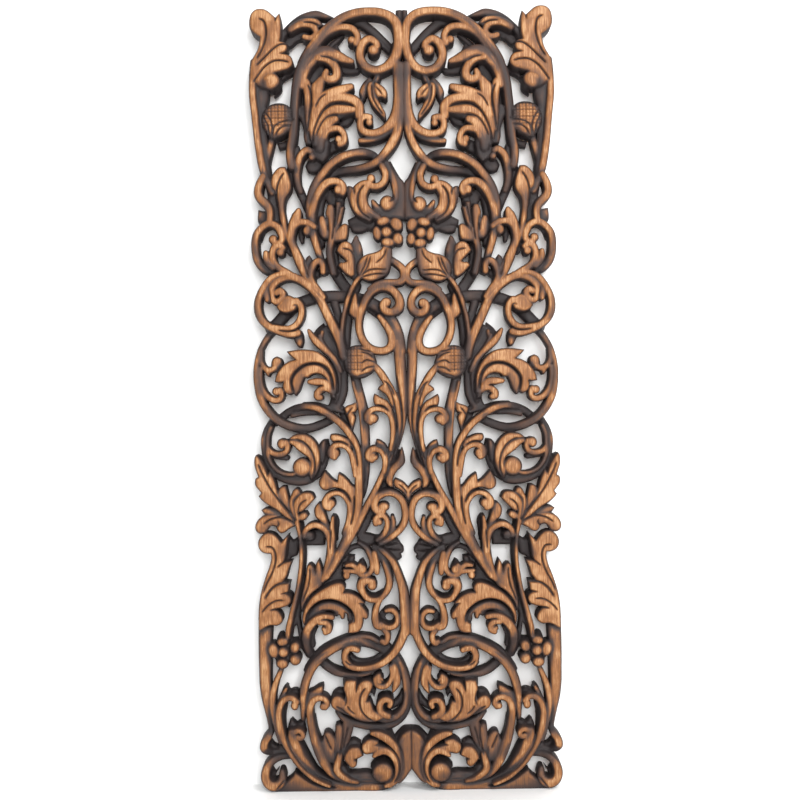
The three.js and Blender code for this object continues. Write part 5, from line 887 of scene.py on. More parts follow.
# %% Palmette on its tall stem
leaf([106.5,336, 109,341.5, 114,343.5, 121,342.5, 127,337.5, 131,330, 129.6,318, 127.7,308, 124.4,311,
     126.1,320, 121.2,321.5, 117,325, 112,330], 24)
cut([116,335, 121,332, 124.7,327, 125.9,320], 1.8)
leaf([114.2,316.3, 116.7,320.6, 120.3,320.6, 124.5,317.8, 127.4,311.8, 122,310.8, 117.8,312.3], 23)
leaf([121.9,341.7, 125.4,347.2, 129.4,347.2, 132.9,341.7, 135.5,333.6, 135.4,325.6, 133.2,318.6,
     128.8,309.6, 129.6,321.6, 130.9,332.6, 127.4,338.2], 23)
leaf([139.7,350.5, 144.7,350, 148.2,346.5, 149.7,339.5, 147.7,332.5, 141.4,325.4, 130.9,311.4,
     135.1,325.4, 136.7,337.5], 22)
leaf([128.8,307, 136.7,320, 144,331, 148.5,342, 151,352, 153.5,360, 157.5,368, 160,363, 163.5,373,
     168,381.5, 172.5,387, 174.5,383, 174.5,374, 172,366, 170.5,361.5, 174,359, 174,352, 170.5,347,
     167.5,343.5, 169,341, 170.5,339.5, 167,335, 161,330, 155,326.5, 147.9,321.5, 138.1,313], 24)
cut([170.5,376, 167,367, 162,357, 157,348, 150.5,338.5, 144,330, 135.6,320], 2.2)
leaf([144.9,319.6, 156.5,325.6, 163.5,325.6, 168.1,323.1, 163.5,317.6, 155.5,314.6, 145.6,314.1], 21)
leaf([128.1,305.8, 140.8,314.8, 150,317.3, 160.3,317.8, 167.3,315.8, 172.8,310.8, 175.3,303.8,
     173.3,298.3, 168.3,296.3, 163.3,298.3, 160.3,302.8, 156.8,305.3, 152.2,304.3, 149.4,299.3,
     145.7,296.8, 141,298.3, 136.2,301.8], 23)
cut([131,308.8, 138.1,313, 147.4,315, 156,313.5, 162,310.5, 166,307.5], 2)
cut([149.5,311, 148.3,307, 150.7,304.5, 154,305], 1.8)
leaf([151.6,341.9, 153.6,357.1, 160.7,371.2, 166.8,383.3, 171.8,386.4, 166.8,376.3, 160.7,363.1,
     155.7,349], 12)
stem([127.5,309, 125.5,299.9, 124,289.8, 123.2,274.8, 123.9,259.7, 126,244.7, 128.5,229.7, 132.7,213.6,
     136.3,199.6, 139.5,187.6, 140.7,176.6], [4,3.2,3,3,3.2,3.5,4.5,5,5,4], [24,23,23])
stem([124.8,309.7, 121.9,290.5, 121.3,268.3, 123.5,248.1, 125.1,229.9, 128.4,212.8, 131,198.7,
     136.5,185.5, 138.9,172.4], [5,5,5,5.5,7,8,7,4,4], [13])
tell("Palmette on its tall stem")

# %% [markdown]
# Where the long stems meet, pointed leaves fill the angle between them. Their feet run into the
# acanthus leaf below. A leaf with two cuts hides the joint.

# %% Leaves at the crossing
stem([86,314, 87.3,303, 87.5,292, 88.7,280, 90,268, 92.5,258, 96.5,248, 99,242],
     [2.5,4.5,7,9,9.5,9,6,4], [24])
stem([89.5,275, 90.5,288, 94,297.5, 99.7,303.3, 107,305.8, 114,303.3, 118.5,298, 119,292.5],
     [6,6,6,6.3,6,5,4])
cut([88.5,300, 89.5,288, 90,278], 1.6)
ball(113.2, 292.8, 5, 5.2, 0, 23)
leaf([97.2,280.8, 96.2,295.2, 105.3,299.3, 117.5,295.2, 120.5,280.8], 10)
leaf([100.2,330.8, 103.2,330.3, 107.2,323.3, 105.7,314.8, 101.2,309.8, 96.2,303.8, 91.2,294.8,
     90.2,302.8, 93.2,312.8, 95.7,321.8, 97.2,327.8], 23)
leaf([80.8,298.6, 79.8,308.7, 82.9,315.8, 86.9,316.8, 88.9,310.7, 86.9,298.6, 85.9,286.5, 81.8,286.5],
     13)
leaf([98.7,239.7, 99.2,249.7, 100.7,257.7, 103.2,265.2, 105.7,261.7, 107.9,253.7, 109.2,257.2,
     112.7,260.7, 116.2,259.2, 117.7,249.7, 119.7,239.7, 122.7,227.7, 124.7,215.6, 123.7,205.6,
     120.2,215.6, 114.2,224.1, 107.2,230.7, 102.2,234.2], 23)
cut([113.8,256, 113.8,246, 116,235, 119.5,226, 123,217], 1.8)
cut([107.7,254.5, 107.7,249.5], 1.8)
leaf([72.9,269, 81,264, 89.1,251.9, 98.2,238.7, 105.2,230.6, 115.3,222.5, 123.4,210.4, 121.4,202.3,
     109.3,219.5, 93.1,230.6, 81,236.7, 72.9,239.7, 76.9,249.8, 75.9,259.9, 64.8,258.9, 62.3,268.5], 11)
tell("Leaves at the crossing")

# %% [markdown]
# Inside the arch that frames the lower middle, two scrolls face each other and a small twig with
# three buds grows between them. A hook and a ring with a round hole follow below. These are small
# pieces, 4 to 8 mm wide, so most are one curve that ends in a button or a curl.

# %% Side scrolls above the lower ring
stem([5,183, 5.2,200, 5.7,215, 7,230, 10.3,242, 14,253, 18,262, 23.6,269.2, 30.6,275.4, 39.3,280.1],
     [10,11,11,10,8.5,7.5,6.5,5.5,5,4], [25,25,25,25,24,22,18])
stem([40.3,278.1, 33.2,270.6, 27.6,261.2, 24.1,251.3, 22.4,242.4, 23.3,233.5, 27.6,225.6, 34.1,219.9,
     41.1,218.3, 48.1,220.6, 52.5,226.5, 55.5,233.5, 53.5,239.3, 47.5,241, 41.5,239.8],
     [3,6,8,8.3,7.8,7,6,5.6,5.6,6,6,9,10,7,6], [18,22,24,25])
ball(42.3, 235.5, 5.8, 5.8, 0, 24)
stem([30.4,225.7, 38.5,221.7, 45.5,222.2, 50.6,226.7], [4], [12])
stem([57.3,284.4, 49.2,278.9, 44.7,271.5, 42.1,263.6, 42.1,256.1, 45.1,249.7, 50.6,246.9, 56.1,248.8,
     58.1,254.3, 56,259], [2.5,4,5.5,6,5.5,5.5,6,6,5.5,4], [20,23,24])
ball(53, 254.3, 5, 5.4, 0, 24)
leaf([49.4,257.8, 52.9,264.8, 57.4,261.8, 58.4,256.8, 53.4,256.8], 17)
stem([39.6,272.7, 37.6,262.7, 36.8,254.7, 36.8,250.2], [5,6.5,6,5], [23])
stem([60.1,255.7, 65.1,259, 72.1,258.4], [5.5,4.8,2.5], [23])
stem([58.6,251.2, 66.1,252, 74.1,252.7], [6,4,3], [23])
ball(71.7, 247.3, 4.4, 5, 0, 22)
leaf([63,268.7, 68.5,267.2, 70.6,260.7, 65.5,259.2, 63,262.2], 16)
stem([44.5,266.4, 47.5,273.5, 53.5,279, 61.6,279, 68.7,275, 74.7,268.4], [4], [14])
stem([31,221, 36,214.5, 39,206, 39.5,197, 38,190, 34,187.5], [2.5,5,6.8,8.3,8,6], [24])
stem([27.1,206.1, 20.5,206.9, 15.3,202.6, 13.7,196.1, 16,189.6, 22,186.6, 28.1,187.6, 33.1,191.1],
     [3.5,5,5.2,5.2,5.5,5,5], [23])
stem([31.1,184.4, 26.1,179.9, 25.8,173.4, 28.8,169.3, 32.1,170.8], [3,6,6,6,5], [22])
ring(23.3, 196.2, 12, 5, 11)
tell("Side scrolls above the lower ring")

# %% [markdown]
# The second large leaf bends inward over the lower lens. A deep cut follows the outer lobe, the
# inner lobe is low and keeps its stain, darkened further as painted shade, and a stem with a curl
# comes out under it. Its edge has several notches, which stay sharp because the outline turns
# sharply there.

# %% Acanthus leaf over the lower lens
leaf([51,215, 57,221.5, 64,226, 71,228, 75.5,227.5, 73.5,233, 77,238.5, 84,239, 92,236, 101,231,
     109,225.5, 115.5,218.5, 120.5,209, 123,198, 121,190, 118.5,201, 113,210.5, 106,216.5, 98,219.5,
     90,219.8, 81,217.5, 73,213, 67,207, 65,201, 66.5,194, 70.5,192, 70.3,186, 71,181.5, 65,181.3,
     59,182.8, 55,187.5, 53.3,194, 53.5,198.5, 50.5,196.8, 47.5,199, 48,203.5, 52,209.5, 55.5,213.5],
     25)
leaf([64.3,196.8, 67.4,203.8, 73.4,210.4, 81.4,214.9, 90.5,217.2, 99.5,216.4, 107.5,212.9, 113.6,207.4,
     119.1,197.8, 119.6,190.8, 112.6,196.8, 104.5,202.3, 96.5,205.9, 88.5,204.9, 84.4,199.3,
     80.9,201.3, 78.4,196.3, 75.4,196.8, 74.4,203.8, 71.9,201.8, 71.4,194.8, 68.4,190.8], 19)
cut([64,193.5, 64,199.5, 67,206.5, 73,212.3, 81,217, 90,219.3, 99,218.7, 107,215, 114,208.5,
     119,199.5], 2.4)
cut([52,214.5, 58,215.5], 2)
stem([89,199.5, 98,200, 106,197.5, 113,192, 118,184, 119.5,173.5, 118.2,163, 114.1,154.2],
     [5,7.5,9,9,9,9,8,6], [25,25,25,25,24,19,13])
stem([103,193.5, 96.5,193.7, 92.3,189.5, 92.8,184.5, 97,182.3], [5,6,5.5,5.5,5])
ball(97.5, 186.5, 4, 4.2, 0, 24)
cut([90,195.8, 95,197.2, 101,197], 2)
cut([96,187.5, 99.5,189.5, 104,190], 1.8)
stem([109.2,185.3, 113.2,175.2, 112.2,165.1], [4], [12])
stem([130.3,205.7, 128.3,190.6, 126.3,177.5, 123.7,165.3, 117.2,154.2], [3.5,3.5,3.5,5,6], [13])
tell("Acanthus leaf over the lower lens")

# %% [markdown]
# Low on the side of the board come a scrolled leaf and three notched lobes, one above the other.
# One outline holds all of them. Six cuts divide it, and most start in a notch. Under the lobes the
# leg is a plain stem that gets narrower.

# %% Leaf column at the edge
leaf([137.5,295, 142,290.5, 146,286, 149.5,291, 155,296, 161.5,297.5, 167.5,294.5, 171.8,288,
     171.8,281, 168.5,276, 163,273.7, 158,273.5, 157.5,268, 159.5,259, 163,250, 166.5,240, 170,228,
     172.3,214, 173.3,198, 173.3,185, 166,188, 160,191, 152,191, 146.5,195, 146.5,201, 150,206.5,
     153,209, 146,211.5, 139.5,213.8, 136,218.5, 137,224, 141,227, 138.5,230.5, 138,236, 136.5,240.3,
     145,241, 140,248, 137.5,256, 134,264.5, 139,264, 143.5,263.5, 141,272, 139.7,284], 24)
cut([163.5,281.5, 157,281, 153.5,276, 152.3,268, 154,259, 158,249, 163,240, 167.5,229], 2)
cut([141.5,264.5, 147,260.8, 151,257.5], 2)
cut([138,239.8, 149,238.8, 157,234, 162,228, 165.5,222], 3.2)
cut([139,228.7, 147,227], 2)
cut([144,219.7, 152,219.7, 160,216, 166,210.5, 169.5,206], 2)
cut([144,209.3, 152,209.8, 160,208.5], 2.6)
leaf([127.5,290.3, 133.5,286.7, 135.6,288.8, 139.1,293.8, 142.6,284.2, 143.7,270, 147.7,262,
     139.6,263.5, 135.6,267, 128.5,271.1], 11)
leaf([136,262, 141,264, 146,260, 144,250, 148,241, 149.6,238, 143,239, 139.5,248], 12)
leaf([134.4,223.7, 138.5,228.3, 142.5,227.8, 142.5,211.6, 138.5,209.6], 12)
stem([165.7,195, 166.6,179.1, 167.1,159.3, 167.1,139.3, 167.1,124.2, 166.2,109.1, 164.6,96.7,
     163.2,84.2, 162.1,73.7, 162.1,64.6], [15,14,13,12.5,12,10.5,8.5,5.5,4,4],
     [20,21,22,22,22,21,19,17,17])
cut([154,189, 160,189.8, 168,187.5], 2.4)
tell("Leaf column at the edge")

# %% [markdown]
# This flower has a heart and five round petals, like the upper one, and stands on a low disc beside
# the leg. Its stalk leaves it downwards and joins the bottom corner.

# %% Lower flower
disc(145.5, 157.7, 12, 17)
ball(145.3, 160.3, 6.3, 6.3, 0, 25)
ball(146.3, 172, 6.7, 5.2, 0, 24)
ball(156.8, 162, 6.3, 9, -12, 24)
ball(147, 147, 7.3, 6, 5, 24)
ball(132, 151.3, 6.7, 6.6, 0, 24)
ball(132.3, 165.3, 5.9, 7.2, 20, 24)
leaf([142.3,173.6, 147.3,180.7, 151.4,179.2, 153.9,170.6, 147.3,167.6], 14)
leaf([125.9,168.2, 129.4,173.7, 140.5,172.7, 141.5,165.1, 129.4,164.1], 12)
stem([147.9,141.3, 151.4,133.3, 155.4,123.3, 158.3,112.3, 159.1,101.3, 157.8,90.3, 155.8,79.3,
     153.8,68.4, 150.7,57.4], [4,5,6,6.5,6.5,6,5.5,4,3], [22,23])
tell("Lower flower")

# %% [markdown]
# Two wide stems cross here and make a lens again. The upper one ends in a hook inside the lens, the
# lower one runs on to the bottom corner. Each has a darker strand beside it, 5 to 12 mm lower,
# which is the side of the stem as the carver left it.

# %% Lower ring with its inner hook
stem([5.3,190, 6.3,183.5, 8.7,176, 12.7,167, 18,158.7, 25,151.3, 33,145.8, 42,142.2, 52,140.5,
     62,140.8, 70,144, 74.3,149.7, 75,156.5, 71.5,162.3, 65.5,163.5, 60.5,161.8],
     [10,9,8.7,8.5,8,7.5,7,6.5,5.7,5.7,6.5,7,7,7,6.5,6])
cut([69,161, 68.5,156], 1.8)
cut([66,144.3, 71,146, 75,150], 1.6)
stem([64.2,140.8, 72.2,142.6, 77.2,147.3], [4,4,2.5], [22])
stem([27.1,148.3, 34.1,142.7, 42.1,138, 50.2,134.1, 60.3,131.9, 72.4,131.8, 82.6,133.6, 90.8,137.2,
     99,143.1, 104.1,149], [2,2.6,3.2,4.5,5.5,6.5,7.5,9,9,9], [22,22,22,20,18,16,13,12])
stem([45.5,136.1, 60.6,133.9, 76.8,135.1, 88.9,139.1], [4], [13])
stem([82,134, 93,138.5, 104,147], [5], [12])
stem([30.4,157.3, 38.4,163.5, 47.4,168.1, 58.3,170.8, 69.2,170.7, 79.1,167.6, 89,163, 98,157, 107,149,
     114,140, 119,129.5, 122.3,118, 124.1,105.7, 124.3,94.1, 124.2,82],
     [7,9.5,11,11,10,9,9,9,9,9,9,8.5,6.5,5,4], [13,14,17,20,22,24,25,25,25,25,25,24,22,18])
stem([36.3,169.5, 45.4,174.9, 57.5,176.4, 70.6,174.9, 82.6,170.8, 93.7,165.3, 103.8,158.8, 112.9,149.4,
     120.9,138.8], [3.5,4,4,4,4,5,5,4,3], [19.5])
stem([33.4,154, 40.5,148.5, 48.6,145.7, 56.7,145.2, 63.7,147.5, 68.8,153], [2,3,3.5,3.5,3,2], [12])
leaf([22.3,163.3, 28.3,169.4, 36.4,171.4, 40.5,165.3, 34.4,155.3, 28.3,152.2, 20.3,159.3], 13)
tell("Lower ring with its inner hook")

# %% [markdown]
# A ring on each side of the centre holds a cup-shaped leaf of three lobes. Its cuts are long and
# curved. The outline of the cup is notched above and smooth below, where it rests in the ring.

# %% Lower middle rings and the cup leaf
stem([17.2,150.2, 11.2,142.1, 6.6,131, 4.4,118.9, 4.1,106.8, 5.4,94.7, 9.9,85.1, 16.7,77.5, 25.8,73,
     36.4,71, 48.5,72, 60.6,74.5, 70.7,77.5, 78.8,82.6, 84.9,89.6],
     [11,9,9,8.5,8.5,8.5,8.5,8,8,7.5,7.5,7.5,7,6,4], [19, 19, 18, 17, 17, 17])
stem([12.1,145.8, 8.6,133.8, 6.6,120.7, 5.5,108.8, 7,98.4, 11.4,89.4, 18.4,83.2, 27.6,80.8, 38.1,82.1],
     [2.5,3.2,3.8,4.2,4.8,5.5,6.5,6.5,5], [20,20,21,21,22])
leaf([20.6,149.3, 15.1,142.3, 12,132.3, 11.5,123.2, 14.1,118.2, 18.1,113.2, 21.6,110.7, 21.6,117.2,
     20.6,124.2, 21.1,132.3, 22.6,141.3], 22)
stem([23.1,142.3, 21.4,132.3, 23.8,124.4, 28.1,119.9, 34.1,119, 39.1,122.3, 40,127.7, 36.3,131.7],
     [2.5,3.5,4.5,5.5,6,6,6,5], [22,24])
ball(35.3, 126.8, 4.4, 4.6, 0, 24)
cut([31,124.5, 33,125.3, 34.5,128.5], 1.6)
stem([24.5,97, 23.2,101.5, 28,104.3, 33,102.5, 36,97, 35.5,91, 32,87.5, 26,85],
     [5,5.5,6,6.5,7,7.5,7,6], [24])
leaf([10,113, 14,105, 20,98, 27,93, 22,90, 14,95, 9,104], 12)
leaf([38.4,103.8, 34.4,107.8, 24.3,108.8, 20.3,104.8, 22.3,97.7, 30.4,92.7, 38.4,94.7], 13)
leaf([44,123.5, 47,126.5, 53,127, 58.5,124, 61.8,118.5, 62.5,127, 68,127.7, 75,126.5, 77,118, 75,110.5,
     76,104, 79,107.5, 84,109.7, 89,108, 91.5,103, 90.5,97, 85,92.5, 79,90, 71,86.5, 63,82.5, 56,80,
     47,79, 39,80, 32,83.5, 38,88.5, 43,93, 45,99, 47,103.5, 51,102.5, 49,108, 46,114.5, 43.8,119], 25)
cut([52,118, 56,113, 58.5,106, 58.5,98, 56,91, 51,85, 44,80.5], 2.2)
cut([61.8,122, 62.7,114], 2)
cut([73,98, 70,93, 64,88.3], 2)
cut([66,82, 73,88.5, 80,94.5, 86,97.5], 2)
cut([75,110, 74,104, 76,98], 1.6)
leaf([40.5,126, 50.5,129, 64.7,129, 77.8,128, 77.8,120.9, 62.7,117.9, 60.6,114.9, 44.5,108.8,
     42.5,104.8, 40.5,112.9, 44.5,118.9], 13)
leaf([76.7,101, 77.7,113.6, 83.8,114.1, 89.3,110.6, 92.9,103], 14)
tell("Lower middle rings and the cup leaf")

# %% [markdown]
# A twisted leaf hangs from the ring above. Its outline is one ribbon with two long cuts, and a lobe
# opens at each side of it. The ribbon stands at 17 mm and the lobe towards the middle at 23 mm, so
# the light picks out that lobe.

# %% Twisted leaf
leaf([66.5,76.7, 69.5,61.6, 74.5,47.5, 78.5,38.4, 79.5,27.4, 78.5,17.3, 84.6,17.3, 89.1,21.3,
     91.1,29.4, 89.6,37.4, 88.1,47.5, 88.1,59.6, 87.1,73.7, 82.6,75.7, 79.5,72.6, 77.5,79.7,
     71.5,81.7], 17)
cut([79,72, 79,60, 81,50, 83,40], 1.6)
cut([73,72, 76,60, 79,48], 1.4)
stem([82.7,41, 85.2,32.2, 86.1,25.3, 82.6,19.8, 76.1,15.3, 69.2,12, 63.2,10.6], [5,7.5,8,6.5,5,4,2.5],
     [22,23,23,21])
leaf([87.5,56.9, 90.5,62.9, 95.6,66.9, 100.1,65.4, 102.1,59.4, 105.1,54.8, 106.1,47.8, 104.1,40.8,
     99.1,34.7, 91.5,31.2, 87.5,31.7, 87.5,43.8, 86.5,51.8], 18)
cut([99.5,63, 96,55, 92,47], 1.8)
leaf([55.6,40.9, 57.6,46.4, 60.1,49.9, 64.6,50.9, 70.6,49.4, 75.6,43.4, 77.6,37.4, 74.1,32.3,
     70.1,28.1, 66.6,27.6, 63.6,30.3, 63.1,34.3, 66.1,36.4, 61.1,38.2], 23)
leaf([58.6,52.6, 66.6,56.6, 71.7,53.6, 77.7,41.5, 79.8,34.4, 68.7,42.5, 59.6,43.5], 14)
tell("Twisted leaf")

# %% [markdown]
# A heart-shaped pair of leaves stands in the middle, and a curled leaf goes round a large button
# beside it. The leaf is made of two stems and an outline, with one long cut between them that
# follows both.

# %% Heart-shaped leaves and the large button
leaf([0,70.5, 4,69.5, 9,66, 13,60.5, 15.5,55.5, 13,50, 11,44, 10.5,35, 11,25, 14,17, 19,10, 14,9.5,
     8,15, 3,22, 0,27], 24)
leaf([0,70.5, 8.2,69.4, 14.2,64.4, 19.3,58.3, 25.3,68.4, 36.4,70.5, 47.5,68.4, 46.5,62.4, 30.4,54.3,
     20.3,46.2, 14.2,48.2, 8.2,62.4, 0,66.4], 13)
stem([45.5,66.5, 37,64.5, 28,59.8, 21,53.3, 16,45.3, 13.3,36, 12.7,27, 14.5,19, 19,11.5, 26,7],
     [3,8,9,8,6.5,5,4,3.5,3.5,4])
leaf([38,58, 46,60, 52,57.8, 57,52.5, 56.5,47, 53,43, 46,43.7, 41,44.5, 35,48, 30,51, 38,54], 24)
stem([43.5,41, 37,45.3, 30,46.5, 23,42.5, 18.5,35, 17,26.5, 18.5,18, 23,11, 30,7],
     [2.5,7,8,7,5.5,4.2,3.5,3.5,4])
cut([42,53, 32,53, 24.5,49.8, 18.5,44, 14.7,36, 13.8,27, 15.8,18.5, 20.5,10.5], 2)
cut([41.5,60, 47,61.5], 1.8)
ball(33, 21.5, 12.5, 11.5, 0, 24)
stem([21.3,21.7, 24.8,29.3, 32.4,32.8, 40.5,31, 45.5,25.7], [3], [12])
cut([25,11, 20.8,18, 20.8,26, 24.5,31], 2)
tell("Heart-shaped leaves and the large button")

# %% [markdown]
# Three long stems rise from the bottom edge like reeds and lean outward, with lower wood behind
# them. They start narrow at the bottom edge, where they come out of one solid foot.

# %% Reeds at the foot
stem([22.1,7.3, 32.2,4.6, 44.2,3.7, 58.3,3.3, 75.5,4.6, 92.6,8.6, 107.5,16, 118.4,27.3, 126.2,39.3,
     132.1,51.6, 136.5,62, 137,68], [4,7,9,9,8,8,9,10,10.5,11,10,8], [20,20,18,18,22,24,24])
stem([42.5,10.9, 52.6,12.9, 64.7,13.4, 74.8,15.9, 78.8,24], [12,14,12,9,8], [17])
stem([62.3,9.8, 76.3,11.9, 89.3,17.5, 98.3,26.6, 105.3,38.8, 110.3,52.9, 113.8,67.1, 115.8,81.2,
     116.2,93.3, 112.7,102.7, 106.2,106.7, 99.4,105.6, 96.1,100.3, 98.5,96],
     [3,4,5.5,6.5,7,7.3,7.3,7.3,7,6.5,6,6,5], [20,22,24])
ball(101, 97.3, 3.8, 4, 0, 24)
stem([95,23.7, 102.1,38.8, 107.2,54, 111.2,68.1, 113.2,82.3], [8,8,7,5,4], [20])
stem([114.3,21.3, 122.4,35.5, 128.5,49.6], [10,11,9], [20])
stem([136.5,67.5, 130,70, 125.5,67.8, 124.5,63.5, 127.5,61.3, 130,63], [6,4.5,4.7,4.5,4], [24])
leaf([122.6,67.7, 124.1,76.3, 129.2,76.8, 132.2,74.8, 135.2,77.3, 137.8,80.3, 140.8,76.8, 142.8,68.7,
     137.2,64.7, 129.2,65.7], 14)
stem([95,7.5, 109,14, 121,23.5, 131,34.5, 139,46.5, 145.5,58.5, 149.5,70, 151.5,82, 151.5,93,
     148,102.3, 142,107.3, 135.5,107.3, 131.3,103], [3,4,5,6,7,7,7,6.5,6,6,6,6,6])
ball(133.3, 99, 4.6, 5.6, 0, 24)
cut([144,64, 140,52, 134,42, 126,31, 116,22, 105,15, 92,9.5], 2)
stem([145.6,96.4, 148.1,84.3, 148.1,70.2, 145.6,60.1], [4,5,5,4], [12])
stem([142.9,118.2, 147.4,109.2, 151.4,100.2, 152.9,90.2], [2,4.8,4.8,3], [22])
leaf([139.3,112.1, 143.8,120.2, 148.3,114.1, 147.3,107.1, 143.3,105], 14)
leaf([101.1,120.5, 106.4,119, 112.4,115, 117.9,112.4, 120.9,104.9, 122.9,96.9, 121.9,91.9, 117.4,96.9,
     113.4,102.9, 108.4,107.4, 102.3,110.4, 100.8,115], 21)
leaf([122.2,108.8, 126.5,109, 126,96.7, 126,75.5, 123.2,75.5, 121.2,91.7], 13)
leaf([129.2,112.1, 132.2,114.6, 138.3,113.6, 142.3,109.1, 135.2,104, 129.2,104], 14)
leaf([20.2,5.6, 30.2,1.5, 45.3,-1, 70.4,-2, 100.6,-2.5, 130.8,-2.5, 155.9,-2.2, 158.9,0, 150.9,6.6,
     143.8,11.6, 136.8,17.6, 134.8,21.7, 126.7,17.6, 116.7,11.6, 104.6,7.1, 92.6,4.6, 70.4,5.6,
     45.3,7.6, 28.2,6.6], 18)
cut([88,3.5, 104,6.5, 118,11.5, 128,19, 132,24], 2)
tell("Reeds at the foot")

# %% [markdown]
# Each bottom corner ends in two curls, one over the other, which round off the corner so it does
# not chip when the panel is stood on a floor.

# %% Bottom corner curls
stem([139.5,39, 150,38.8, 159.5,35.8, 166.2,28.5, 168.3,18, 164.8,9.8, 157.8,7.1, 151.4,10.3,
     149.1,16.3, 149.4,22.7], [6,6.5,7.5,8.5,9.5,10,11,9.5,8,5], [13,15,20,23,23,23,23,22,20,18])
leaf([153.9,24, 158.9,14.9, 160,7.9, 165,9.9, 167,19, 163,26.1, 160.5,23, 157.9,19], 10)
cut([146,14, 151,9, 156,3], 1.8)
stem([160.9,69.9, 163.8,63.9, 168.3,57.4, 169.3,50.4, 166,46, 160,43.5, 152,44.5], [4,7,8,8.5,7.5,6,5],
     [18,23,23,23,19,13,12])
leaf([153.4,49.3, 158.9,51.4, 162.5,55.9, 166,57.9, 168.1,47.8, 166,41.7, 160,37.7, 151.9,39.7], 10)
leaf([137,37, 143,38.5, 151,41, 154.6,45, 152.6,52, 147.6,50, 141.5,44], 12)
tell("Bottom corner curls")
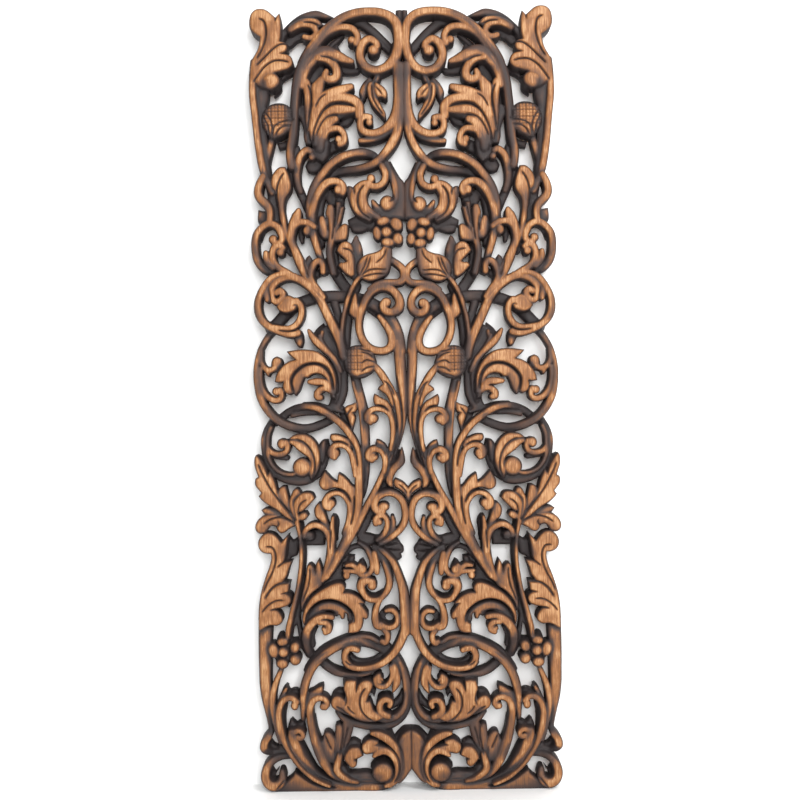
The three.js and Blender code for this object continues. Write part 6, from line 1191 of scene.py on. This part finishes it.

# %% [markdown]
# These soft patches sit at the foot of leaves, beside crossings and on the sides of the high stems.
# Some are stain that the paper left; the rest are painted shade under high stems, beside crossings
# and on flanks and walls that lie in shadow. In each row the two numbers after the points are how far
# the patch reaches in millimetres and how much darker it makes the wood. They are listed one by one,
# because how far a person rubs in one place follows no rule.

# %% Where the paper did not reach, and where shade is painted
patches = [
    ([2.1,836.7, 3.2,824.2], 8, 0.8), ([73,895.5, 98,896.8, 115.4,889.3, 131.5,870.5], 8, 0.6),
    ([77.8,881.8, 90.1,865.5, 98.7,853], 5, 0.6),
    ([104.9,848, 114.7,833, 119.4,812.9, 122.9,792.9, 125.2,772.9], 8, 0.95),
    ([60.4,893, 80.3,881.8], 8, 0.5), ([99.6,827.9, 109.7,833], 8, 0.5),
    ([95.9,735.3, 101,745.3], 13, 1), ([83.5,742.8, 96.1,747.8], 9, 0.7),
    ([109.1,787.9, 111.2,757.8], 9, 0.5), ([1.9,822.9, 0.4,802.9, 0.1,782.9, 1.2,767.9], 8, 0.8),
    ([18,717.8, 33.3,732.8, 55.9,737.8, 78.3,732.8], 8, 0.6),
    ([78.3,730.3, 95.7,717.8, 102.9,695.3, 105.2,680.2], 10, 0.75), ([45.5,710.3, 78,710.3], 9, 0.5),
    ([159.4,802.9, 146.8,800.4], 7, 0.7), ([158.6,747.8, 161.4,767.9], 7, 0.5),
    ([155.4,687.7, 155.1,667.7], 8, 0.5), ([159.9,843, 167.2,825.4], 7, 0.4),
    ([145.4,880.5, 152.6,858], 6, 0.35), ([27,830.5, 47.1,833], 6, 0.5),
    ([118.6,745.3, 125.7,717.8, 120.4,692.8], 7, 0.7), ([150.9,727.8, 152.9,695.3], 6, 0.5),
    ([5.5,715.3, 2.7,695.3], 9, 0.7), ([129.1,782.9, 131.2,757.8], 6, 0.5),
    ([2.6,685.7, 7.4,665.7], 10, 0.8), ([27.3,663.2, 39.8,655.7, 57.3,653.2], 10, 0.9),
    ([77.5,668.2, 77.3,650.7, 79.6,635.7], 12, 0.45), ([70.1,675.7, 74.9,663.2], 7, 0.6),
    ([100,663.2, 94.6,640.7, 86.8,618.2], 6, 0.6), ([86.9,625.7, 79,595.6, 66.2,573.1], 9, 0.9),
    ([52,633.2, 54.3,615.6, 51.5,593.1], 7, 0.7), ([14.2,618.2, 16.5,600.6, 26.4,588.1], 8, 0.7),
    ([44.1,605.6, 49.1,600.6], 6, 0.5), ([119.7,643.2, 124.5,628.2], 7, 0.7),
    ([137.8,685.7, 140,663.2], 8, 0.5), ([106.8,610.6, 109,590.6], 7, 0.8),
    ([94.2,608.1, 101.6,595.6], 6, 0.5), ([170,655.7, 172.2,635.7, 166.9,615.6], 6, 0.6),
    ([144.2,600.6, 161.8,608.1], 7, 0.7), ([18.8,580.6, 36.2,575.6, 46,560.6], 7, 0.6),
    ([68.5,555.6, 70.7,530.5], 6, 0.5), ([45.8,545.5, 46.8,525.5], 5, 0.5),
    ([96.2,570.6, 101.1,560.6], 7, 0.5), ([3.2,540.5, 10.9,550.6], 8, 0.6),
    ([166.5,580.6, 171.2,560.6, 166,543], 5, 0.5), ([133.7,563.1, 141.1,558.1], 5, 0.4),
    ([104.8,653.2, 107.2,640.7], 5, 0.4), ([1.4,590.6, 8.8,583.1], 6, 0.5),
    ([6.8,525.5, 5.3,510.5], 8, 0.6), ([3.9,500.5, 1,465.4], 5, 0.4),
    ([68,520.5, 67.7,495.5, 69.9,472.9, 77.2,452.9], 12, 0.95), ([84.6,445.4, 79.7,457.9], 10, 0.9),
    ([75.2,490.5, 77.4,467.9], 7, 0.5), ([117.6,480.5, 122.4,462.9, 132.3,455.4], 6, 0.5),
    ([54.9,470.4, 53.5,462.9], 8, 0.9), ([45.9,452.9, 44,407.9], 4, 0.6),
    ([165.6,518, 165.4,498, 168.9,478, 167.4,457.9], 6, 0.55),
    ([157.1,440.4, 141.9,422.9, 126.7,415.4, 104.3,420.4, 89.4,430.4], 10, 0.7),
    ([122.1,441.7, 142,435.4], 7, 0.9), ([102.1,444.2, 117.1,442.9], 4, 0.4),
    ([91.5,402.8, 91.3,385.3, 101.1,367.8], 8, 0.75),
    ([103.5,360.3, 128.5,355.3, 146.1,362.8, 161.3,380.3], 11, 0.8), ([151.8,415.4, 164,392.8], 8, 0.8),
    ([141.4,385.3, 153.9,382.8], 6, 0.5), ([6.2,382.8, 11,372.8], 8, 0.5),
    ([91,362.8, 88.3,347.8], 7, 0.5), ([19.8,280.2, 34.9,282.7, 49.9,282.7, 64.8,275.2], 13, 1),
    ([7.3,282.7, 17.2,272.7], 9, 0.95), ([35,292.7, 55,290.2], 10, 0.9),
    ([75.1,295.2, 79.9,280.2], 9, 0.9), ([100.1,292.7, 122.6,287.7, 137.4,275.2], 12, 1),
    ([124,235, 127.5,215, 129,190], 8, 0.9), ([79.1,215.1, 96.6,215.1, 109,207.6], 7, 0.3),
    ([101.9,237.6, 109.6,255.1], 7, 0.6), ([38.7,195.1, 31.4,205.1], 6, 0.4),
    ([129,205, 129,180], 8, 1), ([137.7,297.7, 135,280.2], 5, 0.5), ([-2.3,310.2, 0.5,330.2], 5, 0.4),
    ([82.8,312.7, 81.4,295.2], 5, 0.7), ([30.9,167.5, 48.5,175, 71,175, 93.4,162.5], 8, 0.35),
    ([95.7,150, 110.9,162.5, 123.6,177.5], 9, 0.8), ([108.3,152.5, 120.5,132.5, 125.3,112.4], 5, 0.5),
    ([38,140, 70.5,132.5, 93.1,140], 9, 0.4), ([2.9,132.5, 1.3,107.4, 12.3,87.4, 32.2,77.4], 9, 0.4),
    ([44.7,77.4, 67.3,79.9, 80,92.4], 9, 0.8), ([36.4,17.3, 69,17.3], 9, 0.5),
    ([69.7,74.9, 77,57.4], 8, 0.6), ([114.9,87.4, 114.6,62.4], 5, 0.5),
    ([104.3,42.3, 119.5,52.3], 8, 0.4), ([124.1,22.3, 141.9,42.3, 152.2,62.4], 8, 0.4),
    ([141.6,22.3, 159.3,32.3], 8, 0.35), ([159.8,69.9, 167.2,62.4], 6, 0.5),
    ([140.2,107.4, 145,87.4], 6, 0.5), ([137.3,72.4, 134.6,62.4], 6, 0.6),
    ([2.1,72.4, 24.6,69.9], 7, 0.8), ([128.3,155, 143.5,167.5], 5, 0.5),
    ([75,852, 90,852.5, 100,845], 6, 0.8), ([157,812, 156.5,800, 158,785], 8, 0.9),
    ([122.5,781, 122,765, 122.5,750, 124,738], 7, 0.9), ([88,735, 94,726, 100,717], 10, 1),
    ([2,392, 2.5,377, 4,362], 8, 0.7), ([10,342.5, 19,346, 30,343], 5, 0.8),
    ([2.5,240, 1.5,218, 1.5,195], 6, 0.6), ([7,112, 11,99, 17,89], 5, 0.7),
    ([13.5,57, 11.5,42, 11.5,26, 15,14], 5, 0.8), ([3,62, 3,40, 5,20], 9, 0.45),
    ([112,52, 106,36], 4, 0.6), ([125,60, 121,42], 5, 0.6), ([86,268, 92,256], 5, 0.6),
    ([0.5,500, 0.5,440, 0.5,395], 4, 0.9), ([140,311, 152,308, 165,303], 5, 0.3),
]
# each patch darkens the wood: kept stain, and painted shade under stems, at crossings and on walls
for points, reach, amount in patches:
    shade(points, reach, amount)
print(len(patches), "patches, stain kept on", round(100 * (rubbed_and_unshaded < 0.5).mean()), "% of the half")

# %% [markdown]
# The knife cuts are taken out last. The bottom and the sides of the board are planed flat. One
# light blur takes off the razor edges, as a rub with abrasive paper does.

# %% Finish the relief
LEAST = 5  # thinnest wood, mm
inside = np.minimum(inside, np.minimum(upward[:, None], TALL - upward[:, None]))
inside = np.minimum(inside, HALF_WIDTH - across[None, :])
relief = np.where(inside > 0, height, rim)
relief = np.maximum(relief - groove, LEAST)


def shifted(values, rows, columns):
    """The grid moved by whole nodes, with its border repeated."""
    padded = np.pad(values, ((abs(rows),) * 2, (abs(columns),) * 2), "edge")
    low, left = abs(rows) + rows, abs(columns) + columns
    return padded[low:low + ROWS, left:left + COLUMNS]


def blurred(values, passes):
    """The grid with each node mixed with its neighbours."""
    for _ in range(passes):
        values = (shifted(values, 1, 0) + 2 * values + shifted(values, -1, 0)) / 4
        values = (shifted(values, 0, 1) + 2 * values + shifted(values, 0, -1)) / 4
    return values


wood = (inside > -PITCH) * 1.0
LEAST_SHARE = 0.05  # keeps the division below away from zero, far from any wood
relief = blurred(relief * wood, 1) / np.maximum(blurred(wood, 1), LEAST_SHARE)
print("relief", round(relief[inside > 0].min(), 1), "to", round(relief[inside > 0].max(), 1), "mm")

# %% [markdown]
# Rubbing back reaches only what stands proud. So the wear of each point follows from how far it
# lies below the highest wood within 4 mm, how high it is itself, and how near an edge or a knife
# cut it is. The darkening below higher wood and on low wood is partly that stain and partly painted
# shade, where those places lie in shadow. It is 1 where the wood is bare and 0 where the stain is
# whole. Each pair of numbers below is in millimetres and says where one ends and the other begins.

# %% Where the stain is rubbed off, and where shade is painted
PAPER_STEPS = 6  # nodes of the grid that a folded sheet of abrasive paper bridges
BELOW = (0.2, 3.1)  # under the highest wood nearby: bare, then stained and painted as shade
LEVEL = (10, 22.5)  # over the back: stained and painted as shade, then bare
LOW_WEAR = 0.04  # share of the wear kept on the lowest wood, under its stain and painted shade
FROM_EDGE = (-0.1, 1.2)  # inside the outline: stained, then bare
IN_CUT = (1, 2.6)  # depth of a cut: bare, then stained


def ramp(low, high, values):
    """A smooth rise from 0 at low to 1 at high."""
    t = np.clip((values - low) / (high - low), 0, 1)
    return t * t * (3 - 2 * t)


highest = relief * (inside > 0)
for _ in range(PAPER_STEPS):
    highest = np.maximum(highest, np.maximum(shifted(highest, 1, 0), shifted(highest, -1, 0)))
    highest = np.maximum(highest, np.maximum(shifted(highest, 0, 1), shifted(highest, 0, -1)))
# darker below the highest wood nearby and on low wood: stain kept there, partly painted shade
wear_and_shade = 1 - ramp(*BELOW, blurred(highest, 4) - relief)
wear_and_shade *= LOW_WEAR + (1 - LOW_WEAR) * ramp(*LEVEL, relief)
wear_and_shade *= ramp(*FROM_EDGE, inside)
wear_and_shade *= 1 - ramp(*IN_CUT, groove)
wear_and_shade = blurred(wear_and_shade * rubbed_and_unshaded, 1)
print("bare wood on", round(100 * wear_and_shade[inside > 0].mean()), "% of the face")

# %% [markdown]
# The grid becomes a mesh by marching squares. The outline crosses a side of a square where the
# distance changes sign between its two nodes, and that place is worked out from the two distances.

# %% Where the outline crosses the grid
NEAR_NODE = 0.02  # a crossing stays this part of a side away from its nodes


def crossing(axis):
    """Place and height where the outline crosses each side of the squares along one axis."""
    ahead = np.roll(inside, -1, axis)
    t = np.clip(inside / np.where(inside == ahead, 1, inside - ahead), NEAR_NODE, 1 - NEAR_NODE)
    x, z = np.broadcast_to(across[None, :], inside.shape), np.broadcast_to(upward[:, None], inside.shape)
    step = PITCH * t
    lift = relief + (np.roll(relief, -1, axis) - relief) * t
    return np.stack([x + step * (axis == 1), z + step * (axis == 0), lift], -1).reshape(-1, 3)


nodes = np.stack([*np.meshgrid(across, upward), relief], -1).reshape(-1, 3)
spots = np.vstack([nodes, crossing(1), crossing(0)])  # nodes, then crossings along x, then along z
COUNT = ROWS * COLUMNS
print("places", len(spots), "of which nodes", COUNT)

# %% [markdown]
# Each square has four corners, and each is wood or air, which makes 16 cases. Walking round the
# square gives its piece of the face, and the sides that follow the outline get a wall down to the
# back. The back is the same pattern, flat. Shared places keep the whole half closed.

# %% Faces of the right half
corner_rows, corner_columns = np.array([0, 0, 1, 1]), np.array([0, 1, 1, 0])
solid = inside > 0
node_id = np.arange(COUNT).reshape(ROWS, COLUMNS)
case = sum((solid[r:ROWS - 1 + r, c:COLUMNS - 1 + c] << i)
           for i, (r, c) in enumerate(zip(corner_rows, corner_columns)))


def corner_ids(rows, columns):
    """Numbers of a square's four corners and of the crossings on its four sides."""
    corners = [node_id[rows + r, columns + c] for r, c in zip(corner_rows, corner_columns)]
    sides = [corners[0] + COUNT, corners[1] + 2 * COUNT, corners[3] + COUNT, corners[0] + 2 * COUNT]
    return np.stack(corners + sides)


faces = []  # arrays of faces with the same number of corners
for number in range(1, 16):
    on = [number >> i & 1 for i in range(4)]
    ring_ids = []
    for i in range(4):
        ring_ids += [i] * on[i] + [4 + i] * (on[i] != on[(i + 1) % 4])
    ids = corner_ids(*np.nonzero(case == number))
    faces.append(ids[ring_ids].T)
    faces.append(ids[ring_ids[::-1]].T + 3 * COUNT)
    for a, b in zip(ring_ids, ring_ids[1:] + ring_ids[:1]):
        if a > 3 and b > 3:
            faces.append(np.stack([ids[b], ids[a], ids[a] + 3 * COUNT, ids[b] + 3 * COUNT], 1))
spots = np.vstack([spots, spots * [1, 1, 0]])
print("faces", sum(len(group) for group in faces), "in", len(faces), "groups")

# %% [markdown]
# A mesh of this size is written as whole arrays, since adding its faces one by one would take
# minutes. Only the places that a face uses are kept.

# %% Mesh of the right half
def build(name, places, groups):
    """A mesh object from places in metres and arrays of faces."""
    groups = [g for g in groups if len(g)]
    corners = np.concatenate([g.ravel() for g in groups])
    used, corners = np.unique(corners, return_inverse=True)
    sizes = np.concatenate([np.full(len(g), g.shape[1]) for g in groups])
    mesh = bpy.data.meshes.new(name)
    mesh.vertices.add(len(used))
    mesh.vertices.foreach_set("co", places[used].ravel())
    mesh.loops.add(len(corners))
    mesh.loops.foreach_set("vertex_index", corners.astype(np.int32))
    mesh.polygons.add(len(sizes))
    mesh.polygons.foreach_set("loop_start", np.concatenate([[0], np.cumsum(sizes)[:-1]]).astype(np.int32))
    mesh.update(calc_edges=True)
    made = bpy.data.objects.new(name, mesh)
    bpy.context.scene.collection.objects.link(made)
    return made


def in_frame(places):
    """Millimetres across, up and forward to metres in the board's frame."""
    x, z, lift = places.T * MM
    return np.stack([x, board_high[1] - lift, board_low[2] + z], 1)


half = build("right_half", in_frame(spots), faces)
print("half:", len(half.data.vertices), "vertices,", len(half.data.polygons), "faces")

# %% [markdown]
# Flat wood needs few triangles and a knife cut needs many. The Decimate modifier removes the
# points that change the shape least, until one half holds its share of the triangles.

# %% Thin out the half
MOST_TRIANGLES = 97_000
triangles = sum(len(p.vertices) - 2 for p in half.data.polygons)
thin = half.modifiers.new("thin", "DECIMATE")
thin.ratio = MOST_TRIANGLES / triangles
thinned = half.evaluated_get(bpy.context.evaluated_depsgraph_get()).to_mesh()
thinned.calc_loop_triangles()
places = np.empty(len(thinned.vertices) * 3)
thinned.vertices.foreach_get("co", places)
places = places.reshape(-1, 3)
corners = np.empty(len(thinned.loop_triangles) * 3, np.int32)
thinned.loop_triangles.foreach_get("vertices", corners)
corners = corners.reshape(-1, 3)
print("thinned from", triangles, "to", len(corners), "triangles")

# %% [markdown]
# The open rim of the half lies on the centre line. Its points are set exactly on it, so that the
# mirrored half shares them and the board is one closed body. The two halves are carved by hand and
# differ a little: the left one leans outward and sits a little higher.

# %% Mirror the half
CREASE = math.radians(48)  # an edge sharper than this is shaded as an edge
MIDDLE = 18 * MM  # over this distance from the centre line the left half drifts away
sides = np.sort(np.vstack([corners[:, [0, 1]], corners[:, [1, 2]], corners[:, [2, 0]]]), 1)
sides, uses = np.unique(sides, axis=0, return_counts=True)
seam = np.unique(sides[uses == 1])
corners = corners[~np.isin(corners, seam).all(1)]  # a face in the middle plane would lie there twice
print("seam points", len(seam), "at most", round(float(np.abs(places[seam, 0]).max()) / MM, 2), "mm off")
places[seam, 0] = 0
twin = np.arange(len(places)) + len(places)
twin[seam] = seam
WIDER = 3.2 * MM  # how much farther out the left half lies at the top
HIGHER = 1.4 * MM  # and how much higher, except at its top and its foot
up = (places[:, 2] - board_low[2]) / (board_high[2] - board_low[2])
away = ramp(0, MIDDLE, places[:, 0])
left = places * [-1, 1, 1]
left[:, 0] -= WIDER * away * ramp(0.1, 0.9, up)
left[:, 2] += HIGHER * away * ramp(0.02, 0.1, up) * (1 - ramp(0.9, 1, up))
both = np.vstack([places, left])
source = np.vstack([places, places])
panel = build("carved_relief", both, [corners, twin[corners][:, ::-1]])
bpy.data.objects.remove(half)
panel.data.validate()
for polygon in panel.data.polygons:
    polygon.use_smooth = True
panel.data.set_sharp_from_angle(angle=CREASE)
print("panel:", len(panel.data.vertices), "vertices,", len(panel.data.polygons), "triangles")

# %% [markdown]
# The material needs the wear, painted shade included, at every point of the mesh, so it is read
# back from the grid and stored on the mesh. Points on the back and at the foot of the walls get no
# wear. The panel then rides on the board's body and stands for its solid.

# %% Store the wear on the mesh
def read_grid(values, x, z):
    """Values between the grid's nodes."""
    column = np.clip(np.abs(x) / MM / PITCH, 0, COLUMNS - 1.001)
    row = np.clip((z - board_low[2]) / MM / PITCH + SPARE, 0, ROWS - 1.001)
    c, r = column.astype(int), row.astype(int)
    u, v = column - c, row - r
    low = values[r, c] * (1 - u) + values[r, c + 1] * u
    high = values[r + 1, c] * (1 - u) + values[r + 1, c + 1] * u
    return low * (1 - v) + high * v


spot = source[np.unique(np.concatenate([corners, twin[corners]]))]
lift = (board_high[1] - spot[:, 1]) / MM
worn_and_shaded = read_grid(wear_and_shade, spot[:, 0], spot[:, 2]) * (lift > LEAST - 1)
store = panel.data.attributes.new("wear_and_shade", "FLOAT", "POINT")
store.data.foreach_set("value", worn_and_shaded.astype(np.float32))
print("worn points", round(100 * (worn_and_shaded > 0.5).mean()), "% of", len(worn_and_shaded))

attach(panel, "root")
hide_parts("carved_panel")

# %% [markdown]
# A material is a small graph of nodes. Colours are written as sRGB hex values, as a paint chart
# does, and turned to linear light, which Blender calculates in.

# %% Colours and a node helper
def linear(hex_colour):
    """An sRGB hex colour as linear red, green, blue and alpha."""
    parts = [int(hex_colour[i:i + 2], 16) / 255 for i in (1, 3, 5)]
    return [c / 12.92 if c <= 0.04045 else ((c + 0.055) / 1.055) ** 2.4 for c in parts] + [1]


def add(tree, kind, links=(), **settings):
    """Adds a node with its settings. A link is (input, node, output) into the new node."""
    node = tree.nodes.new("ShaderNode" + kind)
    for name, value in settings.items():
        if name.startswith("set_"):
            node.inputs[name[4:].replace("_", " ")].default_value = value
        else:
            setattr(node, name, value)
    for into, source, out in links:
        tree.links.new(source.outputs[out], node.inputs[into])
    return node


def new_material(name):
    made = bpy.data.materials.new(name)
    made.use_nodes = True
    made.node_tree.nodes.clear()
    return made, made.node_tree


print("middle grey is", round(linear("#808080")[0], 3), "in linear light")

# %% [markdown]
# The wood is teak with a near-black stain in every hollow and on the walls, rubbed back with
# abrasive paper until the crests show orange-brown, and waxed. The dark of the hollows, the low
# wood and the patches is partly painted shade. Wax gives the bare wood a low satin sheen. Teak grain
# runs up the board: the fibres are drawn about 1 mm wide and 18 mm long, which is coarser than real
# teak, so that they show from a metre away. The rubbing is uneven over 18 mm or so, because the paper
# is folded and pressed by hand. The flat back got one even coat.

# %% Teak, stained and rubbed back, with painted shade
STAIN = linear("#251d1d")
DEEP_BROWN = linear("#4b3327")
BARE = linear("#88562b")
BARE_LIGHT = linear("#b4875c")
STOPS = [(0.0, STAIN), (0.32, DEEP_BROWN), (0.75, BARE), (1.0, BARE_LIGHT)]  # wear with its painted shade, and its colour
FIBRE_WIDTH = 1.1 * MM
FIBRE_LENGTH = 18 * MM
RUB_WIDTH = 18 * MM
NOISE = {"set_From_Min": 0.3, "set_From_Max": 0.7}  # nearly all of a noise lies between these
RUB_LEAST = 0.7  # share of the wear that is left where the paper pressed least
DARK_FIBRE = -0.28  # what the darkest and the lightest fibre add to that share
LIGHT_FIBRE = 0.2
BACK_BARE = 0.6  # the back's coat is thin, so its wood shows through evenly
BACKWARD = {"set_From_Min": 0.8, "set_From_Max": 0.9}  # how far a face must turn to count as back
STAIN_ROUGHNESS = 0.66
WAX_ROUGHNESS = 0.56
WAX_IOR = 1.45
PORE_DEPTH = 0.25 * MM


def teak():
    made, tree = new_material("teak_stained_rubbed_waxed_painted_shade")
    place = add(tree, "TexCoord")
    stretch = add(tree, "Mapping", [("Vector", place, "Object")])
    stretch.inputs["Scale"].default_value = (1 / FIBRE_WIDTH, 1 / FIBRE_WIDTH, 1 / FIBRE_LENGTH)
    fibre = add(tree, "TexNoise", [("Vector", stretch, "Vector")], set_Scale=1, set_Detail=4,
                set_Roughness=0.65)
    patchy = add(tree, "TexNoise", [("Vector", place, "Object")], set_Scale=1 / RUB_WIDTH, set_Detail=3)
    worn_and_shaded = add(tree, "Attribute", attribute_name="wear_and_shade")
    uneven = add(tree, "MapRange", [("Value", patchy, "Fac")], set_To_Min=RUB_LEAST, **NOISE)
    streaky = add(tree, "MapRange", [("Value", fibre, "Fac")], set_To_Min=DARK_FIBRE,
                  set_To_Max=LIGHT_FIBRE, **NOISE)
    shifts = add(tree, "Math", [(0, uneven, "Result"), (1, streaky, "Result")], operation="ADD")
    bare_and_unshaded = add(tree, "Math", [(0, worn_and_shaded, "Fac"), (1, shifts, "Value")], operation="MULTIPLY", use_clamp=True)
    facing = add(tree, "SeparateXYZ", [("Vector", place, "Normal")])
    back = add(tree, "MapRange", [("Value", facing, "Y")], set_To_Max=BACK_BARE, **BACKWARD)
    plain = add(tree, "Math", [(0, bare_and_unshaded, "Value"), (1, back, "Result")], operation="MAXIMUM")
    colour = add(tree, "ValToRGB", [("Fac", plain, "Value")])
    for position, _ in STOPS[1:-1]:
        colour.color_ramp.elements.new(position)
    for element, (position, tint) in zip(colour.color_ramp.elements, STOPS):
        element.position = position
        element.color = tint
    rough = add(tree, "MapRange", [("Value", bare_and_unshaded, "Value")], set_To_Min=STAIN_ROUGHNESS,
                set_To_Max=WAX_ROUGHNESS)
    bump = add(tree, "Bump", [("Height", fibre, "Fac")], set_Strength=0.35, set_Distance=PORE_DEPTH)
    shader = add(tree, "BsdfPrincipled", [("Base Color", colour, "Color"), ("Roughness", rough, "Result"),
                                          ("Normal", bump, "Normal")])
    shader.inputs["IOR"].default_value = WAX_IOR
    add(tree, "OutputMaterial", [("Surface", shader, "BSDF")])
    return made


panel.data.materials.append(teak())
print(panel.data.materials[0].name, "has", len(panel.data.materials[0].node_tree.nodes), "nodes")

# %% [markdown]
# The stage is a pale floor under the panel and a pale wall close behind it. Seen from behind, the
# wall is clear, so that it does not hide the back of the panel.

# %% Floor and wall
WALL_GAP = 9 * MM
SIDE = 3  # from the middle to each end of the stage, and the height of its wall, in metres
FRONT = -4


def pale(name, tint):
    made, tree = new_material(name)
    shader = add(tree, "BsdfPrincipled", set_Base_Color=linear(tint), set_Roughness=0.9)
    side = add(tree, "NewGeometry")
    clear = add(tree, "BsdfTransparent")
    mix = add(tree, "MixShader", [(0, side, "Backfacing"), (1, shader, "BSDF"), (2, clear, "BSDF")])
    add(tree, "OutputMaterial", [("Surface", mix, "Shader")])
    return made


def sheet(name, corners, material):
    mesh = bpy.data.meshes.new(name)
    mesh.from_pydata(corners, [], [(0, 1, 2, 3)])
    made = bpy.data.objects.new(name, mesh)
    made.data.materials.append(material)
    bpy.context.scene.collection.objects.link(made)


pale_paint = pale("pale_painted_board", "#fbfbfa")
floor_z = board_low[2]
wall_y = board_high[1] + WALL_GAP
foot_left, foot_right = (-SIDE, wall_y, floor_z), (SIDE, wall_y, floor_z)
sheet("stage_floor", [(-SIDE, FRONT, floor_z), (SIDE, FRONT, floor_z), foot_right, foot_left], pale_paint)
sheet("stage_wall", [foot_left, foot_right, (SIDE, wall_y, SIDE), (-SIDE, wall_y, SIDE)], pale_paint)
print("floor at", round(floor_z / MM, 1), "mm, wall at", round(wall_y / MM, 1), "mm")

# %% [markdown]
# Soft studio light: a lamp high on the right draws the shadows, a larger one near the camera fills
# them, and the pale room lights what neither reaches.

# %% Light
def lamp(name, place, target, size, power):
    """A square lamp, size metres wide, that points at a target."""
    data = bpy.data.lights.new(name, "AREA")
    data.size = size
    data.energy = power
    made = bpy.data.objects.new(name, data)
    made.location = place
    way = Vector(target) - Vector(place)
    made.rotation_euler = way.to_track_quat("-Z", "Y").to_euler()
    bpy.context.scene.collection.objects.link(made)
    print(name, "lamp of", power, "W,", round(way.length, 2), "m away")


middle = (0, 0, (board_low[2] + board_high[2]) / 2)
lamp("key", (0.9, -1.5, 1.0), middle, 0.8, 30)
lamp("front", (0.3, -2.6, 0.2), middle, 1.3, 54)
world = bpy.data.worlds.new("room")
world.use_nodes = True
world.node_tree.nodes["Background"].inputs["Color"].default_value = linear("#f3f5f8")
world.node_tree.nodes["Background"].inputs["Strength"].default_value = 0.4
bpy.context.scene.world = world

# %% [markdown]
# The camera looks straight at the middle of the panel from 1.27 m, tilted sideways by less than a
# degree. The standard view transform keeps the colours as they are written.

# %% Camera
DISTANCE = 1.27
ROLL_ANGLE = math.radians(0.75)
AIM_ACROSS = -8 * MM
AIM_UP = 449.3 * MM  # over the foot of the panel
lens = bpy.data.cameras.new("camera")
lens.lens = 50
lens.sensor_width = 36
camera = bpy.data.objects.new("camera", lens)
camera.location = (AIM_ACROSS, board_low[1] - DISTANCE, board_low[2] + AIM_UP)
camera.rotation_euler = (math.pi / 2, ROLL_ANGLE, 0)
bpy.context.scene.collection.objects.link(camera)
bpy.context.scene.camera = camera
bpy.context.scene.view_settings.view_transform = "Standard"
print("camera sees", round(DISTANCE * lens.sensor_width / lens.lens, 3), "m across")
